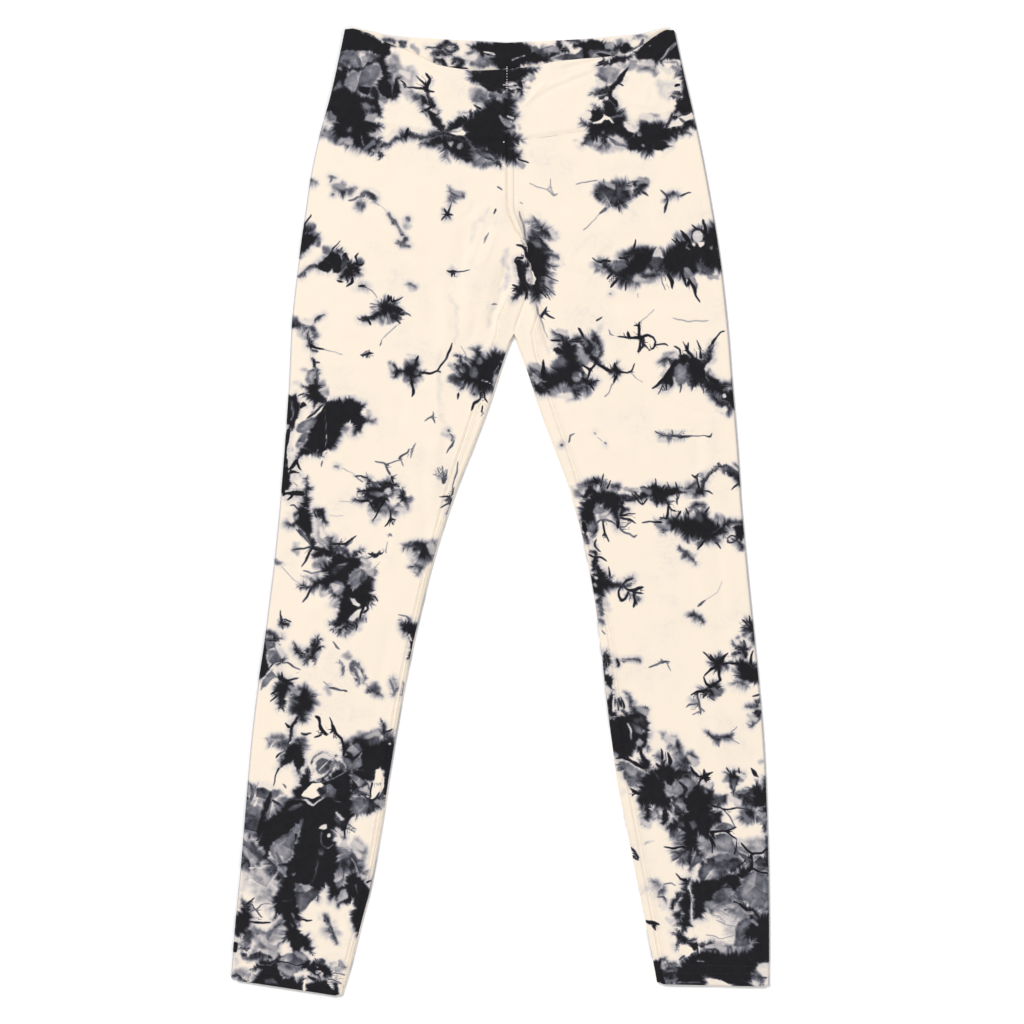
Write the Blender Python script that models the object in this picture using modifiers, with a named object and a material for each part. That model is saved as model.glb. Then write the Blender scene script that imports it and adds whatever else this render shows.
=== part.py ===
"""Full-length knit leggings, laid flat on their back with the front up.

Metres in the scene, millimetres in the tables below. +X is the wearer's left, +Y is towards the waist
and +Z is up. The origin lies under the middle of the garment's outline, on the surface it rests on.

A drop is a distance down the garment from the highest point of the waist. An across is a share of
the way from the centre seam (0) to the side fold (1).
"""

from dataclasses import dataclass
from math import cos, exp, hypot, pi, sin

import bmesh
import bpy

MM = 0.001

# Driving sizes, in millimetres.
LENGTH = 968.5
SEAM_GAP = 0.3
WAIST_SEAM_GAP = 0.4
LEG_THICKNESS = 4.2
CLOTH_WALL = 1.2
HEM_WALL = 1.6
HEM_DEPTH = 21.0
BAND_THICKNESS = 5.2
BAND_WALL = 1.9
SIDE_SEAM_DROP = 84.5
CROTCH_DROP = 306.0
INSEAM_TOP_DROP = 265.0
INSEAM_FADE = 20.0
INSEAM_GROOVE = 0.5
INSEAM_HALF_WIDTH = 1.6
LIFT_MARGIN = 12.0
FOLD_REACH = 2.6

# Rows follow the waist seam's curve at the top, run straight from here on, and take the hem's slant
# over the last stretch.
YOKE_DROP = 177.5
HEM_BLEND = 90.0

# How many faces each stretch is divided into, along a row and down the garment.
FOLD_FACES = 6
LEG_UPPER_FACES = 12
LEG_LOWER_FACES = 7
BAND_FACES = 20
BAND_ROWS = 7
YOKE_ROWS = 5
RISE_ROWS = 16
LEG_ROWS = 27
HEM_ROWS = 2

CLOTH_COLOUR = (0.85, 0.73, 0.60, 1.0)
BAND_COLOUR = (0.60, 0.52, 0.46, 1.0)
CLOTH_ROUGHNESS = 0.9

# The seam down the middle, from the waistband to the crotch: (drop, x).
RISE = (
    (0.0, 6.3),
    (113.5, 7.0),
    (177.5, 7.2),
    (186.0, 8.5),
    (194.0, 11.6),
    (202.5, 15.5),
    (209.5, 21.0),
    (218.5, 26.5),
    (228.5, 29.0),
    (238.5, 30.8),
    (247.5, 32.8),
    (254.5, 31.8),
    (262.5, 28.6),
    (271.5, 25.6),
    (284.5, 21.0),
    (294.5, 17.4),
    (306.0, 14.0),
)

# Folds and hollows of the upper layer: (from x, from drop, to x, to drop, half width, lift).
FOLDS = (
    (-45.0, 250.0, -56.0, 375.0, 13.0, 1.1),
    (-56.0, 360.0, -84.0, 500.0, 15.0, 0.8),
    (6.0, 220.0, -10.0, 330.0, 9.0, -0.6),
    (21.0, 186.0, 51.0, 340.0, 8.0, -0.6),
    (70.0, 170.0, 118.0, 400.0, 24.0, 0.6),
    (-150.0, 190.0, -150.0, 420.0, 28.0, 0.5),
    (185.0, 260.0, 190.0, 470.0, 26.0, 0.5),
    (-95.0, 560.0, -165.0, 640.0, 18.0, 0.6),
    (125.0, 600.0, 200.0, 560.0, 20.0, 0.5),
    (-110.0, 760.0, -190.0, 900.0, 16.0, 0.5),
    (160.0, 740.0, 215.0, 900.0, 18.0, 0.5),
)


@dataclass(frozen=True)
class Side:
    """One half of the garment. Its tables hold rows of (drop, x), (across, drop) or (drop, inset)."""

    name: str
    sign: int
    outer: tuple
    inner: tuple
    inset: tuple
    front_top: tuple
    back_top: tuple
    front_seam: tuple
    back_seam: tuple
    hem_inner: float
    hem_outer: float


RIGHT = Side(
    name="right",
    sign=-1,
    outer=(
        (0.0, -154.7),
        (23.5, -159.5),
        (66.5, -169.0),
        (106.5, -180.0),
        (142.5, -188.0),
        (192.5, -195.6),
        (232.5, -201.0),
        (292.5, -207.8),
        (357.5, -211.0),
        (417.5, -215.0),
        (477.5, -220.0),
        (537.5, -226.0),
        (577.5, -231.0),
        (617.5, -236.0),
        (657.5, -242.0),
        (717.5, -249.0),
        (777.5, -254.0),
        (837.5, -259.0),
        (877.5, -263.0),
        (917.5, -266.5),
        (952.5, -269.0),
    ),
    inner=(
        (306.0, 14.0),
        (317.5, 9.2),
        (337.5, 2.0),
        (377.5, -11.0),
        (417.5, -26.0),
        (457.5, -42.0),
        (497.5, -56.0),
        (537.5, -68.0),
        (577.5, -78.0),
        (617.5, -87.0),
        (677.5, -99.0),
        (737.5, -109.0),
        (797.5, -118.0),
        (857.5, -129.0),
        (897.5, -139.0),
        (937.5, -149.0),
        (968.5, -158.5),
    ),
    inset=(
        (0.0, 17.0),
        (262.5, 17.0),
        (292.5, 18.5),
        (308.5, 16.0),
        (389.5, 13.0),
        (462.5, 9.0),
        (517.5, 5.4),
        (968.5, 5.4),
    ),
    front_top=(
        (0.0, 42.1),
        (0.21, 43.1),
        (0.32, 40.5),
        (0.42, 37.0),
        (0.50, 31.0),
        (0.60, 24.0),
        (0.76, 14.0),
        (0.90, 4.0),
        (1.0, 0.0),
    ),
    back_top=(
        (0.0, 15.3),
        (0.30, 12.5),
        (0.49, 10.7),
        (0.71, 8.5),
        (0.83, 4.7),
        (0.92, 1.6),
        (1.0, 0.0),
    ),
    front_seam=(
        (0.0, 114.0),
        (0.18, 113.2),
        (0.70, 99.0),
        (0.88, 89.5),
        (1.0, SIDE_SEAM_DROP),
    ),
    back_seam=(
        (0.0, 104.0),
        (0.5, 97.0),
        (1.0, SIDE_SEAM_DROP),
    ),
    hem_inner=968.5,
    hem_outer=952.5,
)

LEFT = Side(
    name="left",
    sign=1,
    outer=(
        (0.0, 173.6),
        (32.5, 180.6),
        (72.5, 190.0),
        (112.5, 199.2),
        (152.5, 207.0),
        (192.5, 214.0),
        (232.5, 220.2),
        (272.5, 225.0),
        (312.5, 229.0),
        (357.5, 232.4),
        (417.5, 237.5),
        (477.5, 241.4),
        (537.5, 247.0),
        (597.5, 253.0),
        (657.5, 259.0),
        (717.5, 264.0),
        (777.5, 266.6),
        (837.5, 268.4),
        (897.5, 269.0),
        (959.0, 269.0),
    ),
    inner=(
        (306.0, 14.0),
        (317.5, 17.5),
        (337.5, 25.0),
        (377.5, 38.0),
        (417.5, 53.0),
        (457.5, 68.0),
        (477.5, 74.0),
        (517.5, 84.2),
        (557.5, 92.0),
        (597.5, 98.0),
        (657.5, 105.0),
        (717.5, 112.0),
        (757.5, 118.0),
        (797.5, 126.0),
        (857.5, 138.0),
        (917.5, 150.0),
        (956.5, 157.0),
    ),
    inset=(
        (0.0, 17.0),
        (262.5, 17.0),
        (306.5, 18.7),
        (329.5, 15.0),
        (418.5, 13.0),
        (453.5, 11.0),
        (501.5, 6.0),
        (572.5, 7.5),
        (618.5, 10.0),
        (711.5, 11.5),
        (852.5, 9.0),
        (959.0, 8.0),
    ),
    front_top=(
        (0.0, 42.1),
        (0.17, 38.7),
        (0.28, 34.5),
        (0.44, 31.6),
        (0.55, 30.2),
        (0.70, 26.5),
        (0.81, 17.5),
        (0.89, 9.0),
        (0.95, 3.6),
        (1.0, 1.0),
    ),
    back_top=(
        (0.0, 15.3),
        (0.35, 12.5),
        (0.53, 10.7),
        (0.69, 8.7),
        (0.83, 6.0),
        (0.92, 2.3),
        (0.97, 0.4),
        (1.0, 1.0),
    ),
    front_seam=(
        (0.0, 114.0),
        (0.10, 112.2),
        (0.36, 105.3),
        (0.70, 95.0),
        (1.0, SIDE_SEAM_DROP),
    ),
    back_seam=(
        (0.0, 104.0),
        (0.5, 97.0),
        (1.0, SIDE_SEAM_DROP),
    ),
    hem_inner=956.5,
    hem_outer=959.0,
)


def along(table, place):
    """The value at a place, on a smooth curve through a table's (place, value) rows."""
    last = len(table) - 1
    below = max(0, min(last - 1, sum(row[0] <= place for row in table) - 1))

    def slope(row):
        before, after = table[max(row - 1, 0)], table[min(row + 1, last)]
        return (after[1] - before[1]) / (after[0] - before[0])

    (start, low), (end, high) = table[below], table[below + 1]
    run = end - start
    t = max(0.0, min(1.0, (place - start) / run))
    values = (2 * t**3 - 3 * t**2 + 1) * low + (3 * t**2 - 2 * t**3) * high
    slopes = (t**3 - 2 * t**2 + t) * slope(below) + (t**3 - t**2) * slope(below + 1)
    return values + slopes * run


def mix(start, end, share):
    """The value at a share of the way from start to end."""
    return start + (end - start) * share


def ease(share):
    """A share held between 0 and 1, with a gentle start and end."""
    share = max(0.0, min(1.0, share))
    return share * share * (3 - 2 * share)


def spaced(start, end, count):
    """The ends of count equal steps from start, the last of them at end."""
    return [mix(start, end, (i + 1) / count) for i in range(count)]


def place(x, drop, height):
    """The scene's point for an x, a drop and a height in millimetres."""
    return (x * MM, (LENGTH / 2 - drop) * MM, height * MM)


def lift(x, drop):
    """How far the folds raise the upper layer at a point."""
    total = 0.0
    for from_x, from_drop, to_x, to_drop, half_width, height in FOLDS:
        run_x, run_drop = to_x - from_x, to_drop - from_drop
        length = hypot(run_x, run_drop)
        share = ((x - from_x) * run_x + (drop - from_drop) * run_drop) / length**2
        aside = ((x - from_x) * run_drop - (drop - from_drop) * run_x) / length
        fade = ease(4 * share) * ease(4 * (1 - share))
        total += height * fade * exp(-((aside / half_width) ** 2))
    return total


def fold_points(edge, sign, thickness):
    """The (x, height) points of a rounded fold that reaches edge on the sign's side, top to bottom."""
    angles = [pi * i / FOLD_FACES for i in range(1, FOLD_FACES)]
    return [(edge - sign * FOLD_REACH * (1 - sin(a)), thickness / 2 * (1 + cos(a))) for a in angles]


class Leg:
    """A leg panel's outer surface: front and back in one, wrapped round the outer side."""

    def __init__(self, side):
        self.side = side
        self.hem = (side.hem_inner + side.hem_outer) / 2
        self.rows = (
            [SIDE_SEAM_DROP]
            + spaced(SIDE_SEAM_DROP, YOKE_DROP, YOKE_ROWS)
            + spaced(YOKE_DROP, CROTCH_DROP, RISE_ROWS)
            + spaced(CROTCH_DROP, self.hem - HEM_DEPTH, LEG_ROWS)
            + spaced(self.hem - HEM_DEPTH, self.hem, HEM_ROWS)
        )
        self.first_closed = YOKE_ROWS + RISE_ROWS

    def drop(self, row, across, seam):
        """A row's drop at an across, bent to the waist seam and to the hem's slant."""
        straight = self.rows[row]
        at_top = 1 - ease((straight - SIDE_SEAM_DROP) / (YOKE_DROP - SIDE_SEAM_DROP))
        at_foot = ease(1 - (self.hem - straight) / HEM_BLEND)
        below_side = along(seam, across) + WAIST_SEAM_GAP / 2 - SIDE_SEAM_DROP
        slant = mix(self.side.hem_inner, self.side.hem_outer, across) - self.hem
        return straight + at_top * below_side + at_foot * slant

    def inner_x(self, drop):
        """The leg's inner limit: the centre seam down to the crotch, the inner fold below it."""
        table = RISE if drop < CROTCH_DROP else self.side.inner
        return along(table, drop) + self.side.sign * SEAM_GAP / 2

    def flat_span(self, row, drop):
        """The x of the inner and outer ends of a row's flat part."""
        rolled = FOLD_REACH if row >= self.first_closed else 0.0
        inner = self.inner_x(drop) + self.side.sign * rolled
        return inner, along(self.side.outer, drop) - self.side.sign * FOLD_REACH

    def upper(self, row, across, groove=0.0):
        """A point of the upper layer."""
        drop = self.drop(row, across, self.side.front_seam)
        inner, outer = self.flat_span(row, drop)
        x = mix(inner, outer, across)
        from_edge = min(abs(x - inner), abs(x - outer))
        raised = lift(x, drop) * ease(from_edge / LIFT_MARGIN)
        return place(x, drop, LEG_THICKNESS + raised - groove)

    def lower(self, row, across):
        """A point of the lower layer, which lies flat."""
        drop = self.drop(row, across, self.side.back_seam)
        return place(mix(*self.flat_span(row, drop), across), drop, 0.0)

    def inseam(self, row):
        """The upper layer's points across the sewn groove, and the across where it ends."""
        drop = self.drop(row, 0.0, self.side.front_seam)
        inner, outer = self.flat_span(row, drop)
        middle = self.inner_x(drop) + self.side.sign * along(self.side.inset, drop)
        depth = INSEAM_GROOVE * ease((drop - INSEAM_TOP_DROP) / INSEAM_FADE)
        lines = ((-INSEAM_HALF_WIDTH, 0.0), (0.0, depth), (INSEAM_HALF_WIDTH, 0.0))
        acrosses = [(abs(middle - inner) + aside) / abs(outer - inner) for aside, _ in lines]
        return [self.upper(row, a, line[1]) for a, line in zip(acrosses, lines)], acrosses[-1]

    def fold(self, row, across, edge, sign):
        """A row's points round the outer or the inner fold, top to bottom."""
        drop = self.drop(row, across, self.side.front_seam)
        return [place(x, drop, height) for x, height in fold_points(edge(drop), sign, LEG_THICKNESS)]

    def section(self, row):
        """A row's points, in a loop that starts and ends at the upper layer's inner edge."""
        side = self.side
        start = self.upper(row, 0.0)
        sewn, sewn_end = self.inseam(row)
        upper = [self.upper(row, across) for across in spaced(sewn_end, 1.0, LEG_UPPER_FACES)]
        outer_fold = self.fold(row, 1.0, lambda drop: along(side.outer, drop), side.sign)
        lower = [self.lower(row, across) for across in (1.0, *spaced(1.0, 0.0, LEG_LOWER_FACES))]
        inner_fold = self.fold(row, 0.0, self.inner_x, -side.sign)
        return [start, *sewn, *upper, *outer_fold, *lower, *inner_fold[::-1], start]


class Band:
    """A waistband half's outer surface, from centre front round the side to centre back."""

    def __init__(self, side):
        self.side = side

    def point(self, down, across, top, seam, height):
        """A point at a share of the way down the band."""
        drop = mix(along(top, across), along(seam, across) - WAIST_SEAM_GAP / 2, down)
        inner = along(RISE, drop) + self.side.sign * SEAM_GAP / 2
        outer = along(self.side.outer, drop) - self.side.sign * FOLD_REACH
        return place(mix(inner, outer, across), drop, height)

    def section(self, row):
        """A row's points, from the centre front seam to the centre back seam."""
        side, down = self.side, row / BAND_ROWS
        acrosses = [i / BAND_FACES for i in range(BAND_FACES + 1)]
        drop = mix(along(side.front_top, 1.0), SIDE_SEAM_DROP - WAIST_SEAM_GAP / 2, down)
        turned = fold_points(along(side.outer, drop), side.sign, BAND_THICKNESS)
        return (
            [self.point(down, a, side.front_top, side.front_seam, BAND_THICKNESS) for a in acrosses]
            + [place(x, drop, height) for x, height in turned]
            + [self.point(down, a, side.back_top, side.back_seam, 0.0) for a in acrosses[::-1]]
        )


def grid_place(point, rows, columns):
    """The row and column of a point on create_grid's square, whole numbers at its corners."""
    return (point.y + 1) / 2 * rows, (point.x + 1) / 2 * columns


def cloth_piece(name, sections, walls, is_open=None):
    """A grid of faces bent through the sections, with a wall inside it as thick as each row says.

    The faces that is_open(row, column) names are left out, and rows that come round to their own
    start are joined there.
    """
    bm = bmesh.new()
    rows, columns = len(sections) - 1, len(sections[0]) - 1
    bmesh.ops.create_grid(bm, x_segments=columns, y_segments=rows, size=1.0)
    if is_open:
        middles = {face: face.calc_center_median() for face in bm.faces}
        gone = [face for face in bm.faces if is_open(*grid_place(middles[face], rows, columns))]
        bmesh.ops.delete(bm, geom=gone, context="FACES")
    weights = bm.verts.layers.deform.verify()
    for vert in bm.verts:
        row, column = map(round, grid_place(vert.co, rows, columns))
        vert.co = sections[row][column]
        vert[weights][0] = walls[row] / max(walls)
    bmesh.ops.remove_doubles(bm, verts=bm.verts, dist=0.00001)
    bm.normal_update()
    highest = max(bm.faces, key=lambda face: face.calc_center_median().z * abs(face.normal.z))
    if highest.normal.z < 0:
        bmesh.ops.reverse_faces(bm, faces=bm.faces)

    mesh = bpy.data.meshes.new(name)
    bm.to_mesh(mesh)
    bm.free()
    mesh.shade_smooth()
    piece = bpy.data.objects.new(name, mesh)
    solid = piece.modifiers.new("Wall", "SOLIDIFY")
    solid.thickness = max(walls) * MM
    solid.offset = -1.0
    solid.use_even_offset = True
    solid.vertex_group = piece.vertex_groups.new(name="Wall").name
    return piece


def make_leg(side):
    """A leg, open at the waist seam, along the rise and at the hem, where the cloth is doubled."""
    leg = Leg(side)
    sections = [leg.section(row) for row in range(len(leg.rows))]
    inner_fold = len(sections[0]) - 1 - FOLD_FACES
    return cloth_piece(
        f"leg_{side.name}",
        sections,
        [CLOTH_WALL] * (len(sections) - HEM_ROWS) + [HEM_WALL] * HEM_ROWS,
        lambda row, column: row < leg.first_closed and column > inner_fold,
    )


def make_band(side):
    """Half of the waistband, doubled all over."""
    band = Band(side)
    sections = [band.section(row) for row in range(BAND_ROWS + 1)]
    return cloth_piece(f"waistband_{side.name}", sections, [BAND_WALL] * len(sections))


def cloth_material(name, colour):
    """A matt knit of one colour."""
    material = bpy.data.materials.new(name)
    material.use_nodes = True
    shader = material.node_tree.nodes["Principled BSDF"]
    shader.inputs["Base Color"].default_value = colour
    shader.inputs["Roughness"].default_value = CLOTH_ROUGHNESS
    shader.inputs["Metallic"].default_value = 0.0
    return material


def main():
    """Clears the scene and makes the garment."""
    for obj in list(bpy.data.objects):
        bpy.data.objects.remove(obj, do_unlink=True)
    collection = bpy.data.collections.new("leggings")
    bpy.context.scene.collection.children.link(collection)
    for side in (RIGHT, LEFT):
        for piece, colour in ((make_leg(side), CLOTH_COLOUR), (make_band(side), BAND_COLOUR)):
            collection.objects.link(piece)
            piece.data.materials.append(cloth_material(f"{piece.name}_knit", colour))


main()
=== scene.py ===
"""Knit leggings laid flat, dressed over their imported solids.

Lengths in the tables are millimetres. Places on the cloth are read on a board whose x runs to the
wearer's left and whose y runs down the garment. A drop is a distance down from the highest point of
the waist, and an across is a share of the way from the centre seam (0) to the side fold (1).
"""

import logging
from dataclasses import dataclass, field
from enum import Enum
from math import atan2, cos, hypot, pi, sin
from typing import Iterable

import bmesh
import bpy
import numpy as np
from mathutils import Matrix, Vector

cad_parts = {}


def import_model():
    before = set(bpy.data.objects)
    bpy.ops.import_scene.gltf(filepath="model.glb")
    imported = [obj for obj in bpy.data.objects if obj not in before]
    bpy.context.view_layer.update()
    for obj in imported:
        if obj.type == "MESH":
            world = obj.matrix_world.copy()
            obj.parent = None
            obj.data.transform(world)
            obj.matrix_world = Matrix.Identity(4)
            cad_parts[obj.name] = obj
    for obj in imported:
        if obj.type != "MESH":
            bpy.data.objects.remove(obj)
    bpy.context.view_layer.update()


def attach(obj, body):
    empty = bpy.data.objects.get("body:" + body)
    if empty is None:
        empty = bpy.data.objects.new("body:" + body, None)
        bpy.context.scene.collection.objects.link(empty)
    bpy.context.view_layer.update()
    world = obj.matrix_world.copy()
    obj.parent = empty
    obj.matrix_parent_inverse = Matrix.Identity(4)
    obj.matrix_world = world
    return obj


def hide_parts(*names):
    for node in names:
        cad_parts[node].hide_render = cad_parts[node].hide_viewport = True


Array = np.ndarray
Row = tuple[float, ...]

MM = 0.001
BODY = "root"

# The board's point that lies over the frame's origin.
BOARD_ORIGIN = (500.0, 511.75)

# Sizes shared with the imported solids.
LENGTH = 968.5
LEG_THICKNESS = 4.2
BAND_THICKNESS = 5.2
BAND_WALL = 1.9
SIDE_SEAM_DROP = 84.5
CROTCH_DROP = 306.0
INSEAM_TOP_DROP = 265.0
INSEAM_FADE = 20.0
LIFT_MARGIN = 12.0
FOLD_MARGIN = 3.0
BAND_MARGIN = 8.0
FOLD_REACH = 2.6
YOKE_DROP = 177.5
HEM_BLEND = 90.0
FOLD_STEPS = 6

# Odd numbers that scatter the corners of the noise lattice, and the bits kept of each product.
SCATTER = (374761393, 668265263, 1442695041, 1274126177)
WORD, HALF_WORD = 0xFFFFFFFF, 0xFFFF


@dataclass(frozen=True)
class Side:
    """One half of the garment, as rows of (drop, x), (across, drop) or (drop, inset)."""

    name: str
    sign: int
    outer: tuple[Row, ...]
    inner: tuple[Row, ...]
    inset: tuple[Row, ...]
    front_top: tuple[Row, ...]
    back_top: tuple[Row, ...]
    front_seam: tuple[Row, ...]
    back_seam: tuple[Row, ...]
    hem_inner: float
    hem_outer: float


# The seam down the middle, from the waistband to the crotch: (drop, x).
RISE = (
    (0, 6.3), (113.5, 7), (177.5, 7.2), (186, 8.5), (194, 11.6), (202.5, 15.5), (209.5, 21),
    (218.5, 26.5), (228.5, 29), (238.5, 30.8), (247.5, 32.8), (254.5, 31.8), (262.5, 28.6),
    (271.5, 25.6), (284.5, 21), (294.5, 17.4), (306, 14),
)

# Folds and hollows of the upper layer: (from x, from drop, to x, to drop, half width, lift).
FOLDS = (
    (-45, 250, -56, 375, 13, 1.1), (-56, 360, -84, 500, 15, 0.8), (6, 220, -10, 330, 9, -0.6),
    (21, 186, 51, 340, 8, -0.6), (70, 170, 118, 400, 24, 0.6), (-150, 190, -150, 420, 28, 0.5),
    (185, 260, 190, 470, 26, 0.5), (-95, 560, -165, 640, 18, 0.6), (125, 600, 200, 560, 20, 0.5),
    (-110, 760, -190, 900, 16, 0.5), (160, 740, 215, 900, 18, 0.5),
)


RIGHT = Side(
    name="right",
    sign=-1,
    outer=(
        (0, -154.7), (23.5, -159.5), (66.5, -169), (106.5, -180), (142.5, -188), (192.5, -195.6),
        (232.5, -201), (292.5, -207.8), (357.5, -211), (417.5, -215), (477.5, -220), (537.5, -226),
        (577.5, -231), (617.5, -236), (657.5, -242), (717.5, -249), (777.5, -254), (837.5, -259),
        (877.5, -263), (917.5, -266.5), (952.5, -269),
    ),
    inner=(
        (306, 14), (317.5, 9.2), (337.5, 2), (377.5, -11), (417.5, -26), (457.5, -42), (497.5, -56),
        (537.5, -68), (577.5, -78), (617.5, -87), (677.5, -99), (737.5, -109), (797.5, -118),
        (857.5, -129), (897.5, -139), (937.5, -149), (968.5, -158.5),
    ),
    inset=(
        (0, 17), (262.5, 17), (292.5, 18.5), (308.5, 16), (389.5, 13), (462.5, 9), (517.5, 5.4),
        (968.5, 5.4),
    ),
    front_top=(
        (0, 42.1), (0.21, 43.1), (0.32, 40.5), (0.42, 37), (0.50, 31), (0.60, 24), (0.76, 14),
        (0.90, 4), (1, 0),
    ),
    back_top=(
        (0, 15.3), (0.30, 12.5), (0.49, 10.7), (0.71, 8.5), (0.83, 4.7), (0.92, 1.6), (1, 0),
    ),
    front_seam=(
        (0, 114), (0.18, 113.2), (0.70, 99), (0.88, 89.5), (1, SIDE_SEAM_DROP),
    ),
    back_seam=(
        (0, 104), (0.5, 97), (1, SIDE_SEAM_DROP),
    ),
    hem_inner=968.5,
    hem_outer=952.5,
)

LEFT = Side(
    name="left",
    sign=1,
    outer=(
        (0, 173.6), (32.5, 180.6), (72.5, 190), (112.5, 199.2), (152.5, 207), (192.5, 214),
        (232.5, 220.2), (272.5, 225), (312.5, 229), (357.5, 232.4), (417.5, 237.5), (477.5, 241.4),
        (537.5, 247), (597.5, 253), (657.5, 259), (717.5, 264), (777.5, 266.6), (837.5, 268.4),
        (897.5, 269), (959, 269),
    ),
    inner=(
        (306, 14), (317.5, 17.5), (337.5, 25), (377.5, 38), (417.5, 53), (457.5, 68), (477.5, 74),
        (517.5, 84.2), (557.5, 92), (597.5, 98), (657.5, 105), (717.5, 112), (757.5, 118), (797.5, 126),
        (857.5, 138), (917.5, 150), (956.5, 157),
    ),
    inset=(
        (0, 17), (262.5, 17), (306.5, 18.7), (329.5, 15), (418.5, 13), (453.5, 11), (501.5, 6),
        (572.5, 7.5), (618.5, 10), (711.5, 11.5), (852.5, 9), (959, 8),
    ),
    front_top=(
        (0, 42.1), (0.17, 38.7), (0.28, 34.5), (0.44, 31.6), (0.55, 30.2), (0.70, 26.5), (0.81, 17.5),
        (0.89, 9), (0.95, 3.6), (1, 1),
    ),
    back_top=(
        (0, 15.3), (0.35, 12.5), (0.53, 10.7), (0.69, 8.7), (0.83, 6), (0.92, 2.3), (0.97, 0.4), (1, 1),
    ),
    front_seam=(
        (0, 114), (0.10, 112.2), (0.36, 105.3), (0.70, 95), (1, SIDE_SEAM_DROP),
    ),
    back_seam=(
        (0, 104), (0.5, 97), (1, SIDE_SEAM_DROP),
    ),
    hem_inner=956.5,
    hem_outer=959.0,
)


# ---------------------------------------------------------------- numbers


def along(table: Iterable[Row], place: Array | float) -> Array:
    """Reads a smooth curve through a table.

    Args:
        table: Rows of (place, value), in order of place.
        place: Where to read it.

    Returns:
        The curve's values there.
    """
    knots = np.array(tuple(table), float)
    where, value = knots[:, 0], knots[:, 1]
    last = len(knots) - 1
    before = np.maximum(np.arange(last + 1) - 1, 0)
    after = np.minimum(np.arange(last + 1) + 1, last)
    slope = (value[after] - value[before]) / (where[after] - where[before])
    at = np.asarray(place, float)
    low = np.clip(np.searchsorted(where, at, side="right") - 1, 0, last - 1)
    run = where[low + 1] - where[low]
    t = np.clip((at - where[low]) / run, 0.0, 1.0)
    values = (2 * t**3 - 3 * t**2 + 1) * value[low] + (3 * t**2 - 2 * t**3) * value[low + 1]
    slopes = (t**3 - 2 * t**2 + t) * slope[low] + (t**3 - t**2) * slope[low + 1]
    return values + slopes * run


def ease(share: Array) -> Array:
    """A share held between 0 and 1, with a gentle start and end."""
    share = np.clip(share, 0.0, 1.0)
    return share * share * (3 - 2 * share)


def steps(start: float, end: float, count: int) -> Array:
    """The ends of count equal steps from start, the last of them at end."""
    return start + (end - start) * np.arange(1, count + 1) / count


def lattice(column: Array, row: Array, seed: int) -> Array:
    """A steady random number from 0 to 1 for each corner of a square lattice."""
    by_column, by_row, by_seed, again = SCATTER
    mixed = column.astype(np.int64) * by_column + row.astype(np.int64) * by_row + seed * by_seed
    mixed = mixed & WORD
    mixed = ((mixed ^ (mixed >> 13)) * again) & WORD
    return ((mixed ^ (mixed >> 16)) & HALF_WORD) / HALF_WORD


def waver(x: Array, y: Array, size: float, seed: int) -> Array:
    """Reads smooth noise.

    Args:
        x: Board x of each point.
        y: Board y of each point.
        size: How far apart its hills are.
        seed: Picks the noise.

    Returns:
        A height from -1 to 1 for each point.
    """
    x, y = x / size, y / size
    left, top = np.floor(x), np.floor(y)
    u, v = ease(x - left), ease(y - top)
    upper = lattice(left, top, seed) * (1 - u) + lattice(left + 1, top, seed) * u
    lower = lattice(left, top + 1, seed) * (1 - u) + lattice(left + 1, top + 1, seed) * u
    return 2 * (upper * (1 - v) + lower * v) - 1


def ripples(x: Array, y: Array, layers: tuple[tuple[float, float, int], ...]) -> Array:
    """Adds up layers of smooth noise.

    Args:
        x: Board x of each point.
        y: Board y of each point.
        layers: For each layer, its height, how far apart its hills are, and a seed.

    Returns:
        The height at each point.
    """
    return sum(height * waver(x, y, size, seed) for height, size, seed in layers)


def bend(x: Array, y: Array, layers: tuple[tuple[float, float, int, int], ...]) -> tuple[Array, Array]:
    """Moves points about with layers of smooth noise.

    Args:
        x: Board x of each point.
        y: Board y of each point.
        layers: For each layer, how far it moves a point, how far apart its hills are, and a seed each
            for x and y.

    Returns:
        The moved x and y.
    """
    bent_x, bent_y = x, y
    for reach, size, seed_x, seed_y in layers:
        bent_x = bent_x + reach * waver(x, y, size, seed_x)
        bent_y = bent_y + reach * waver(x, y, size, seed_y)
    return bent_x, bent_y


def span(start: Row, end: Row) -> float:
    """The distance between two points."""
    return hypot(end[0] - start[0], end[1] - start[1])


def heading(start: Row, end: Row) -> float:
    """The direction from one point to another, in radians."""
    return atan2(end[1] - start[1], end[0] - start[0])


def points_near(x: Array, y: Array, path: Iterable[Row], spare: float) -> Array:
    """Picks the points in a box round a path.

    Args:
        x: Board x of each point.
        y: Board y of each point.
        path: The path's points, x and y first.
        spare: How far past the path the box goes.

    Returns:
        The index of each point in the box.
    """
    path_x, path_y = [point[0] for point in path], [point[1] for point in path]
    return np.flatnonzero(
        (x > min(path_x) - spare)
        & (x < max(path_x) + spare)
        & (y > min(path_y) - spare)
        & (y < max(path_y) + spare)
    )


def nearest_on(x: Array, y: Array, start: Row, end: Row) -> tuple[Array, Array, Array]:
    """Finds the nearest places on a straight run.

    Args:
        x: Board x of each point.
        y: Board y of each point.
        start: The run's first x and y.
        end: Its last x and y.

    Returns:
        The share along the run, unclamped, the distance to it, and the side of it as 1 or -1.
    """
    run_x, run_y = end[0] - start[0], end[1] - start[1]
    length = max(span(start, end), 1e-6)
    share = ((x - start[0]) * run_x + (y - start[1]) * run_y) / length**2
    held = np.clip(share, 0.0, 1.0)
    aside_x, aside_y = x - start[0] - run_x * held, y - start[1] - run_y * held
    turn = run_x * (y - start[1]) - run_y * (x - start[0])
    return share, np.hypot(aside_x, aside_y), np.where(turn < 0, -1.0, 1.0)


# ---------------------------------------------------------------- relief


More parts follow.
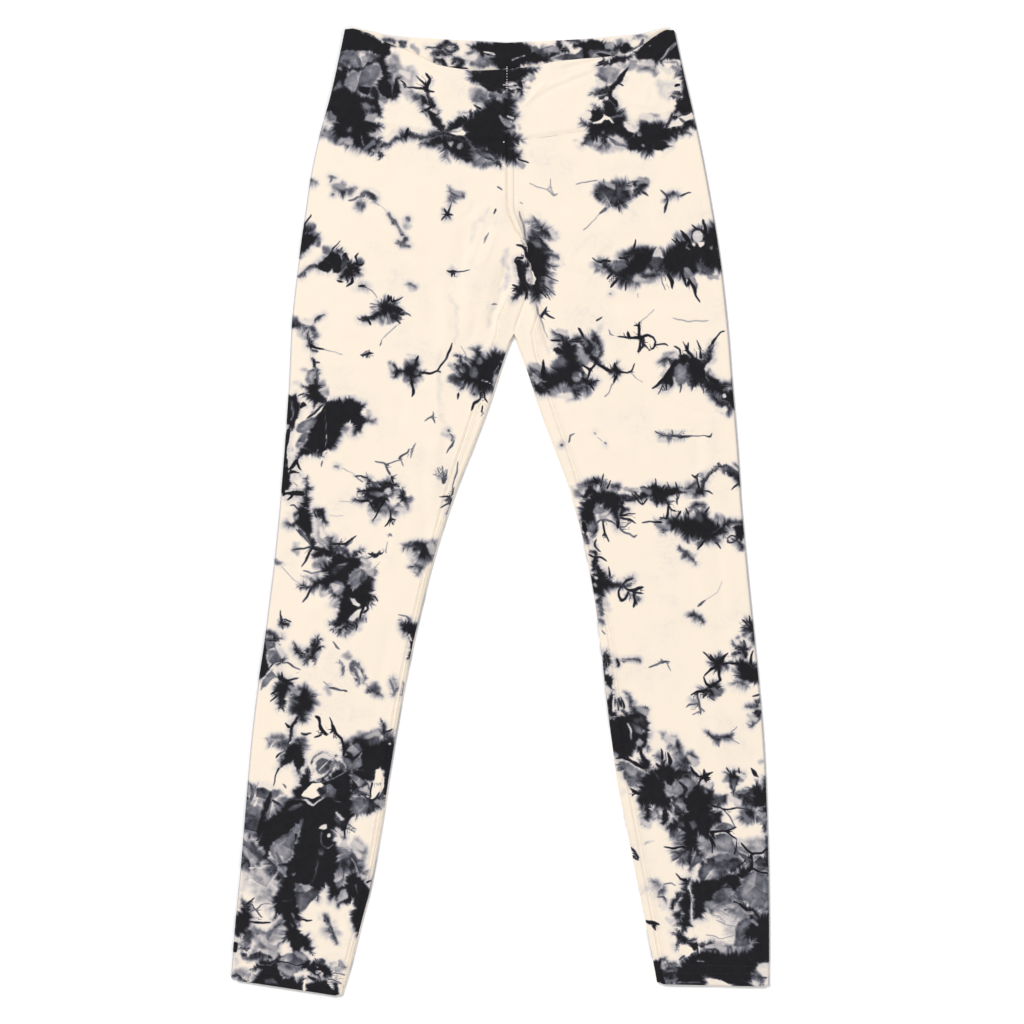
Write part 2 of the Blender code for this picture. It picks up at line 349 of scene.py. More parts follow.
@dataclass(frozen=True)
class Relief:
    """Soft ridges and troughs laid on the cloth.

    Each row is half width, height, and the x and y of its points in turn.
    """

    rows: tuple[Row, ...]

    def height(self, x: Array, y: Array) -> Array:
        """Adds the rows up.

        Args:
            x: Board x of each point.
            y: Board y of each point.

        Returns:
            The height they add to each point.
        """
        total = np.zeros_like(x)
        for half, height, *path in self.rows:
            points = list(zip(path[::2], path[1::2]))
            best = np.zeros_like(x)
            for number, (start, end) in enumerate(zip(points, points[1:])):
                share, away, _ = nearest_on(x, y, start, end)
                place = (number + np.clip(share, 0, 1)) / (len(points) - 1)
                fade = ease(5 * place) * ease(5 * (1 - place))
                best = np.maximum(best, fade * np.exp(-((away / half) ** 2)))
            total += height * best
        return total


def solid_lift(x: Array, drop: Array) -> Array:
    """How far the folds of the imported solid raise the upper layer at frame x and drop."""
    total = np.zeros_like(x)
    for from_x, from_drop, to_x, to_drop, half, height in FOLDS:
        run_x, run_drop = to_x - from_x, to_drop - from_drop
        length = hypot(run_x, run_drop)
        share = ((x - from_x) * run_x + (drop - from_drop) * run_drop) / length**2
        aside = ((x - from_x) * run_drop - (drop - from_drop) * run_x) / length
        total += height * ease(4 * share) * ease(4 * (1 - share)) * np.exp(-((aside / half) ** 2))
    return total


# ---------------------------------------------------------------- dye


class DyeKind(Enum):
    """The three dyes that have crisp outlines, in the order they are laid."""

    SLATE = "slate"
    INK = "ink"
    LIFT = "lift"


@dataclass(frozen=True)
class DyePlan:
    """Where the dye took. Tones run from 0, bare cloth, to 1, charcoal."""

    ink_areas: tuple[Row, ...]
    ink_lines: tuple[Row, ...]
    lift_areas: tuple[Row, ...]
    # Some lift-line rows are painted highlights, and some vein and wash rows are painted crease and edge
    # shade.
    lift_lines: tuple[Row, ...]
    veins: tuple[Row, ...]
    washes: tuple[Row, ...]


class Marks:
    """The deepest of a set of marks at each point.

    FAR is how deep a point with no mark counts as, REACH is how far round itself a mark is read, and
    FAN is the radius that distances along an outline are measured at where it goes round a corner.
    """

    FAR = 40.0
    REACH = 11.0
    FAN = 5.0

    def __init__(self, x: Array, y: Array) -> None:
        """Starts with no marks.

        Args:
            x: Board x of each point.
            y: Board y of each point.
        """
        self.x, self.y = x, y
        self.depth = np.full(x.shape, -self.FAR)
        self.around = np.zeros_like(x)
        self.tone = np.zeros_like(x)
        self.edge = np.ones_like(x)

    def along(self, share: Array, away: Array, length: float) -> Array:
        """How far along a side of a mark each point is, going on round its ends as a fan.

        Args:
            share: Where the nearest place on the side's whole line is, from 0 to 1 between its ends.
            away: How far off the side each point is.
            length: The side's length.

        Returns:
            The distance along for each point.
        """
        held = np.clip(share, 0, 1)
        past = (share - held) * length
        straight = np.sqrt(np.maximum(away**2 - past**2, 0.01))
        return held * length + self.FAN * np.arctan2(past, straight)

    def keep(self, at: Array, depth: Array, around: Array, tone: float, edge: float) -> None:
        """Keeps a mark where it goes deeper than those so far.

        Args:
            at: Index of each point.
            depth: How far inside the mark each one is.
            around: How far along the mark's outline each one is.
            tone: The mark's tone.
            edge: How far its edge feathers.
        """
        better = depth > self.depth[at]
        hit = at[better]
        self.depth[hit] = depth[better]
        self.around[hit] = around[better]
        self.tone[hit] = tone
        self.edge[hit] = edge

    def area(self, tone: float, edge: float, outline: Row) -> None:
        """Lays a closed outline.

        Args:
            tone: Its tone.
            edge: How far its edge feathers.
            outline: The x and y of its corners in turn.
        """
        corners = list(zip(outline[::2], outline[1::2]))
        at = points_near(self.x, self.y, corners, self.REACH)
        if not len(at):
            return
        x, y = self.x[at], self.y[at]
        inside = np.zeros(len(at), bool)
        best, around, run = np.full(len(at), self.FAR), np.zeros(len(at)), 0.0
        ends, afters = corners[1:] + corners[:1], corners[2:] + corners[:2]
        for start, end, after in zip(corners, ends, afters):
            share, away, _ = nearest_on(x, y, start, end)
            nearer = away < best
            best[nearer] = away[nearer]
            around[nearer] = run + self.along(share[nearer], away[nearer], span(start, end))
            turn = heading(end, after) - heading(start, end)
            run += span(start, end) + self.FAN * abs((turn + pi) % (2 * pi) - pi)
            if start[1] != end[1]:
                crosses = (y < start[1]) != (y < end[1])
                across = start[0] + (y - start[1]) * (end[0] - start[0]) / (end[1] - start[1])
                inside ^= crosses & (x < across)
        self.keep(at, np.where(inside, best, -best), around, tone, edge)

    def line(self, tone: float, edge: float, path: Row) -> None:
        """Lays a line that swells and tapers.

        Args:
            tone: Its tone.
            edge: How far its edge feathers.
            path: The x, y and half width of its points in turn.
        """
        points = list(zip(path[::3], path[1::3], path[2::3]))
        at = points_near(self.x, self.y, points, self.REACH + max(path[2::3]))
        if not len(at):
            return
        if len(points) == 1:
            points.append((points[0][0] + 0.1, *points[0][1:]))
        run = -sum(span(start, end) for start, end in zip(points, points[1:]))
        run -= self.FAN * pi / 2
        for start, end in zip(points, points[1:]):
            share, away, side = nearest_on(self.x[at], self.y[at], start, end)
            length = span(start, end)
            half = start[2] + (end[2] - start[2]) * np.clip(share, 0, 1)
            self.keep(at, half - away, (run + self.along(share, away, length)) * side, tone, edge)
            run += length


class Veins:
    """Crisp thin lines, each kept as a signed distance so that it can be finer than the mesh.

    LIMIT is how far past its own half width a vein is read. FAR and NONE are the distance and the half
    width where there is no vein. PINCH is how fast a vein narrows past its ends.
    """

    LIMIT = 3.4
    FAR = 9.0
    NONE = -4.0
    PINCH = 0.9

    def __init__(self, x: Array, y: Array) -> None:
        """Starts with no veins.

        Args:
            x: Board x of each point.
            y: Board y of each point.
        """
        self.x, self.y = x, y
        self.side = np.full(x.shape, self.FAR)
        self.half = np.full(x.shape, self.NONE)
        self.tone = np.zeros_like(x)
        self.gap = np.full(x.shape, self.FAR)

    def line(self, tone: float, path: Row) -> None:
        """Lays a vein.

        Args:
            tone: Its tone.
            path: The x, y and half width of its points in turn.
        """
        points = list(zip(path[::3], path[1::3], path[2::3]))
        for start, end in zip(points, points[1:]):
            spare = self.LIMIT + max(start[2], end[2])
            at = points_near(self.x, self.y, (start, end), spare)
            if not len(at):
                continue
            share, away, side = nearest_on(self.x[at], self.y[at], start, end)
            length = max(span(start, end), 0.5)
            half = start[2] + (end[2] - start[2]) * np.clip(share, 0, 1)
            past = np.maximum(0, np.maximum(-share, share - 1)) * length
            straight = np.sqrt(np.maximum(away**2 - past**2, 0))
            gap = away - half
            better = (gap < self.gap[at]) & (away < spare)
            hit = at[better]
            self.gap[hit] = gap[better]
            self.side[hit] = (side * straight)[better]
            self.half[hit] = (half - self.PINCH * past)[better]
            self.tone[hit] = tone


class DyeField:
    """What a plan's dye is at each point, ready to store on a mesh.

    CRISP and BLOWN are the layers of noise that bend the outlined marks and the soft washes. Ink areas
    and lines darker than INK_TONE are charcoal, and the others are slate.
    """

    CRISP = ((1.1, 8.0, 3, 4), (0.4, 3.1, 5, 6))
    BLOWN = ((3.4, 9.0, 7, 10), (1.5, 4.2, 8, 11))
    INK_TONE = 0.9

    def __init__(self, plan: DyePlan, x: Array, y: Array) -> None:
        """Works the dye out.

        Args:
            plan: Where the dye took.
            x: Board x of each point.
            y: Board y of each point.
        """
        bent = bend(x, y, self.CRISP)
        self.layers = {kind: Marks(*bent) for kind in DyeKind}
        for lay, dark, pale in (
            (Marks.area, plan.ink_areas, plan.lift_areas),
            (Marks.line, plan.ink_lines, plan.lift_lines),
        ):
            for tone, edge, *path in dark:
                kind = DyeKind.INK if tone > self.INK_TONE else DyeKind.SLATE
                lay(self.layers[kind], tone, edge, tuple(path))
            for tone, edge, *path in pale:
                lay(self.layers[DyeKind.LIFT], tone, edge, tuple(path))
        self.veins = Veins(*bent)
        for tone, *path in plan.veins:
            self.veins.line(tone, tuple(path))
        blown = bend(x, y, self.BLOWN)
        self.wash = np.zeros_like(x)
        for strength, edge, *path in plan.washes:
            mark = Marks(*blown)
            mark.line(1.0, edge, tuple(path))
            self.wash = np.maximum(self.wash, strength * ease((mark.depth + edge) / (2 * edge)))

    def fields(self) -> dict[str, Array]:
        """The dye as named vectors, one row for each point."""
        made = {
            kind.value: np.stack([marks.depth, marks.around, marks.edge], axis=-1)
            for kind, marks in self.layers.items()
        }
        made["vein"] = np.stack([self.veins.side, self.veins.half, self.veins.tone], axis=-1)
        slate, lift = self.layers[DyeKind.SLATE].tone, self.layers[DyeKind.LIFT].tone
        made["tones"] = np.stack([slate, lift, self.wash], axis=-1)
        return made


# ---------------------------------------------------------------- dye tables

# Dyed areas: tone, feather, and the x and y of the outline.
INK_AREAS: tuple[Row, ...] = (
    # Waistband, the wearer's right.
    (1, 1.2, 344, 26, 352, 25, 364, 32, 376, 38, 384, 44, 386, 40, 393, 40, 398, 47, 390, 46, 390, 53, 386,
     58, 387, 68, 388, 80, 391, 89, 396, 99, 388, 98, 379, 93, 377, 86, 381, 78, 381, 65, 376, 63, 368, 67,
     365, 65, 380, 56, 370, 51, 358, 51, 338, 52),
    (1, 2.2, 334, 71, 345, 65, 350, 68, 360, 67, 365, 69, 358, 72, 348, 73, 346, 80, 345, 84, 348, 89, 354,
     92, 364, 96, 371, 98, 372, 92, 377, 89, 379, 95, 379, 104, 382, 110, 381, 117, 374, 114, 366, 114,
     368, 120, 381, 127, 378, 131, 369, 133, 371, 137, 380, 138, 381, 143, 375, 147, 366, 150, 360, 146,
     350, 143, 341, 141, 336, 136, 333, 128, 336, 122, 330, 116, 324, 109, 327, 98),
    (1, 4.5, 422, 144, 430, 140, 440, 135, 452, 137, 470, 140, 473, 150, 471, 160, 462, 160, 455, 155, 448,
     152, 447, 157, 443, 151, 438, 146, 430, 146),
    (1, 3, 466, 118, 474, 113, 480, 111, 487, 104, 495, 98, 500, 102, 505, 98, 507, 92, 500, 91, 494, 92,
     489, 88, 480, 84, 471, 80, 470, 73, 480, 70, 500, 69, 508, 68, 522, 67, 537, 68, 534, 72, 527, 76,
     521, 80, 514, 81, 510, 84, 514, 90, 514, 92, 511, 98, 515, 106, 512, 112, 517, 117, 513, 121, 503,
     120, 506, 124, 514, 128, 508, 131, 515, 134, 521, 141, 515, 144, 514, 150, 521, 153, 518, 160, 520,
     163, 514, 164, 508, 161, 503, 158, 497, 158, 490, 154, 480, 150, 474, 147, 471, 142, 466, 139, 464,
     130, 462, 123),
    # Waistband, the wearer's left.
    (1, 1, 676, 26, 665, 30, 656, 36, 645, 38, 644, 44, 640, 48, 635, 53, 634, 56, 638, 60, 644, 59, 652,
     59, 655, 62, 655, 68, 660, 61, 668, 59, 682, 60, 680, 40),
    (1, 1.5, 604, 60, 610, 62, 612, 58, 616, 54, 620, 57, 632, 56, 632, 59, 620, 62, 612, 65, 604, 65),
    (1, 2, 679, 100, 686, 94, 694, 98, 696, 113, 684, 114, 676, 114, 672, 113, 678, 108),
    (1, 2.5, 604, 100, 611, 100, 616, 107, 621, 112, 625, 116, 625, 121, 622, 128, 627, 134, 633, 134, 640,
     130, 641, 124, 650, 124, 658, 122, 663, 122, 666, 126, 671, 128, 680, 126, 686, 121, 693, 120, 698,
     128, 690, 127, 684, 131, 676, 135, 672, 140, 664, 142, 658, 146, 664, 148, 663, 150, 655, 148, 651,
     154, 648, 155, 643, 153, 638, 150, 632, 151, 628, 150, 626, 140, 620, 134, 612, 134, 608, 139, 606,
     145, 602, 145, 601, 138, 594, 140, 590, 137, 586, 143, 582, 145, 586, 138, 589, 133, 586, 127, 583,
     122, 588, 124, 597, 121, 603, 120, 605, 116, 600, 112, 594, 107, 600, 109, 604, 110),
    (1, 1, 677, 99, 688, 98, 692, 112, 680, 114, 675, 113),
    (1, 1, 590, 112, 600, 108, 606, 114, 602, 122, 592, 122),
    (1, 1, 612, 128, 622, 124, 630, 128, 634, 136, 626, 142, 614, 140, 608, 134),
    (1, 1.2, 652, 142, 664, 140, 670, 146, 662, 152, 652, 150),
    # Thigh of the wearer's right leg.
    (1, 2, 302, 226, 306, 234, 312, 234, 317, 236, 313, 243, 308, 248, 303, 253, 298, 256),
    (1, 0.8, 331, 251, 335, 252, 341, 258, 336, 265, 330, 270, 327, 272, 319, 270, 315, 266, 322, 261, 327,
     256),
    (1, 2.5, 348, 259, 353, 261, 356, 263, 355, 270, 359, 272, 357, 276, 352, 277, 348, 280, 342, 280, 340,
     278, 345, 270, 347, 264),
    (1, 3, 380, 303, 384, 300, 390, 303, 396, 303, 398, 308, 401, 312, 397, 315, 390, 315, 386, 318, 381,
     315, 379, 309),
    (1, 1.6, 316, 366, 318, 367, 318, 380, 319, 390, 322, 396, 327, 401, 335, 401, 343, 401, 350, 398, 356,
     402, 364, 405, 361, 410, 363, 416, 369, 420, 374, 421, 368, 423, 362, 424, 362, 432, 358, 432, 354,
     436, 355, 426, 350, 422, 343, 423, 341, 430, 339, 440, 335, 446, 329, 450, 322, 453, 321, 457, 318,
     454, 313, 455, 306, 455, 299, 458, 297, 462, 293, 467, 290, 471, 297, 458, 300, 452, 304, 446, 308,
     436, 311, 428, 316, 420, 314, 412, 324, 404, 318, 403, 313, 408, 312, 402, 308, 398, 305, 396, 308,
     392, 304, 388, 309, 386, 314, 384, 316, 376),
    (0.95, 1, 286, 396, 296, 395, 299, 402, 300, 408, 297, 416, 295, 428, 291, 430, 286, 424),
    (1, 2, 397, 369, 408, 368, 413, 366, 417, 360, 418, 363, 418, 370, 424, 372, 420, 376, 414, 378, 414,
     383, 412, 384, 409, 378, 404, 374, 397, 372),
    (1, 3.2, 463, 366, 470, 364, 474, 358, 475, 350, 478, 348, 481, 352, 482, 358, 488, 355, 492, 352, 496,
     348, 497, 353, 502, 354, 508, 354, 503, 366, 499, 374, 494, 375, 492, 382, 493, 392, 488, 390, 484,
     392, 480, 392, 474, 388, 468, 385, 464, 384, 458, 381, 453, 380, 459, 375, 461, 370),
    (0.55, 2.5, 450, 189, 454, 193, 464, 194, 457, 197, 454, 203, 450, 206, 447, 202, 450, 196),
    (1, 1, 332, 258, 340, 256, 344, 262, 342, 272, 334, 272),
    # Crotch.
    (1, 2, 521, 262, 526, 262, 529, 266, 526, 270, 526, 280, 528, 285, 528, 290, 526, 296, 522, 294, 516,
     298, 513, 300, 516, 293, 517, 286, 520, 278, 519, 268),
    (1, 4, 528, 240, 533, 235, 540, 231, 536, 224, 534, 219, 540, 226, 547, 229, 549, 232, 555, 236, 546,
     235, 538, 236, 532, 240, 534, 246, 545, 250, 552, 255, 558, 257, 550, 257, 547, 262, 553, 266, 546,
     268, 549, 273, 545, 278, 549, 282, 541, 285, 549, 288, 547, 292, 541, 292, 540, 299, 537, 300, 533,
     296, 530, 294, 530, 286, 536, 281, 535, 275, 532, 268, 528, 256),
    # Thigh of the wearer's left leg.
    (0.72, 3, 593, 193, 600, 184, 608, 186, 618, 183, 626, 180, 629, 182, 628, 190, 630, 196, 626, 204,
     620, 209, 612, 207, 604, 204, 598, 200),
    (0.68, 2, 630, 181, 640, 180, 648, 183, 643, 190, 636, 196, 630, 200, 633, 192, 636, 187),
    (1, 3, 609, 269, 616, 272, 622, 268, 626, 262, 632, 258, 636, 252, 646, 251, 652, 255, 652, 264, 658,
     268, 664, 269, 660, 262, 660, 252, 668, 250, 673, 246, 680, 242, 688, 240, 694, 243, 700, 240, 706,
     232, 708, 228, 716, 220, 724, 262, 724, 270, 714, 269, 706, 266, 700, 262, 697, 266, 698, 272, 692,
     274, 686, 276, 682, 278, 676, 276, 670, 273, 662, 271, 652, 270, 646, 268, 638, 272, 632, 276, 622,
     277),
    (1, 3, 560, 345, 566, 340, 572, 341, 576, 346, 575, 354, 579, 362, 583, 372, 588, 378, 592, 380, 598,
     381, 592, 384, 586, 384, 580, 382, 575, 384, 578, 392, 576, 398, 572, 390, 566, 384, 556, 386, 550,
     390, 546, 392, 542, 388, 543, 382, 540, 376, 545, 372, 552, 372, 556, 366, 560, 358, 561, 350),
    (1, 2.5, 580, 343, 586, 346, 594, 354, 600, 356, 598, 362, 593, 364, 588, 356, 582, 350),
    (1, 2, 604, 366, 612, 369, 615, 364, 618, 369, 622, 371, 620, 375, 616, 378, 612, 374),
    (1, 3, 688, 356, 694, 361, 702, 360, 705, 354, 709, 350, 711, 346, 712, 351, 706, 358, 704, 366, 703,
     374, 706, 379, 714, 382, 722, 383, 736, 383, 736, 386, 726, 388, 722, 390, 728, 390, 738, 389, 739,
     411, 731, 409, 726, 403, 718, 396, 712, 394, 706, 390, 704, 384, 698, 384, 692, 385, 690, 378, 688,
     368),
    # Knees.
    (1, 2, 306, 480, 308, 484, 310, 487, 308, 492, 309, 498, 310, 505, 308, 509, 304, 507, 301, 503, 303,
     497, 305, 492, 306, 486),
    (1, 1.5, 299, 507, 302, 505, 307, 508, 310, 511, 311, 520, 312, 530, 312, 540, 314, 546, 312, 549, 310,
     545, 308, 538, 304, 530, 300, 526, 296, 524, 291, 525, 289, 527, 287, 524, 293, 522, 298, 519, 299,
     514, 298, 510),
    (0.7, 2, 313, 510, 319, 508, 324, 509, 325, 516, 326, 523, 321, 520, 316, 513),
    (1, 2.2, 312, 548, 318, 547, 324, 550, 328, 547, 330, 541, 327, 536, 333, 543, 333, 548, 336, 553, 344,
     552, 350, 557, 354, 553, 362, 550, 356, 558, 365, 560, 363, 565, 356, 568, 350, 574, 348, 582, 352,
     588, 357, 588, 366, 580, 374, 571, 373, 579, 372, 582, 370, 592, 373, 598, 371, 604, 366, 606, 364,
     610, 361, 612, 357, 618, 352, 622, 348, 628, 340, 633, 337, 631, 343, 625, 336, 629, 333, 629, 334,
     624, 330, 623, 337, 619, 340, 610, 341, 602, 338, 598, 333, 595, 331, 586, 326, 586, 318, 587, 311,
     589, 307, 589, 303, 586, 299, 586, 304, 583, 310, 586, 316, 582, 322, 579, 326, 574, 322, 570, 322,
     567, 328, 564, 331, 560, 331, 555, 326, 553, 320, 556, 314, 558, 312, 556, 316, 551),
    (1, 2.2, 360, 491, 366, 491, 372, 487, 380, 485, 384, 481, 390, 482, 395, 483, 398, 485, 394, 489, 393,
     493, 390, 489, 384, 488, 383, 492, 386, 496, 390, 495, 388, 498, 384, 503, 380, 508, 377, 513, 374,
     520, 376, 510, 374, 510, 372, 505, 369, 500, 362, 502, 355, 500, 362, 499, 366, 498, 364, 494),
    (0.55, 4, 374, 505, 386, 504, 392, 507, 398, 505, 400, 512, 392, 515, 384, 513, 378, 510),
    (1, 1.5, 398, 495, 402, 489, 404, 492, 406, 497, 408, 508, 404, 502, 402, 501, 399, 499),
    (0.9, 4, 404, 545, 410, 544, 416, 541, 424, 541, 434, 544, 434, 556, 426, 560, 418, 557, 413, 550, 408,
     549),
    (1, 2, 402, 622, 407, 621, 410, 623, 417, 624, 421, 624, 417, 640, 412, 641, 410, 637, 407, 633, 403,
     632, 401, 627),
    (1, 2.5, 583, 502, 588, 495, 594, 491, 602, 489, 610, 491, 616, 494, 620, 499, 624, 500, 622, 506, 619,
     513, 619, 520, 619, 528, 616, 524, 614, 517, 610, 511, 604, 507, 598, 504, 595, 506, 594, 514, 595,
     522, 591, 523, 581, 521, 581, 510),
    (1, 3, 676, 517, 684, 516, 690, 518, 696, 515, 700, 513, 706, 514, 711, 520, 717, 524, 726, 521, 738,
     521, 744, 519, 744, 523, 732, 524, 727, 528, 724, 536, 722, 534, 716, 536, 720, 542, 714, 540, 708,
     543, 704, 540, 698, 547, 702, 540, 695, 538, 690, 537, 688, 541, 684, 535, 680, 531, 672, 530, 668,
     528, 664, 532, 663, 526, 660, 523, 668, 521),
    (1, 2.5, 590, 575, 598, 574, 603, 576, 609, 577, 608, 581, 616, 582, 622, 583, 626, 584, 628, 580, 633,
     577, 627, 585, 622, 588, 614, 587, 608, 590, 604, 593, 601, 598, 598, 596, 592, 590, 590, 584),
    # Calf of the wearer's right leg.
    (1, 1, 263, 642, 268, 639, 266, 652, 266, 658, 270, 668, 265, 673, 258, 679, 258, 660),
    (1, 2.5, 281, 680, 284, 680, 288, 681, 292, 684, 291, 690, 287, 692, 285, 697, 286, 703, 284, 708, 280,
     710, 278, 703, 277, 696, 276, 690, 279, 684),
    (1, 4.5, 296, 690, 302, 688, 308, 691, 312, 693, 312, 698, 315, 703, 311, 709, 306, 713, 307, 719, 303,
     722, 299, 719, 297, 712, 291, 711, 293, 704, 296, 700, 294, 695),
    (0.7, 5, 272, 736, 284, 738, 290, 744, 298, 744, 304, 738, 306, 748, 300, 752, 284, 750, 276, 745),
    (1, 1, 287, 747, 291, 745, 296, 746, 301, 747, 303, 754, 304, 762, 302, 766, 299, 770, 301, 776, 298,
     774, 296, 768, 293, 761, 289, 763, 282, 766, 278, 769, 281, 763, 284, 755),
    (0.8, 6, 346, 742, 354, 738, 362, 738, 370, 734, 376, 738, 384, 733, 391, 734, 396, 750, 380, 760, 350,
     752),
    (0.63, 4, 246, 782, 257, 784, 258, 795, 262, 800, 270, 792, 280, 792, 287, 797, 284, 804, 276, 816,
     268, 822, 262, 830, 258, 836, 250, 838, 242, 830, 244, 812, 246, 795),
    (0.85, 3, 244, 812, 258, 818, 266, 822, 262, 834, 256, 832, 242, 828),
    (0.55, 3, 241, 838, 256, 842, 262, 850, 262, 858, 256, 866, 240, 866),
    (0.55, 3, 266, 858, 276, 860, 278, 872, 268, 874),
    (1, 1.6, 301, 778, 305, 772, 309, 768, 310, 776, 309, 781, 318, 783, 326, 780, 332, 775, 337, 770, 343,
     770, 348, 772, 348, 765, 344, 760, 345, 752, 343, 742, 350, 744, 357, 744, 364, 745, 371, 744, 378,
     745, 384, 740, 392, 742, 397, 744, 394, 760, 391, 778, 389, 790, 387, 799, 381, 790, 383, 778, 385,
     770, 380, 766, 375, 770, 374, 778, 371, 778, 362, 770, 355, 770, 351, 774, 352, 785, 351, 800, 351,
     810, 355, 814, 350, 818, 346, 824, 344, 830, 346, 838, 341, 830, 333, 830, 333, 838, 336, 846, 337,
     858, 340, 864, 336, 874, 334, 882, 338, 887, 345, 885, 348, 876, 355, 872, 362, 880, 372, 881, 371,
     892, 367, 912, 363, 928, 358, 934, 354, 926, 351, 917, 355, 908, 352, 899, 346, 902, 338, 905, 343,
     898, 345, 891, 341, 891, 337, 900, 334, 895, 331, 900, 329, 888, 326, 882, 320, 890, 319, 900, 316,
     891, 309, 885, 302, 884, 295, 883, 295, 892, 296, 904, 300, 914, 299, 930, 303, 935, 308, 935, 311,
     945, 313, 953, 308, 950, 302, 947, 297, 954, 294, 952, 290, 941, 284, 939, 286, 930, 286, 920, 281,
     914, 277, 914, 274, 919, 276, 911, 273, 902, 277, 894, 283, 886, 286, 877, 285, 868, 279, 866, 288,
     862, 293, 855, 297, 842, 300, 830, 302, 820, 294, 827, 284, 835, 275, 842, 270, 850, 267, 858, 263,
     858, 264, 850, 258, 843, 262, 834, 258, 828, 262, 822, 272, 817, 282, 811, 286, 802, 293, 797, 297,
     789, 300, 783),
    (0.6, 0.7, 352, 772, 362, 776, 368, 784, 372, 793, 360, 797, 352, 793),
    (0.62, 1.6, 351, 797, 372, 798, 382, 793, 385, 800, 378, 808, 368, 814, 356, 817, 351, 812),
    (0.42, 0.5, 317, 762, 322, 758, 328, 760, 330, 766, 326, 773, 320, 774, 316, 769),
    (0.62, 1.5, 249, 788, 268, 786, 284, 793, 292, 800, 283, 812, 262, 822, 247, 818),
    (0.75, 1.2, 309, 963, 318, 959, 325, 963, 327, 970, 321, 976, 312, 974, 308, 970),
    (0.5, 1.2, 330, 962, 340, 960, 346, 967, 340, 973, 331, 971),
    (0.6, 1, 350, 664, 356, 661, 362, 670, 364, 680, 360, 684, 354, 680, 350, 672),
    # Hem of the wearer's right leg.
    (1, 2, 236, 915, 242, 910, 245, 904, 248, 910, 252, 917, 250, 924, 246, 930, 240, 936, 235, 934),
    (0.55, 2, 246, 930, 252, 928, 254, 936, 248, 944, 242, 950, 240, 948),
    (0.95, 1, 241, 948, 246, 947, 250, 948, 246, 950), (0.9, 1, 241, 952, 246, 953, 247, 958, 243, 956),
    (0.85, 2, 248, 960, 250, 954, 258, 951, 266, 950, 272, 954, 270, 960, 262, 960, 256, 959),
    (1, 1.5, 252, 969, 256, 965, 264, 965, 272, 963, 278, 959, 280, 952, 281, 960, 278, 966, 280, 975, 283,
     978, 288, 979, 292, 975, 296, 980, 302, 978, 304, 984, 303, 993, 290, 992, 270, 990, 248, 986, 256,
     979, 262, 971, 258, 969),
    (0.97, 1, 306, 995, 307, 984, 314, 981, 322, 981, 326, 980, 328, 984, 332, 989, 334, 986, 330, 981,
     337, 984, 338, 992, 345, 993, 345, 999, 330, 999, 318, 997),
    (0.45, 0.8, 278, 960, 284, 955, 292, 953, 301, 952, 308, 958, 309, 963, 305, 969, 298, 972, 292, 975,
     286, 977, 280, 972, 278, 966),
    (0.9, 3.5, 309, 969, 314, 965, 320, 964, 326, 966, 329, 971, 327, 977, 322, 979, 316, 977, 312, 973),
    (0.55, 4, 340, 862, 346, 852, 354, 851, 362, 854, 360, 862, 366, 872, 356, 870, 348, 866, 342, 874),
    # Calf of the wearer's left leg.
    (1, 1, 604, 673, 610, 675, 612, 680, 612, 688, 609, 685, 604, 681),
    (1, 1.2, 611, 692, 614, 696, 616, 704, 614, 710, 618, 716, 610, 716, 606, 706, 608, 698),
    (1, 1.2, 608, 719, 617, 717, 624, 716, 630, 714, 637, 713, 644, 709, 646, 714, 648, 722, 649, 728, 647,
     738, 644, 747, 640, 751, 637, 751, 636, 746, 635, 750, 630, 757, 624, 759, 618, 757, 611, 749, 608,
     735),
    (0.65, 3, 632, 706, 640, 707, 645, 709, 638, 712, 630, 711),
    (1, 1.5, 640, 762, 646, 760, 651, 765, 649, 769, 644, 769, 640, 765),
    (0.43, 3, 618, 760, 626, 762, 634, 767, 640, 770, 643, 776, 640, 786, 634, 788, 630, 780, 624, 772,
     618, 766),
    (1, 3, 713, 658, 718, 655, 722, 657, 724, 663, 721, 668, 718, 672, 714, 668, 711, 663),
    (1, 3, 706, 688, 711, 685, 716, 686, 717, 690, 714, 696, 709, 693, 704, 691),
    (1, 1.8, 733, 662, 740, 659, 746, 661, 752, 663, 757, 668, 762, 676, 763, 685, 754, 684, 748, 681, 742,
     679, 736, 676, 740, 675, 735, 672, 739, 671, 736, 666),
    (1, 3.5, 742, 637, 746, 632, 744, 628, 748, 624, 747, 620, 755, 620, 757, 632, 758, 641, 750, 643, 752,
     637, 752, 633, 748, 632),
    (0.7, 4, 682, 760, 686, 753, 692, 752, 694, 756, 690, 762, 688, 768, 680, 768, 677, 763),
    (1, 2.5, 638, 791, 641, 782, 646, 773, 652, 769, 659, 768, 662, 760, 666, 764, 670, 762, 676, 769, 690,
     772, 697, 776, 686, 777, 676, 780, 672, 785, 669, 787, 665, 782, 664, 790, 668, 796, 676, 798, 684,
     796, 690, 793, 696, 787, 699, 784, 703, 788, 711, 788, 711, 793, 713, 800, 709, 806, 712, 815, 712,
     822, 710, 830, 710, 838, 706, 840, 699, 836, 697, 838, 698, 846, 700, 852, 704, 858, 700, 859, 695,
     852, 693, 850, 690, 856, 691, 868, 690, 870, 688, 862, 688, 852, 684, 848, 683, 838, 681, 830, 676,
     831, 669, 829, 667, 827, 672, 822, 678, 818, 682, 815, 687, 812, 686, 806, 680, 800, 674, 800, 672,
     806, 670, 810, 664, 809, 656, 806, 650, 803, 650, 810, 648, 818, 646, 824, 643, 822, 644, 812, 645,
     806, 641, 810, 640, 802),
    (0.92, 1.5, 726, 773, 731, 771, 738, 771, 742, 773, 739, 776, 737, 783, 735, 790, 733, 796, 731, 790,
     729, 783, 728, 777),
    (1, 2.5, 750, 788, 756, 783, 762, 788, 764, 780, 770, 772, 772, 800, 773, 818, 763, 816, 760, 810, 764,
     806, 756, 806, 745, 804, 752, 801, 754, 796, 750, 792),
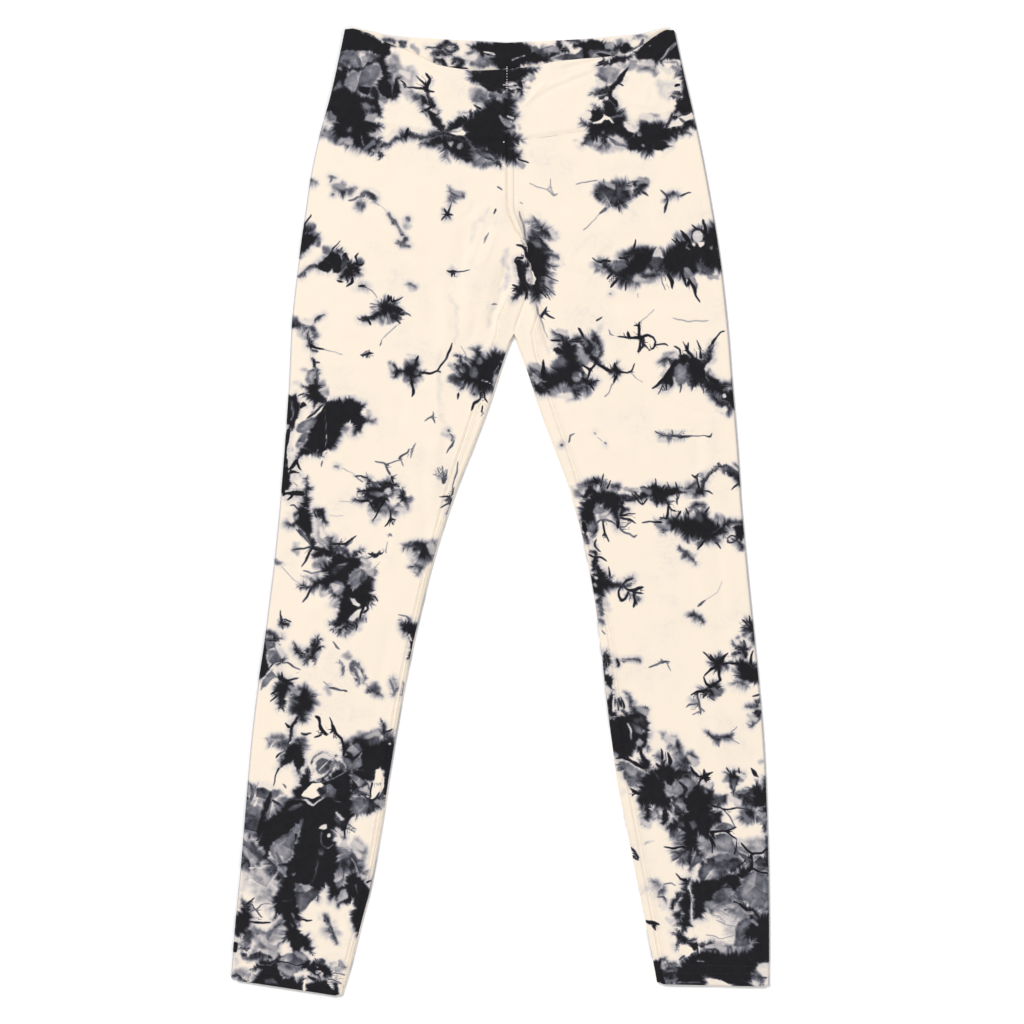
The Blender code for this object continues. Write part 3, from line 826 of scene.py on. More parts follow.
    (0.65, 4, 736, 794, 744, 791, 750, 790, 752, 798, 744, 802, 736, 799),
    (0.7, 4, 742, 812, 750, 808, 756, 812, 754, 820, 746, 822, 740, 818),
    (0.6, 2, 713, 794, 728, 795, 726, 800, 722, 804, 718, 808, 712, 804),
    (0.75, 2, 710, 812, 722, 812, 720, 820, 710, 826),
    (0.65, 3, 672, 851, 684, 850, 690, 852, 688, 860, 682, 865, 676, 860),
    (0.5, 4, 672, 832, 680, 832, 682, 846, 676, 844),
    (0.8, 1.5, 720, 862, 730, 859, 742, 856, 744, 862, 740, 868, 734, 872, 722, 868),
    (0.95, 1.5, 740, 867, 750, 866, 751, 874, 742, 878, 734, 877),
    (0.4, 0.6, 622, 768, 632, 768, 641, 776, 638, 786, 630, 788, 624, 778),
    (0.6, 1.4, 686, 790, 700, 784, 712, 792, 716, 806, 704, 812, 694, 806),
    (0.62, 1, 700, 862, 716, 856, 732, 862, 728, 874, 712, 880, 702, 874),
    # Hem of the wearer's left leg.
    (1, 1.6, 692, 881, 700, 880, 712, 878, 724, 876, 736, 874, 740, 880, 739, 888, 734, 890, 728, 884, 722,
     884, 716, 892, 712, 900, 706, 906, 704, 912, 702, 917, 697, 919, 694, 919, 693, 905, 692, 893),
    (1, 2, 684, 880, 688, 879, 690, 881, 689, 890, 690, 900, 690, 915, 691, 922, 688, 928, 684, 932, 682,
     934, 688, 938, 695, 940, 688, 942, 684, 944, 680, 943, 677, 948, 678, 938, 672, 933, 677, 934, 676,
     930, 680, 932, 682, 926, 676, 924, 681, 920, 684, 916, 681, 906, 682, 896, 685, 888),
    (0.7, 2, 673, 912, 681, 910, 680, 920, 676, 918),
    (0.42, 7, 712, 900, 718, 890, 728, 886, 738, 888, 742, 894, 732, 902, 722, 906, 714, 910, 706, 914),
    (1, 2.6, 742, 902, 748, 906, 754, 908, 762, 914, 773, 914, 773, 962, 764, 962, 758, 963, 755, 972, 751,
     978, 750, 990, 730, 990, 722, 981, 714, 979, 708, 977, 704, 978, 706, 986, 680, 988, 677, 980, 676,
     974, 678, 967, 683, 961, 688, 957, 693, 953, 698, 951, 704, 952, 712, 951, 722, 953, 738, 952, 748,
     952, 752, 948, 756, 940, 750, 938, 744, 938, 742, 930, 748, 926, 750, 920, 746, 914),
    (1, 0.6, 690, 943, 696, 942, 699, 944, 698, 948, 694, 950, 692, 949),
    (1, 1, 700, 943, 706, 942, 714, 942, 708, 945, 704, 947, 700, 946),
    (0.5, 3, 703, 948, 712, 945, 724, 943, 730, 948, 720, 952, 706, 952),
    (0.95, 1, 652, 960, 661, 959, 662, 966, 664, 976, 665, 988, 652, 988),
    (0.8, 4, 663, 972, 668, 966, 674, 968, 677, 972, 675, 980, 668, 984, 664, 980),
    # Crotch, and the thigh of the wearer's left leg.
    (1, 0.7, 527, 243, 532, 238, 540, 236, 545, 245, 543, 256, 547, 262, 545, 272, 541, 280, 543, 292, 536,
     296, 531, 290, 529, 283, 534, 279, 532, 270, 527, 260),
    (1, 0.7, 687, 360, 693, 357, 699, 359, 704, 362, 707, 356, 711, 348, 713, 344, 712, 352, 709, 361, 705,
     368, 705, 378, 703, 384, 699, 383, 696, 387, 692, 383, 690, 374),
    (1, 0.8, 657, 387, 664, 378, 670, 366, 676, 356, 684, 354, 690, 358, 684, 366, 676, 374, 671, 386, 664,
     391),
    (0.5, 0.8, 684, 362, 692, 358, 698, 366, 698, 384, 690, 388, 684, 378),
    # Knee of the wearer's left leg.
    (1, 1.4, 645, 488, 652, 484, 660, 487, 668, 488, 676, 488, 684, 489, 690, 485, 692, 488, 686, 493, 676,
     495, 668, 496, 662, 500, 656, 500, 650, 497, 640, 499, 625, 501, 624, 498, 640, 495),
    (1, 0.8, 734, 526, 742, 524, 744, 532, 742, 541, 737, 538),
    # Waistband, the wearer's right and the centre.
    (1, 1.2, 472, 70, 505, 73, 520, 71, 528, 70, 522, 80, 505, 86, 490, 84, 478, 80),
    (1, 1.2, 474, 150, 490, 150, 500, 158, 494, 163, 480, 158),
    # Knee of the wearer's right leg.
    (1, 0.8, 283, 474, 289, 472, 291, 482, 288, 490, 283, 488),
)

# Dyed lines: tone, feather, and the x, y and half width of each point.
INK_LINES: tuple[Row, ...] = (
    # Waistband, the wearer's right and the centre.
    (1, 2, 426, 90, 2, 428, 96, 1.6, 430, 101, 2, 431, 106, 3.5, 433, 113, 4.5, 437, 122, 4, 441, 129, 2.5,
     444, 133, 1.2),
    (1, 1, 422, 97, 1, 425, 102, 2.2, 428, 104, 1),
    (1, 1.5, 444, 132, 1, 450, 128, 3, 457, 123, 4, 464, 120, 4.5, 470, 116, 5),
    (1, 3, 383, 145, 2, 387, 145, 1.5, 393, 141, 1, 399, 138, 1.8, 405, 135, 3, 412, 136, 1.8, 420, 138,
     1.5, 430, 136, 1.5, 438, 134, 2, 446, 134, 2.5, 456, 137, 3, 466, 141, 4),
    (0.6, 7, 323, 133, 4, 335, 138, 4, 350, 141, 4, 362, 147, 4),
    (1, 1, 380, 152, 1.2, 382, 156, 2, 381, 160, 0.5),
    # Waistband, the wearer's left.
    (1, 2, 683, 66, 1.5, 684, 72, 3, 684, 78, 2), (1, 3, 687, 84, 4, 687, 92, 5, 689, 100, 6, 690, 108, 6),
    (1, 0, 675, 86, 1.2, 678, 85, 1.5), (1, 1, 674, 93, 1, 680, 94, 2), (1, 1, 672, 97, 0.6, 680, 98, 1.5),
    (1, 0.5, 672, 114, 1, 670, 120, 1.2, 667, 126, 1.5, 664, 129, 1.5), (1, 0.5, 670, 118, 1, 676, 117, 2),
    (1, 0, 684, 114, 1.2, 685, 118, 1.5, 688, 118, 1.5, 688, 113, 1.5),
    (1, 0.5, 630, 67, 0.8, 626, 71, 1.5, 622, 76, 2, 619, 81, 2.3, 613, 86, 2, 610, 90, 2.5, 609, 96, 2,
     612, 101, 2, 616, 106, 2.5),
    (1, 3, 596, 94, 1.2, 600, 92, 2.2, 606, 91, 2.5, 610, 90, 2.5), (1, 1, 600, 98, 1.5, 605, 95, 1.5),
    (0.6, 2, 676, 135, 1.5, 684, 133, 2, 689, 134, 1.5),
    # Thigh of the wearer's right leg.
    (0.55, 3, 311, 182, 4, 315, 182, 2), (0.52, 1, 329, 176, 1.2, 332, 178, 2, 335, 178, 1),
    (0.52, 0.5, 331, 182, 1, 332, 178, 1.5), (0.37, 2, 337, 188, 3),
    (0.48, 3, 341, 191, 2, 344, 186, 1.5, 343, 184, 0.5),
    (0.48, 2, 342, 192, 2, 350, 191, 2.5, 356, 187, 1), (0.44, 0.5, 333, 195, 1.2),
    (0.44, 1.5, 361, 197, 1.5, 365, 193, 2, 371, 195, 3, 375, 200, 3), (0.44, 3, 361, 205, 4.5),
    (0.52, 1, 389, 214, 1.2, 393, 219, 1.5, 396, 222, 2, 400, 229, 1.2, 403, 234, 1.8),
    (0.44, 1, 408, 219, 2.2), (0.44, 1, 397, 241, 1, 402, 245, 1.8, 410, 246, 1.2),
    (0.44, 1, 402, 245, 1.5, 405, 239, 2.5),
    (0.5, 1, 300, 276, 1.5, 305, 271, 1.2, 312, 267, 2, 315, 266, 2), (0.67, 2, 338, 252, 2, 343, 252, 1),
    (1, 0, 356, 287, 0.4, 361, 286, 1.1, 365, 286, 1.3, 368, 288, 0.5),
    (1, 1, 380, 314, 2, 372, 318, 1.8, 366, 319, 2.2, 361, 320, 1),
    (0.55, 1, 408, 284, 1, 412, 285, 1.6, 415, 287, 0.7),
    (0.55, 1, 315, 321, 1.2, 319, 318, 2, 324, 314, 0.7),
    (0.6, 3, 293, 323, 4, 299, 325, 3, 307, 326, 3.5, 312, 330, 3, 315, 336, 3),
    (1, 1, 308, 334, 0.6, 310, 341, 1.5, 312, 346, 2.5, 309, 347, 1),
    (0.9, 0.5, 312, 351, 0.8, 317, 352, 1.2), (0.85, 0.5, 312, 358, 1.2, 314, 362, 1.8, 315, 366, 1.5),
    (1, 0, 288, 430, 2, 286, 445, 2, 284, 460, 2.5, 283, 470, 3), (0.8, 0, 298, 396, 0.8, 304, 394, 1),
    (0.85, 0, 301, 408, 1.5, 304, 404, 1.8, 306, 406, 1.2),
    (0.9, 2, 394, 366, 1.5, 396, 371, 3.5, 396, 376, 1.5), (0.9, 2, 460, 357, 2, 461, 364, 2, 466, 366, 2),
    (1, 1, 447, 216, 2), (0.8, 0.5, 448, 431, 1.2), (0.6, 0.5, 474, 394, 1.5),
    # Crotch, and the thigh of the wearer's left leg.
    (0.75, 2.5, 668, 196, 2, 674, 195, 3.5, 678, 195, 3.5),
    (1, 3, 603, 261, 2, 607, 266, 3, 612, 271, 3, 618, 273, 3, 624, 274, 4, 632, 271, 5.5, 640, 266, 7,
     646, 260, 8, 649, 254, 5),
    (0.9, 5, 625, 256, 3, 633, 252, 4, 642, 251, 4, 650, 254, 3),
    (0.6, 6, 620, 279, 4, 628, 280, 4, 636, 282, 3), (0.6, 5, 642, 276, 2.5, 650, 277, 2.5, 658, 274, 2),
    (1, 0.5, 692, 240, 1.2, 693, 233, 1.5, 698, 229, 1.8, 704, 231, 1.6, 706, 237, 1.5, 703, 240, 1),
    (0.7, 0.5, 611, 294, 1), (0.9, 5, 582, 338, 2.5, 590, 346, 4),
    (0.9, 5, 594, 336, 3, 598, 344, 3.5, 600, 352, 2), (1, 1, 570, 342, 2, 580, 341, 2),
    (0.8, 5, 559, 336, 3, 564, 342, 3), (0.85, 7, 580, 388, 3, 586, 388, 3),
    (0.8, 4, 531, 372, 3, 536, 380, 3, 541, 386, 3),
    (0.8, 4, 664, 362, 2.5, 668, 358, 2.5, 676, 358, 3, 684, 360, 3),
    (1, 5, 712, 396, 2, 720, 402, 3, 728, 407, 4), (0.6, 0.5, 562, 445, 1.3), (0.5, 0.5, 596, 433, 1.3),
    (0.6, 0.5, 606, 443, 1.5), (1, 0.8, 690, 362, 1.4, 688, 372, 1.2, 682, 384, 0.8),
    (1, 0.7, 519, 262, 2.4, 521, 272, 3.4, 523, 284, 3.4, 526, 293, 1.8),
    (1, 0.6, 527.5, 244, 1, 529, 252, 1.4, 531.5, 262, 1.2, 535, 268, 0.8),
    (0.55, 2, 350, 50, 2, 358, 58, 4, 362, 68, 2), (0.98, 1.5, 398, 80, 2, 396, 90, 4, 394, 98, 2),
    (0.42, 3, 412, 92, 2, 420, 100, 3, 424, 110, 2), (0.98, 1.2, 482, 84, 2, 492, 88, 4, 500, 92, 3),
    (0.98, 1.2, 512, 80, 2, 517, 86, 3, 522, 92, 2), (0.8, 1.2, 654, 58, 1.5, 660, 61, 2, 664, 66, 1),
    (0.5, 2, 676, 70, 2, 682, 76, 3, 684, 86, 3), (0.46, 1.5, 680, 118, 2, 690, 122, 3),
    (0.36, 2, 612, 142, 3, 624, 143, 3), (0.65, 2, 368, 148, 2, 376, 150, 4, 384, 146, 2),
    (0.98, 1.2, 462, 158, 2, 476, 160, 3, 492, 160, 3, 500, 164, 2), (0.45, 3, 325, 104, 2, 328, 114, 3),
    (0.45, 3, 688, 236, 3, 697, 231, 4, 704, 226, 2), (0.45, 2, 596, 266, 2, 604, 271, 4, 612, 274, 2),
    (0.4, 3, 530, 222, 2, 533, 236, 3), (0.98, 1.2, 522, 272, 2, 526, 281, 4, 530, 290, 2),
    (0.6, 1.5, 707, 262, 2, 711, 270, 3, 712, 277, 1.5), (0.38, 3, 312, 232, 2, 318, 239, 3),
    (0.98, 1, 350, 266, 2, 357, 271, 4), (0.98, 1, 555, 350, 2, 563, 353, 4),
    (0.6, 2, 576, 356, 3, 584, 362, 3), (0.75, 1.5, 531, 380, 2, 538, 384, 4, 546, 386, 2),
    (0.98, 1.2, 708, 376, 2, 714, 382, 4, 720, 388, 2), (0.75, 1.5, 454, 366, 2, 461, 371, 4),
    (0.42, 2, 392, 492, 2, 399, 496, 3, 405, 500, 2), (0.75, 1.2, 722, 470, 2, 731, 470, 3, 738, 474, 2),
    (0.98, 1, 583, 496, 2, 590, 491, 4, 598, 494, 2), (0.5, 1.2, 612, 496, 2, 622, 497, 2, 632, 496, 1),
    (0.7, 1.2, 651, 500, 1.5, 661, 501, 3, 670, 502, 1.5),
    (0.65, 1.5, 590, 516, 2, 593, 526, 4, 594, 536, 2), (0.62, 2, 336, 546, 2, 343, 551, 4, 350, 556, 2),
    (0.5, 2, 324, 584, 2, 331, 588, 4, 338, 592, 2),
    (0.5, 1.5, 345, 636, 1, 353, 627, 2.4, 360, 619, 2, 371, 608, 1),
    (0.45, 1.5, 630, 595, 2, 638, 599, 3), (0.48, 1.5, 353, 668, 2, 357, 677, 4, 359, 684, 2),
    (0.4, 1.5, 391, 682, 2, 393, 688, 3), (0.98, 1, 280, 676, 2, 286, 681, 3, 291, 686, 2),
    (0.45, 2, 720, 661, 2, 727, 667, 3), (0.5, 2, 334, 762, 2, 342, 767, 4),
    (0.98, 1, 356, 772, 3, 365, 775, 5, 374, 778, 3), (0.55, 2, 380, 778, 2, 387, 784, 3),
    (0.85, 1.5, 678, 776, 3, 686, 781, 5, 690, 790, 3), (0.98, 1.2, 672, 798, 2, 677, 806, 5, 680, 816, 3),
    (0.6, 2, 736, 850, 2, 743, 856, 4, 750, 862, 2), (0.5, 2, 276, 852, 3, 281, 862, 4),
    (0.75, 1.5, 279, 874, 3, 283, 882, 4, 286, 890, 2), (0.5, 1.5, 335, 868, 2, 341, 876, 3),
    (0.8, 1.5, 688, 898, 2, 691, 906, 3, 692, 914, 2), (0.7, 1.5, 704, 876, 2, 713, 875, 3, 722, 872, 2),
    (0.36, 3, 728, 908, 2, 737, 914, 4), (0.98, 1, 309, 966, 2, 318, 971, 4.5, 326, 975, 2),
    (0.98, 1, 508, 77, 2.5, 517, 80, 3.5, 523, 86, 2.5),
    (0.98, 1.2, 535, 386, 2, 541, 391, 3, 548, 391, 2), (0.8, 1.2, 573, 348, 2, 581, 352, 3, 588, 350, 2),
    (0.7, 1.2, 592, 360, 2, 599, 362, 3), (0.8, 1.2, 571, 381, 2, 579, 384, 3, 585, 382, 1.5),
    (0.75, 1.2, 455, 383, 2, 462, 386, 3), (0.7, 1.2, 368, 481, 2, 376, 485, 3, 382, 483, 2),
    (0.7, 1.2, 396, 490, 1.5, 403, 493, 2.6), (0.98, 1, 592, 493, 2, 600, 494, 3.5, 608, 492, 2),
    (0.8, 1.2, 614, 507, 2, 621, 510, 3, 628, 509, 1.5), (0.5, 2, 736, 541, 2, 742, 547, 3),
    (0.6, 1.5, 584, 536, 2, 588, 542, 3), (0.55, 2, 308, 578, 2, 314, 583, 3),
    (0.6, 2, 348, 577, 2, 354, 582, 3), (0.65, 1.5, 250, 785, 2, 253, 792, 4, 252, 800, 2),
    (0.98, 1, 679, 782, 2.5, 684, 789, 4.5, 680, 797, 3),
    (0.98, 1, 673, 803, 2.5, 679, 808, 4, 684, 813, 2), (0.6, 2, 656, 757, 2, 662, 762, 3),
    (0.5, 2, 757, 816, 2, 763, 822, 3.5, 765, 830, 2),
    (0.75, 1.5, 738, 853, 2.5, 745, 858, 4, 752, 860, 2), (0.6, 2, 711, 838, 2, 716, 842, 3),
    (0.6, 2, 276, 856, 3, 281, 863, 4), (0.98, 1, 314, 964, 3, 323, 969, 5, 330, 972, 3),
    (0.45, 2, 752, 976, 3, 761, 981, 4), (0.36, 2, 245, 975, 3, 253, 978, 4),
    (0.7, 1.2, 236, 974, 1, 240, 979, 2.2, 246, 982, 1.2), (0.5, 1.5, 262, 962, 2, 270, 966, 2),
    (0.42, 3, 660, 436, 1, 672, 437, 2, 684, 437, 1),
    # Knee of the wearer's right leg.
    (1, 0, 285, 460, 2.5, 284, 480, 2.5, 283, 492, 2), (1, 0, 297, 461, 1.8, 293, 467, 2, 289, 470, 1.2),
    (1, 0, 290, 473, 1.5, 294, 472, 1.3, 299, 473, 0.9), (1, 0, 296, 493, 2, 302, 493.5, 2),
    (1, 0, 283, 496, 1, 287, 493, 1.2, 293, 493, 1.5, 292, 497, 1, 288, 499, 0.6),
    (1, 1, 287, 524, 1, 291, 525, 1.5, 297, 521, 2), (0.9, 2, 294, 516, 1, 298, 513, 2),
    (1, 1, 313, 540, 2, 313, 547, 2.5, 318, 549, 2.5, 324, 551, 3, 329, 553, 4),
    (0.75, 2, 406, 546, 2, 411, 544, 1.5, 416, 542, 1.2),
    (0.6, 3, 416, 566, 2.5, 420, 568, 3, 418, 573, 1.5),
    (0.9, 1, 447, 500, 1.2, 450, 498, 2.2, 452, 506, 1.5, 447, 514, 0.6),
    (0.5, 1, 335, 466, 0.8, 339, 466.5, 0.6),
    # Knee of the wearer's left leg.
    (0.8, 5, 586, 485, 4, 596, 482, 4, 604, 484, 3), (0.85, 4, 612, 487, 2.5, 617, 486, 2.5),
    (1, 0, 617, 520, 2, 618, 528, 1.5), (1, 0.5, 584, 524, 2, 585, 530, 2.5, 586, 533, 1),
    (0.9, 1, 590, 551, 1, 595, 552, 2.5), (1, 1, 596, 556, 1.5, 595, 563, 2, 594, 568, 2),
    (1, 1, 597, 566, 2, 600, 573, 2.5, 603, 577, 3),
    (1, 1.5, 622, 500, 2, 630, 499, 2, 637, 498, 1.5, 645, 497, 1),
    (0.95, 1, 700, 492, 2, 704, 482, 1.5, 708, 475, 1.3, 714, 470, 1.2, 718, 466, 1.2),
    (0.9, 1, 720, 467, 1.2, 727, 469, 3, 733, 474, 3.5, 738, 480, 3.5, 740, 485, 2),
    (0.85, 4, 696, 492, 3, 701, 491, 2), (0.85, 4, 692, 508, 2, 697, 507, 3, 702, 507, 2.5),
    (0.6, 2, 680, 549, 1.5, 686, 554, 1.8, 692, 559, 1.8, 696, 564, 2), (0.7, 0, 718, 464, 1.5),
    (0.5, 1, 735, 464, 1.5, 740, 470, 1.5),
    # Calf of the wearer's right leg.
    (0.8, 1.5, 282, 624, 2.5, 287, 624, 1.5),
    (1, 0.5, 265, 637, 1.5, 264, 650, 2, 263, 660, 3, 262, 672, 3.5, 261, 677, 1),
    (1, 1, 268, 639, 1.2, 275, 639, 1.5, 281, 637, 0.6), (0.65, 3, 268, 634, 3, 274, 636, 3),
    (1, 1.5, 277, 645, 1.5, 279, 653, 2, 282, 659, 2, 280, 664, 1), (0.9, 2, 286, 685, 2, 291, 684, 2.5),
    (1, 0.5, 298, 716, 1.5, 296, 720, 1.2, 293, 726, 1.8, 292, 730, 1.2, 290, 737, 1, 289, 742, 1),
    (1, 2, 296, 649, 2, 299, 652, 2.5, 303, 656, 1.5, 308, 657, 1.5),
    (1, 2.5, 306, 661, 1.5, 311, 656, 2.5, 314, 650, 3, 316, 644, 2.5, 317, 638, 1.5),
    (1, 1, 314, 650, 2, 319, 647, 2, 322, 646, 0.8), (1, 1, 316, 642, 1.5, 320, 639, 0.8),
    (1, 1, 308, 651, 2, 311, 647, 0.8), (1, 1, 314, 657, 1.5, 316, 663, 0.5),
    (0.65, 1, 339, 661, 1.5, 342, 666, 1.2, 343, 671, 1.5, 343, 675, 0.5),
    (0.7, 1, 354, 663, 2.5, 352, 670, 2.5, 355, 677, 3, 358, 681, 2.5, 363, 682, 2, 364, 676, 1.5, 362,
     670, 1.2, 358, 664, 1.5),
    (0.65, 2, 366, 684, 0.8, 371, 689, 1.5, 377, 693, 2, 383, 696, 0.5),
    (0.6, 3, 394, 681, 2.5, 395, 688, 3.5, 393, 695, 1.5),
    (1, 0.5, 412, 640, 1.5, 412, 650, 1, 410, 658, 0.8), (0.6, 1, 404, 686, 1.5, 402, 695, 1.2),
    (0.65, 4, 272, 738, 3, 279, 739, 4.5, 286, 742, 3), (0.6, 3, 298, 741, 3, 303, 739, 3),
    (0.9, 2, 383, 724, 1.5, 384, 732, 2.5), (0.75, 1, 330, 762, 2, 335, 758, 1.5, 336, 755, 0.6),
    (0.95, 1, 271, 789, 0.8, 269, 800, 2, 264, 812, 2, 260, 830, 3.5, 259, 838, 2),
    (0.95, 2, 243, 900, 1, 246, 906, 2.5, 247, 913, 2), (1, 0, 235, 944, 2, 235, 950, 2.5),
    (1, 1, 262, 962, 2, 270, 962, 2, 276, 961, 1.8, 279, 957, 1.2, 278, 953, 0.6),
    (1, 0.5, 303, 967, 1, 307, 965, 2, 308, 961, 1.5), (0.85, 1, 323, 961, 2.8),
    (0.8, 1, 331, 968, 1.5, 334, 965, 2.5, 337, 964, 1),
    (0.6, 1.5, 325, 916, 1.2, 328, 922, 2, 331, 930, 2, 333, 937, 1.8, 337, 943, 1),
    (0.6, 0.6, 311, 764, 0.4, 315, 756, 0.6, 322, 753, 0.5, 331, 756, 0.6, 334, 763, 0.5, 332, 770, 0.7,
     326, 777, 1.1, 318, 780, 0.9),
    (0.3, 1.5, 243, 942, 1.6, 255, 930, 2.4, 268, 935, 2.4, 280, 925, 1.6),
    (0.28, 1.5, 250, 955, 1.6, 262, 945, 2.4, 275, 950, 2, 283, 940, 1.2),
    # Calf of the wearer's left leg.
    (0.7, 1, 599, 600, 2, 601, 610, 2.5, 602, 615, 2), (0.5, 2, 601, 622, 3),
    (1, 2, 606, 654, 1.5, 605, 662, 2.5, 605, 668, 1.5), (1, 1, 608, 656, 1.5, 609, 664, 1.5),
    (0.65, 1, 616, 660, 1.5, 618, 664, 2.2),
    (1, 3, 705, 689, 1.5, 710, 687, 2.5, 716, 686, 1.8, 721, 687, 0.6),
    (0.65, 2, 734, 644, 1, 741, 649, 2.5, 745, 654, 2.5, 748, 659, 1),
    (0.65, 2, 744, 643, 2, 743, 650, 2.5), (0.65, 1, 751, 646, 0.6, 745, 650, 1.5),
    (0.65, 2, 733, 654, 1.5, 740, 652, 2),
    (0.9, 2, 759, 701, 1.5, 757, 706, 2, 750, 705.5, 1, 746, 707, 0.3),
    (0.7, 2, 758, 712, 2.5, 755, 719, 3, 752, 725, 2), (0.6, 2, 629, 694, 2, 630, 700, 2, 630, 706, 1.5),
    (1, 1, 620, 700, 0.6, 623, 710, 1, 627, 715, 1.3, 634, 714, 1.2, 641, 711, 1.5, 645, 708, 2),
    (1, 1, 640, 750, 1.5, 643, 757, 1.5, 645, 763, 3, 648, 767, 2.5),
    (0.6, 3, 674, 738, 2, 677, 744, 3, 680, 750, 2.5), (0.6, 3, 737, 794, 1.5, 744, 792, 2.5, 750, 793, 3),
    (0.75, 3, 694, 614, 2.5, 699, 618, 3.5, 703, 621, 2),
    (0.75, 3, 707, 734, 0.6, 714, 737, 2.5, 722, 737, 1.5, 729, 737, 2.5, 731, 734, 1),
    (0.55, 4, 664, 737, 0.5, 674, 742, 2, 680, 749, 2.5, 682, 753, 1),
    (1, 1, 664, 808, 2, 665, 815, 2.5, 664, 821, 2.5), (1, 1, 668, 808, 2, 671, 810, 1.5),
    (0.5, 3, 655, 811, 3, 658, 816, 3), (0.8, 1, 681, 893, 1.5, 674, 902, 2.5, 672, 908, 1.2),
    (0.8, 4, 720, 888, 2, 733, 888, 3), (0.75, 3, 665, 958, 0.8, 668, 966, 2, 674, 964, 1.5),
    (0.45, 5, 656, 883, 2, 662, 890, 3.5), (0.65, 1.5, 646, 745, 1.5, 649, 751, 2),
    (0.55, 4, 737, 682, 2, 746, 684, 2), (0.7, 4, 722, 842, 4),
    (0.55, 1, 767, 838, 2, 767, 855, 2, 768, 875, 1.5),
    (1, 0.5, 677, 944, 1, 684, 941, 1.4, 691, 942, 1.2, 697, 947, 1.1, 700, 953, 0.8),
    (1, 0.5, 696, 953, 0.8, 699, 946, 0.9, 704, 941, 0.6),
    (0.5, 1.2, 622, 660, 0.4, 630, 660, 0.9, 639, 660, 1.2),
)

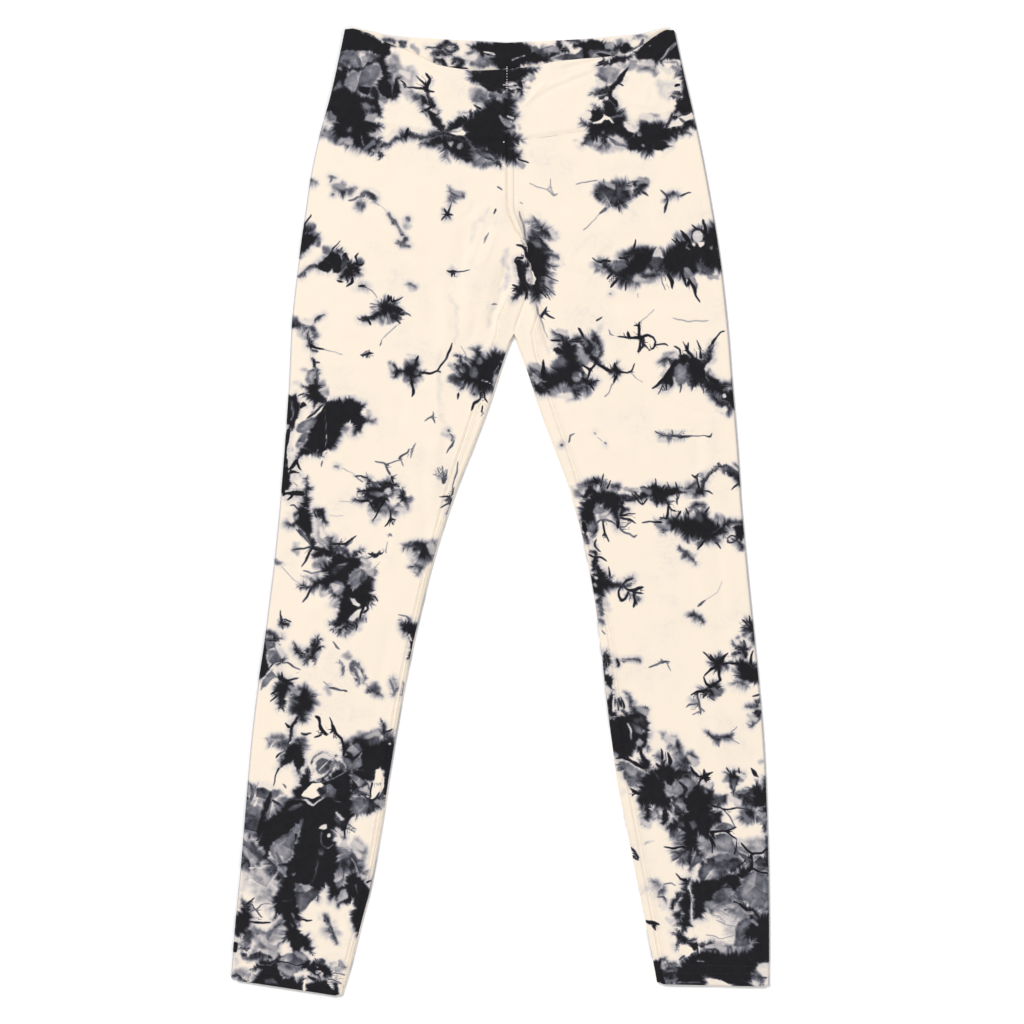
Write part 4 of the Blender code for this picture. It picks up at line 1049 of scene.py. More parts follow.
# Paler facets over the dye: tone, feather, and the x and y of the outline.
LIFT_AREAS: tuple[Row, ...] = (
    # Waistband, the wearer's right and the centre.
    (0.715, 2, 341, 53, 362, 51, 380, 57, 370, 62, 364, 67, 352, 67, 346, 64, 338, 68, 337, 62),
    (0.39, 2.5, 350, 74, 362, 71, 366, 67, 378, 64, 380, 70, 377, 80, 370, 84, 362, 86, 356, 92, 351, 92,
     345, 83),
    (0.715, 1, 331, 92, 340, 80, 345, 89, 339, 89), (0.78, 1, 357, 87, 371, 88, 368, 95, 360, 92),
    (0.35, 2, 379, 95, 386, 98, 389, 101, 382, 107, 378, 103),
    (0.45, 2.5, 360, 104, 368, 103, 374, 107, 370, 112, 364, 110),
    (0.2, 1.5, 366, 116, 374, 115, 378, 119, 374, 123, 369, 120),
    (0.5, 1.5, 326, 112, 330, 111, 336, 117, 334, 121, 328, 119),
    (0.3, 1, 371, 134, 380, 132, 380, 136, 372, 137), (0.3, 1, 447, 142, 454, 142, 452, 148),
    (0.35, 2, 436, 144, 443, 144, 443, 150),
    (0.55, 3, 472, 150, 482, 152, 492, 156, 498, 160, 492, 166, 482, 168, 474, 166, 471, 158),
    # Waistband, the wearer's left.
    (0.195, 3, 611, 137, 617, 135, 624, 138, 627, 146, 620, 152, 612, 148, 609, 142),
    (0.1, 1, 623, 121, 632, 124, 640, 128, 638, 132, 628, 132, 623, 127),
    (0.05, 0.5, 667, 129, 672, 123, 678, 118, 686, 115, 692, 112, 694, 118, 686, 121, 680, 125, 672, 128),
    (0.45, 3, 596, 76, 602, 70, 608, 66, 620, 70, 614, 80, 606, 83), (0.3, 2, 616, 66, 628, 64, 626, 69),
    (0.35, 2, 631, 60, 637, 62, 636, 70, 630, 72, 628, 66),
    (0.25, 3, 640, 60, 652, 60, 655, 66, 648, 64, 641, 66),
    # Thigh of the wearer's right leg.
    (0.6, 1, 341, 266, 345, 256, 348, 254, 347, 264, 342, 274),
    (0.55, 1, 391, 314, 398, 315, 397, 321, 392, 319),
    (0.5, 1, 308, 370, 314, 368, 316, 372, 314, 380, 312, 384, 307, 384, 306, 378),
    (0, 0.5, 306, 419, 316, 408, 325, 404, 322, 411, 314, 416),
    (0.5, 1, 296, 430, 302, 422, 312, 416, 317, 421, 312, 427, 304, 434, 297, 432),
    (0.55, 1, 302, 434, 308, 432, 304, 442, 298, 442, 300, 436),
    (0.3, 1.5, 297, 443, 303, 443, 300, 449, 296, 447), (0.35, 1, 462, 357, 466, 356, 470, 361, 466, 362),
    (0.5, 1, 469, 368, 474, 366, 478, 372, 477, 378, 472, 380, 469, 374),
    (0.25, 1, 494, 376, 498, 374, 497, 382, 494, 388),
    # Crotch, and the thigh of the wearer's left leg.
    (0.55, 1, 526, 268, 532, 272, 535, 279, 531, 284, 527, 281),
    (0.55, 1.5, 531, 241, 538, 238, 546, 243, 554, 252, 545, 250, 534, 246),
    (0.5, 2.5, 610, 266, 616, 260, 624, 261, 626, 266, 617, 271),
    (0.12, 1, 652, 257, 656, 249, 661, 250, 663, 258, 658, 259),
    (0.05, 0.5, 698, 242, 706, 241, 704, 246, 700, 248),
    (0.5, 1, 684, 268, 689, 268, 694, 275, 698, 284, 696, 290, 691, 287, 688, 280, 684, 275),
    (0.55, 2.5, 696, 262, 702, 264, 708, 270, 714, 273, 710, 276, 702, 274, 698, 268),
    (0.45, 3, 556, 362, 562, 356, 567, 362, 566, 368, 558, 368),
    (0.3, 2, 577, 348, 582, 348, 590, 360, 586, 366, 580, 358),
    (0.02, 0.5, 582, 367, 594, 361, 590, 370, 586, 376),
    (0.45, 2, 674, 366, 680, 363, 686, 366, 686, 378, 680, 386, 675, 380),
    (0.22, 0.5, 525.5, 267, 530, 269, 534, 275, 535.5, 281, 533, 285, 529, 284, 526.5, 278),
    (0.25, 1, 300, 884, 310, 885, 316, 890, 310, 898, 303, 900, 298, 893),
    # Knee of the wearer's right leg.
    (0.55, 0.8, 299, 528, 303, 532, 309, 540, 311, 545, 305, 540, 297, 531),
    (0.6, 1, 330, 574, 333, 568, 340, 564, 348, 562, 344, 567, 338, 572, 332, 575),
    (0.55, 1, 341, 554, 346, 553, 348, 558, 345, 557),
    (0.45, 1.5, 331, 583, 337, 580, 342, 582, 345, 588, 343, 594, 338, 596, 333, 592),
    (0.55, 2, 349, 577, 355, 571, 362, 568, 366, 571, 366, 577, 360, 583, 355, 588, 350, 584),
    (0.15, 0.8, 350, 597, 355, 598, 361, 605, 358, 607, 353, 604),
    (0.6, 1, 369, 493, 376, 492, 384, 494, 383, 497, 377, 498, 371, 496),
    # Knee of the wearer's left leg.
    (0.6, 0.8, 595, 504, 601, 507, 607, 511, 602, 514, 595, 513),
    (0.6, 1, 622, 501, 624, 503, 622, 515, 619, 520, 619, 512),
    (0.65, 1, 694, 518, 700, 513, 704, 518, 703, 524, 697, 520),
    # Calf of the wearer's right leg.
    (0.15, 1, 347, 620, 350, 616, 356, 610, 361, 608, 359, 616, 353, 621),
    (0.55, 1, 266, 640, 275, 641, 275, 648, 266, 650),
    (0.45, 1, 267, 651, 275, 650, 280, 656, 278, 662, 272, 663, 268, 660),
    (0.4, 1, 262, 679, 271, 671, 277, 677, 268, 684, 260, 689),
    (0.45, 1, 346, 750, 350, 744, 356, 743, 363, 750, 354, 756),
    (0, 0.4, 301, 795, 306, 789, 312, 784, 322, 783, 325, 787, 316, 790, 320, 796, 312, 799),
    (0.7, 1, 315, 791, 322, 787, 330, 786, 337, 789, 337, 794, 330, 797, 322, 797, 317, 793),
    (0.65, 1, 288, 810, 293, 806, 300, 803, 303, 805, 297, 810, 291, 812),
    (0.55, 1.2, 303, 820, 297, 836, 292, 855, 286, 862, 278, 862, 272, 856, 270, 848, 277, 839, 290, 830),
    (0.1, 0.5, 318, 829, 324, 824, 328, 823, 328, 828, 324, 830),
    (0.45, 0.5, 291, 873, 297, 873, 294, 877), (0.4, 1.5, 278, 866, 288, 868, 284, 876, 279, 872),
    (0.5, 1, 295, 883, 300, 884, 308, 885, 314, 888, 319, 893, 316, 898, 310, 904, 304, 910, 300, 912, 297,
     905, 295, 895),
    (0.4, 1, 294, 918, 299, 920, 298, 928, 295, 923),
    (0.45, 2, 334, 880, 338, 870, 343, 868, 345, 875, 343, 884, 338, 887),
    (0.3, 1, 337, 900, 341, 890, 346, 889, 348, 897, 343, 900), (0.45, 0.8, 354, 885, 357, 884, 358, 894),
    (0, 0.6, 375, 768, 379, 768, 383, 776, 384, 786, 380, 793, 375, 798, 371, 799, 372, 790, 374, 780),
    (0.6, 1, 345, 757, 351, 759, 354, 765, 350, 771, 345, 763),
    (0.6, 1, 353, 760, 361, 755, 362, 765, 352, 770), (0.55, 1, 264, 979, 274, 978, 278, 984, 266, 983),
    (0, 0.6, 339, 984, 343, 984, 344, 994, 339, 995), (0, 0.4, 304, 979, 306, 980, 306, 992, 304, 991),
    (0.5, 0.8, 322, 787, 330, 784, 338, 789, 336, 797, 325, 797, 318, 799),
    # Calf of the wearer's left leg.
    (0.75, 2, 629, 715, 640, 714, 646, 716, 646, 726, 634, 722),
    (0.7, 1.5, 630, 722, 640, 726, 646, 730, 642, 735, 634, 732),
    (0.35, 1.2, 635, 742, 640, 739, 643, 742, 640, 747, 636, 746),
    (0.4, 1, 613, 750, 619, 755, 616, 758, 613, 755),
    (0.5, 1.5, 673, 786, 680, 780, 688, 778, 697, 781, 695, 788, 686, 793, 676, 796, 667, 796, 664, 790,
     668, 784),
    (0.3, 1, 664, 792, 670, 790, 676, 796, 668, 797), (0.7, 1, 653, 770, 658, 775, 660, 780),
    (0.65, 1, 674, 801, 682, 801, 686, 806, 684, 811, 676, 812), (0.35, 1, 674, 816, 680, 815, 678, 820),
    (0.6, 1, 676, 823, 684, 822, 685, 827, 678, 828), (0.5, 1.5, 690, 822, 695, 820, 698, 826, 693, 830),
    (0.7, 1.5, 729, 778, 737, 778, 734, 794), (0.4, 1, 757, 816, 764, 811, 767, 812, 766, 817),
    (0.4, 1, 713, 828, 722, 822, 732, 826, 734, 830, 724, 830),
    (0.45, 1.5, 712, 838, 720, 832, 726, 833, 734, 840, 733, 850, 722, 850, 714, 846),
    (0.35, 1.5, 697, 838, 703, 836, 709, 842, 710, 848, 703, 846),
    (0.5, 1, 691, 868, 694, 856, 700, 858, 700, 862),
    (0.4, 2, 738, 842, 744, 850, 750, 854, 744, 862, 736, 858),
    (0.3, 1.5, 750, 846, 756, 840, 764, 842, 762, 850),
    (0.5, 1.5, 753, 856, 760, 855, 766, 860, 768, 870, 758, 870, 753, 866),
    (0.5, 1.5, 712, 856, 722, 853, 734, 856, 724, 860, 716, 862),
    (0.5, 2, 697, 876, 700, 868, 710, 862, 716, 870, 720, 876, 712, 879, 702, 880),
    (0.55, 3, 745, 876, 756, 870, 766, 874, 770, 890, 770, 912, 758, 908, 748, 902, 738, 900, 736, 892,
     742, 884),
    (0.5, 2, 738, 922, 746, 918, 750, 924, 744, 932, 740, 938, 748, 940, 752, 944, 742, 946, 734, 944, 736,
     930),
    (0.03, 0.6, 705, 978, 712, 978, 722, 981, 732, 984, 738, 985, 720, 986, 709, 984),
    (0.1, 1.5, 757, 967, 763, 962, 770, 963, 770, 975, 762, 976, 758, 972),
    (0.1, 1, 752, 978, 758, 984, 752, 985), (0.1, 0.8, 593, 576, 599, 577, 597, 580),
    (0.5, 1, 587, 524, 595, 525, 594, 532, 588, 532),
    (0, 0.5, 680, 947, 686, 944, 692, 946, 693, 951, 687, 957, 680, 954),
)

# Paler lines over the dye, with three rows of painted highlight along the crotch seam's edge: tone,
# feather, and the x, y and half width of each point.
LIFT_LINES_AND_HIGHLIGHTS: tuple[Row, ...] = (
    # Waistband, the wearer's right and the centre.
    (0.65, 1.5, 374, 91, 3), (0.4, 1.5, 373, 142, 2.5, 366, 149, 2),
    (0.3, 0.6, 361, 135, 0.6, 364, 145, 0.6), (0.6, 1, 460, 146, 3), (0.55, 2, 349, 130, 2.5),
    (0.25, 0.5, 503, 86, 0.8, 512, 84, 0.8, 520, 84, 1, 526, 86, 1),
    (0.25, 0.5, 508, 88, 0.8, 518, 88, 1, 524, 89, 1), (0.45, 1.5, 491, 95, 2.5, 496, 94, 2),
    (0.4, 1.5, 499, 97, 2, 505, 95, 2.5), (0.5, 0.5, 485, 104, 0.8, 494, 98, 1),
    (0.1, 0.5, 508, 117, 1, 513, 119, 1.2), (0.3, 1, 500, 117, 1.5, 504, 122, 1.8, 511, 127, 1.5),
    (0, 0.4, 504, 143, 0.8), (0.02, 0.5, 452, 133.5, 0.8, 458, 135, 1.5, 464, 133, 2, 462, 130, 1),
    (0.35, 0.8, 509, 83, 0.7, 522, 82, 1.1, 535, 78, 1.3),
    (0.3, 0.8, 508, 87.5, 0.6, 520, 87, 0.9, 530, 88, 1.1),
    # Waistband, the wearer's left.
    (0.35, 0.4, 660, 60, 1, 668, 51, 1.6, 676, 44, 1.6), (0, 0.5, 650, 46, 0.8), (0.13, 0.5, 606, 98, 2.2),
    (0.02, 0.5, 593, 123, 1, 601, 122, 1.3, 605, 118, 2, 609, 120, 1.5, 613, 124, 1),
    (0.026, 0.5, 604, 115, 0.8, 606, 120, 1.5), (0.39, 2, 611, 119, 1, 618, 116, 1.2, 622, 116, 1),
    (0.65, 1.5, 603, 133, 2), (0.4, 1.5, 639, 135, 2.5), (0.3, 1, 643, 146, 1.2),
    (0.4, 0.8, 664, 62, 0.8, 677, 62, 1, 679, 68, 1, 677, 74, 1), (0.4, 1, 673, 67, 1.6),
    # Thigh of the wearer's right leg.
    (0.55, 0.3, 324, 261, 0.5, 333, 266, 0.4), (0.15, 0.4, 353, 274, 0.6, 357, 274, 0.7),
    (0.45, 1, 381, 309, 1.6), (0.4, 1, 292, 402, 0.8, 293, 412, 1, 291, 420, 0.8),
    (0.45, 0.3, 325.5, 410, 0.7, 326, 449, 0.6), (0.1, 0.4, 323, 456, 0.7, 324, 452, 0.8, 328, 451, 0.8),
    (0.5, 0.4, 317, 449, 0.6, 316, 456, 0.8), (0.5, 0.4, 306, 447, 0.5, 311, 452, 0.5),
    (0.5, 1, 417, 372, 2.5), (0.5, 1, 479, 361, 3.5), (0.4, 1, 463, 370, 3),
    (0.1, 0.3, 482, 380, 0.8, 492, 385, 0.5), (0.5, 0.4, 494, 372, 0.4, 498, 366, 0.7),
    # Crotch, and the thigh of the wearer's left leg.
    (0.55, 1.5, 657, 263, 6.5), (0.15, 1.5, 698, 236, 5.5), (0.1, 0.5, 694, 244, 1.8),
    (0.45, 0.5, 688, 244, 0.7, 686, 248, 0.8, 690, 250, 0.7), (0.6, 1.5, 712, 248, 2),
    (0.4, 0.5, 602, 202, 0.6, 612, 206, 0.7), (0.4, 2, 576, 377, 5), (0.15, 1.5, 579, 376, 3),
    (0.6, 1, 574, 387, 2.5), (0.1, 0.5, 542, 374, 0.6, 546, 370, 0.6),
    (0.2, 1, 674, 378, 1, 678, 384, 1, 682, 376, 1), (0.1, 0.8, 724, 396, 2),
    # Painted highlights along the lit edges of the crotch seam and its flap, for the next three rows.
    (0.02, 0.4, 516, 231, 0.7, 521, 236, 1, 525.5, 243, 1, 527.5, 252, 0.7),
    (0.05, 0.4, 526, 255, 0.5, 529, 262, 0.7, 530.5, 268, 0.6),
    (0, 0.4, 529, 268, 0.6, 533, 273, 0.9, 535.5, 279, 0.9, 534, 284.5, 0.8, 530, 285.5, 0.5),
    (0.08, 2, 597, 80, 2, 602, 86, 3), (0.06, 1.5, 583, 115, 1.5, 590, 115, 2),
    (0.06, 1.5, 640, 116, 2, 650, 118, 3.5), (0.3, 2, 459, 113, 2, 467, 116, 3.5),
    (0.06, 2, 388, 140, 2, 394, 134, 3), (0.02, 2, 412, 130, 2, 418, 131, 3),
    (0.3, 2, 340, 143, 2, 349, 141, 4), (0.06, 1, 517, 122, 1, 517, 132, 1.5),
    (0.24, 1.5, 518, 160, 2, 522, 166, 2.5), (0.3, 1.5, 638, 184, 2, 645, 181, 3),
    (0.25, 2, 334, 186, 2, 343, 188, 3), (0.04, 1.5, 372, 190, 2, 378, 194, 2),
    (0.2, 2, 443, 209, 2, 447, 216, 2), (0.02, 2, 530, 212, 2, 538, 217, 3),
    (0.12, 2, 550, 230, 2, 555, 238, 2.5), (0.06, 2, 560, 255, 1.5, 562, 265, 2),
    (0.3, 2, 547, 280, 2, 549, 290, 2.5), (0.2, 2, 636, 280, 2, 648, 281, 2.5),
    (0.15, 2, 558, 331, 2, 566, 334, 3), (0.22, 1.5, 533, 365, 1.5, 541, 369, 2.5),
    (0.06, 2, 560, 395, 2, 570, 396, 3), (0.25, 2, 664, 355, 2, 676, 356, 3),
    (0.05, 2, 716, 411, 2, 724, 410, 3), (0.2, 2, 431, 543, 2.5, 434, 550, 4),
    (0.15, 2, 369, 513, 2, 378, 517, 4), (0.14, 2, 396, 509, 2, 404, 511, 3),
    (0.04, 1.5, 320, 528, 1.5, 323, 536, 2.5), (0.22, 2, 362, 560, 2, 368, 565, 3),
    (0.04, 2, 288, 513, 2, 291, 521, 3), (0.33, 2, 641, 488, 2, 649, 492, 3),
    (0.28, 1.5, 680, 490, 1.5, 693, 491, 2.5), (0.28, 1.5, 656, 524, 2, 668, 527, 2.5),
    (0, 2, 686, 546, 2, 694, 549, 3), (0.2, 1.5, 625, 580, 2, 634, 580, 2),
    (0.12, 2, 277, 645, 2.5, 282, 655, 3.5), (0.27, 2, 291, 687, 2, 298, 693, 3),
    (0.08, 1, 613, 696, 0.8, 614, 711, 1.4), (0.08, 1, 618, 694, 1, 621, 708, 1.5),
    (0.1, 1, 624, 697, 0.8, 628, 710, 1.3), (0.4, 2, 638, 708, 2, 645, 712, 3),
    (0.12, 2, 665, 737, 2, 673, 743, 3), (0.16, 2, 688, 756, 2, 695, 764, 3),
    (0.16, 2, 702, 779, 2, 708, 786, 3), (0.38, 2, 622, 764, 3, 631, 770, 3.5),
    (0.15, 2, 641, 820, 2, 649, 825, 3), (0.1, 2, 730, 797, 2, 738, 803, 3.5),
    (0.36, 2, 742, 813, 2, 748, 821, 3), (0.16, 2, 731, 840, 2, 739, 844, 3),
    (0.3, 2, 366, 737, 2, 377, 733, 3), (0.06, 1.5, 259, 785, 2, 266, 785, 3.6, 271, 788, 2),
    (0.25, 2, 375, 800, 2, 384, 804, 3), (0.65, 2, 336, 818, 2, 343, 826, 3),
    (0.16, 2, 353, 845, 2, 360, 856, 3), (0.1, 2, 368, 876, 2, 372, 888, 3),
    (0.28, 2, 246, 850, 2, 253, 860, 4), (0.15, 2, 262, 872, 2, 268, 882, 3),
    (0.2, 2, 264, 950, 2, 275, 955, 3), (0.25, 2, 296, 952, 2, 304, 958, 3),
    (0.28, 2, 280, 968, 2, 290, 973, 3), (0.06, 2, 659, 898, 2, 664, 907, 3),
    (0.27, 2, 707, 903, 2, 717, 908, 3), (0.16, 1.5, 706, 946, 2, 722, 944, 2.5),
    (0.08, 2, 401, 73, 2, 408, 76, 3), (0.1, 2, 661, 68, 2, 669, 71, 3),
    (0.14, 1.5, 427, 106, 1.5, 437, 112, 2), (0.06, 2, 641, 115, 2, 650, 119, 4),
    (0.3, 2, 341, 141, 3, 350, 142, 4), (0.24, 1.5, 606, 184, 2, 613, 187, 2.5),
    (0.26, 1.5, 639, 179, 2, 646, 182, 3), (0.2, 1.5, 453, 191, 1.5, 461, 194, 2),
    (0.3, 1.5, 708, 276, 1.5, 717, 277, 2), (0.3, 1.5, 656, 386, 2, 667, 388, 3),
    (0.2, 1.5, 389, 365, 1.5, 394, 370, 2.2), (0.15, 1.5, 408, 355, 1.5, 415, 358, 2.2),
    (0.15, 1.5, 409, 384, 1.5, 415, 387, 2), (0.2, 1.5, 449, 363, 1.5, 454, 368, 2),
    (0.14, 2, 557, 331, 2, 564, 334, 3), (0.2, 1.5, 536, 366, 2, 543, 369, 2.5),
    (0.3, 1.5, 625, 489, 1.5, 636, 491, 2.5), (0.2, 2, 655, 519, 2, 664, 523, 3),
    (0.02, 2, 686, 545, 2.5, 694, 549, 4), (0.2, 2, 430, 545, 3, 433, 552, 4),
    (0.2, 2, 366, 569, 2, 372, 573, 3), (0.06, 2, 302, 320, 2, 310, 324, 3),
    (0.1, 2, 742, 638, 2.5, 748, 644, 3), (0.35, 1.5, 713, 688, 2, 720, 693, 3),
    (0.15, 1.5, 749, 715, 2, 755, 719, 2.5), (0.05, 1.2, 314, 754, 1, 309, 763, 1.4, 312, 773, 1.2),
    (0.05, 1.2, 330, 754, 1, 338, 761, 1.4), (0.3, 2, 626, 768, 3, 633, 772, 4),
    (0.12, 2, 666, 735, 2, 674, 739, 3), (0.3, 2, 638, 708, 2.5, 646, 712, 3.5),
    (0.08, 1.5, 616, 698, 1.5, 624, 703, 2), (0.12, 2, 336, 828, 2, 343, 833, 3),
    (0.12, 2, 355, 842, 2, 362, 848, 3), (0.1, 2, 366, 881, 2, 373, 888, 3),
    (0.27, 2, 246, 851, 3, 254, 860, 4.5), (0.18, 1.5, 361, 789, 1.5, 369, 792, 2),
    (0.2, 2, 376, 800, 2, 384, 804, 3.5), (0.16, 1.5, 713, 945, 1.5, 724, 949, 2.5),
    (0.1, 2, 666, 918, 2, 673, 922, 3), (0.22, 2, 265, 943, 2, 274, 948, 3),
    (0.08, 0.5, 690.5, 882, 0.3, 690, 890, 0.5, 691, 900, 0.4, 691.5, 914, 0.8, 693, 921, 0.3),
    (0.1, 1.2, 318, 757, 1.4, 326, 755, 1.4, 332, 760, 1.4), (0.12, 1.5, 337, 813, 1.5, 342, 819, 2),
    (0.2, 1.5, 625, 489, 2, 636, 490, 2.5), (0.05, 1.5, 653, 516, 1.5, 660, 521, 2.4),
    (0.14, 1.5, 737, 773, 1.5, 744, 777, 2), (0.15, 1.5, 692, 758, 1.5, 697, 763, 2.4),
    # Knee of the wearer's right leg.
    (0.05, 0.4, 285, 490.5, 0.5, 292, 490.5, 0.6), (0.3, 0.4, 302, 505, 0.6, 308, 509, 0.6),
    (0.65, 1, 318, 553, 2), (0.5, 0.4, 328, 538, 0.5, 330, 543, 0.5), (0, 0.4, 369, 603, 1.3),
    (0, 0.4, 366, 608, 1.5), (0.3, 1, 387, 491, 2.5), (0.3, 1, 419, 552, 1.5), (0.4, 1.5, 342, 597, 2),
    (0.5, 1, 286, 466, 1.5),
    # Knee of the wearer's left leg.
    (0.6, 0.5, 712, 533, 0.8, 722, 526, 0.8), (0.1, 0.5, 699, 510, 1), (0.3, 1, 596, 585, 2),
    (0.05, 0.5, 595, 577, 1.2),
    # Calf of the wearer's right leg.
    (0.3, 0.4, 334, 629, 0.6, 341, 626, 0.6, 347, 624, 0.5), (0.4, 0.5, 312, 655, 0.8),
    (0.1, 0.6, 356, 667, 0.8, 360, 672, 1.2, 362, 679, 0.8), (0, 0.4, 409, 634, 0.7, 412, 641, 0.7),
    (0, 0.4, 290, 743, 1), (0.1, 0.5, 389, 744, 1.2), (0.1, 0.5, 319, 770, 0.6, 327, 762, 0.6),
    (0.1, 0.5, 300, 799, 0.6, 306, 800, 1, 309, 803, 1.5, 313, 805, 0.8, 318, 802, 0.8, 323, 799, 0.8),
    (0.4, 0.4, 292, 799, 0.5, 300, 799, 0.6),
    (0.4, 0.4, 324, 782, 0.6, 335, 778, 0.6, 343, 774, 0.6, 347, 771, 0.6),
    (0.75, 1, 334, 800, 0.6, 341, 801, 0.8), (0.1, 0.6, 329, 835, 1.8),
    (0.5, 0.6, 321, 833, 0.8, 320, 840, 0.9, 323, 846, 0.9, 328, 848, 0.8, 333, 844, 0.6),
    (0.65, 1.5, 321, 852, 3), (0.75, 1.5, 318, 860, 1, 316, 872, 1.2, 312, 882, 1.2),
    (0.5, 0.4, 283, 901, 0.5, 292, 900, 0.6), (0.3, 0.5, 292, 913, 0.6, 294, 917, 0.8),
    (0.3, 0.5, 291, 923, 0.7, 293, 927, 0.7), (0.1, 0.6, 255, 806, 1.2, 257, 801, 0.8),
    (0.2, 0.6, 275, 799, 1.2), (0.05, 0.5, 249, 868, 0.7, 256, 866, 0.9, 262, 868, 0.7),
    (0.15, 0.6, 352, 858, 0.7, 358, 870, 0.7), (0.15, 1.5, 366, 789, 3),
    (0.2, 0.4, 352, 770, 0.6, 355, 760, 0.6, 362, 753, 0.6),
    (0.05, 0.5, 327, 983, 0.8, 331, 987, 0.8, 333, 989, 0.6), (0.6, 1, 318, 972, 2.5),
    (0.3, 0.6, 322, 976, 2), (0.1, 0.5, 320, 970, 0.8, 323, 973, 0.9),
    (0.2, 0.5, 316, 965, 0.6, 318, 966, 0.6),
    # Calf of the wearer's left leg.
    (0.15, 0.6, 628, 723, 0.8, 630, 731, 0.9, 631, 739, 0.8),
    (0.7, 0.5, 743, 665, 0.5, 749, 664, 0.6, 755, 670, 0.6),
    (0.3, 0.6, 672, 800, 1, 674, 808, 1, 672, 814, 1), (0.5, 1, 705, 792, 2),
    (0.35, 0.6, 676, 901, 0.8, 675, 905, 0.8), (0.4, 1.5, 742, 915, 2, 752, 913, 2, 756, 918, 1.5),
    (0.45, 0.6, 742, 946, 1, 752, 946, 1), (0.3, 0.8, 752, 921, 2, 757, 924, 1.5),
    (0.3, 0.5, 698, 961, 0.8, 703, 961, 0.6), (0.5, 0.5, 676, 983, 0.8, 700, 982, 0.8),
    (0.7, 0.5, 758, 977, 0.8, 766, 978, 0.8), (0, 0.4, 699, 946, 0.8, 699, 953, 0.7),
    (0.4, 0.6, 667, 971, 1, 672, 971, 1), (0.45, 0.6, 666, 981, 1, 675, 980, 1), (0.25, 1, 705, 862, 2),
)
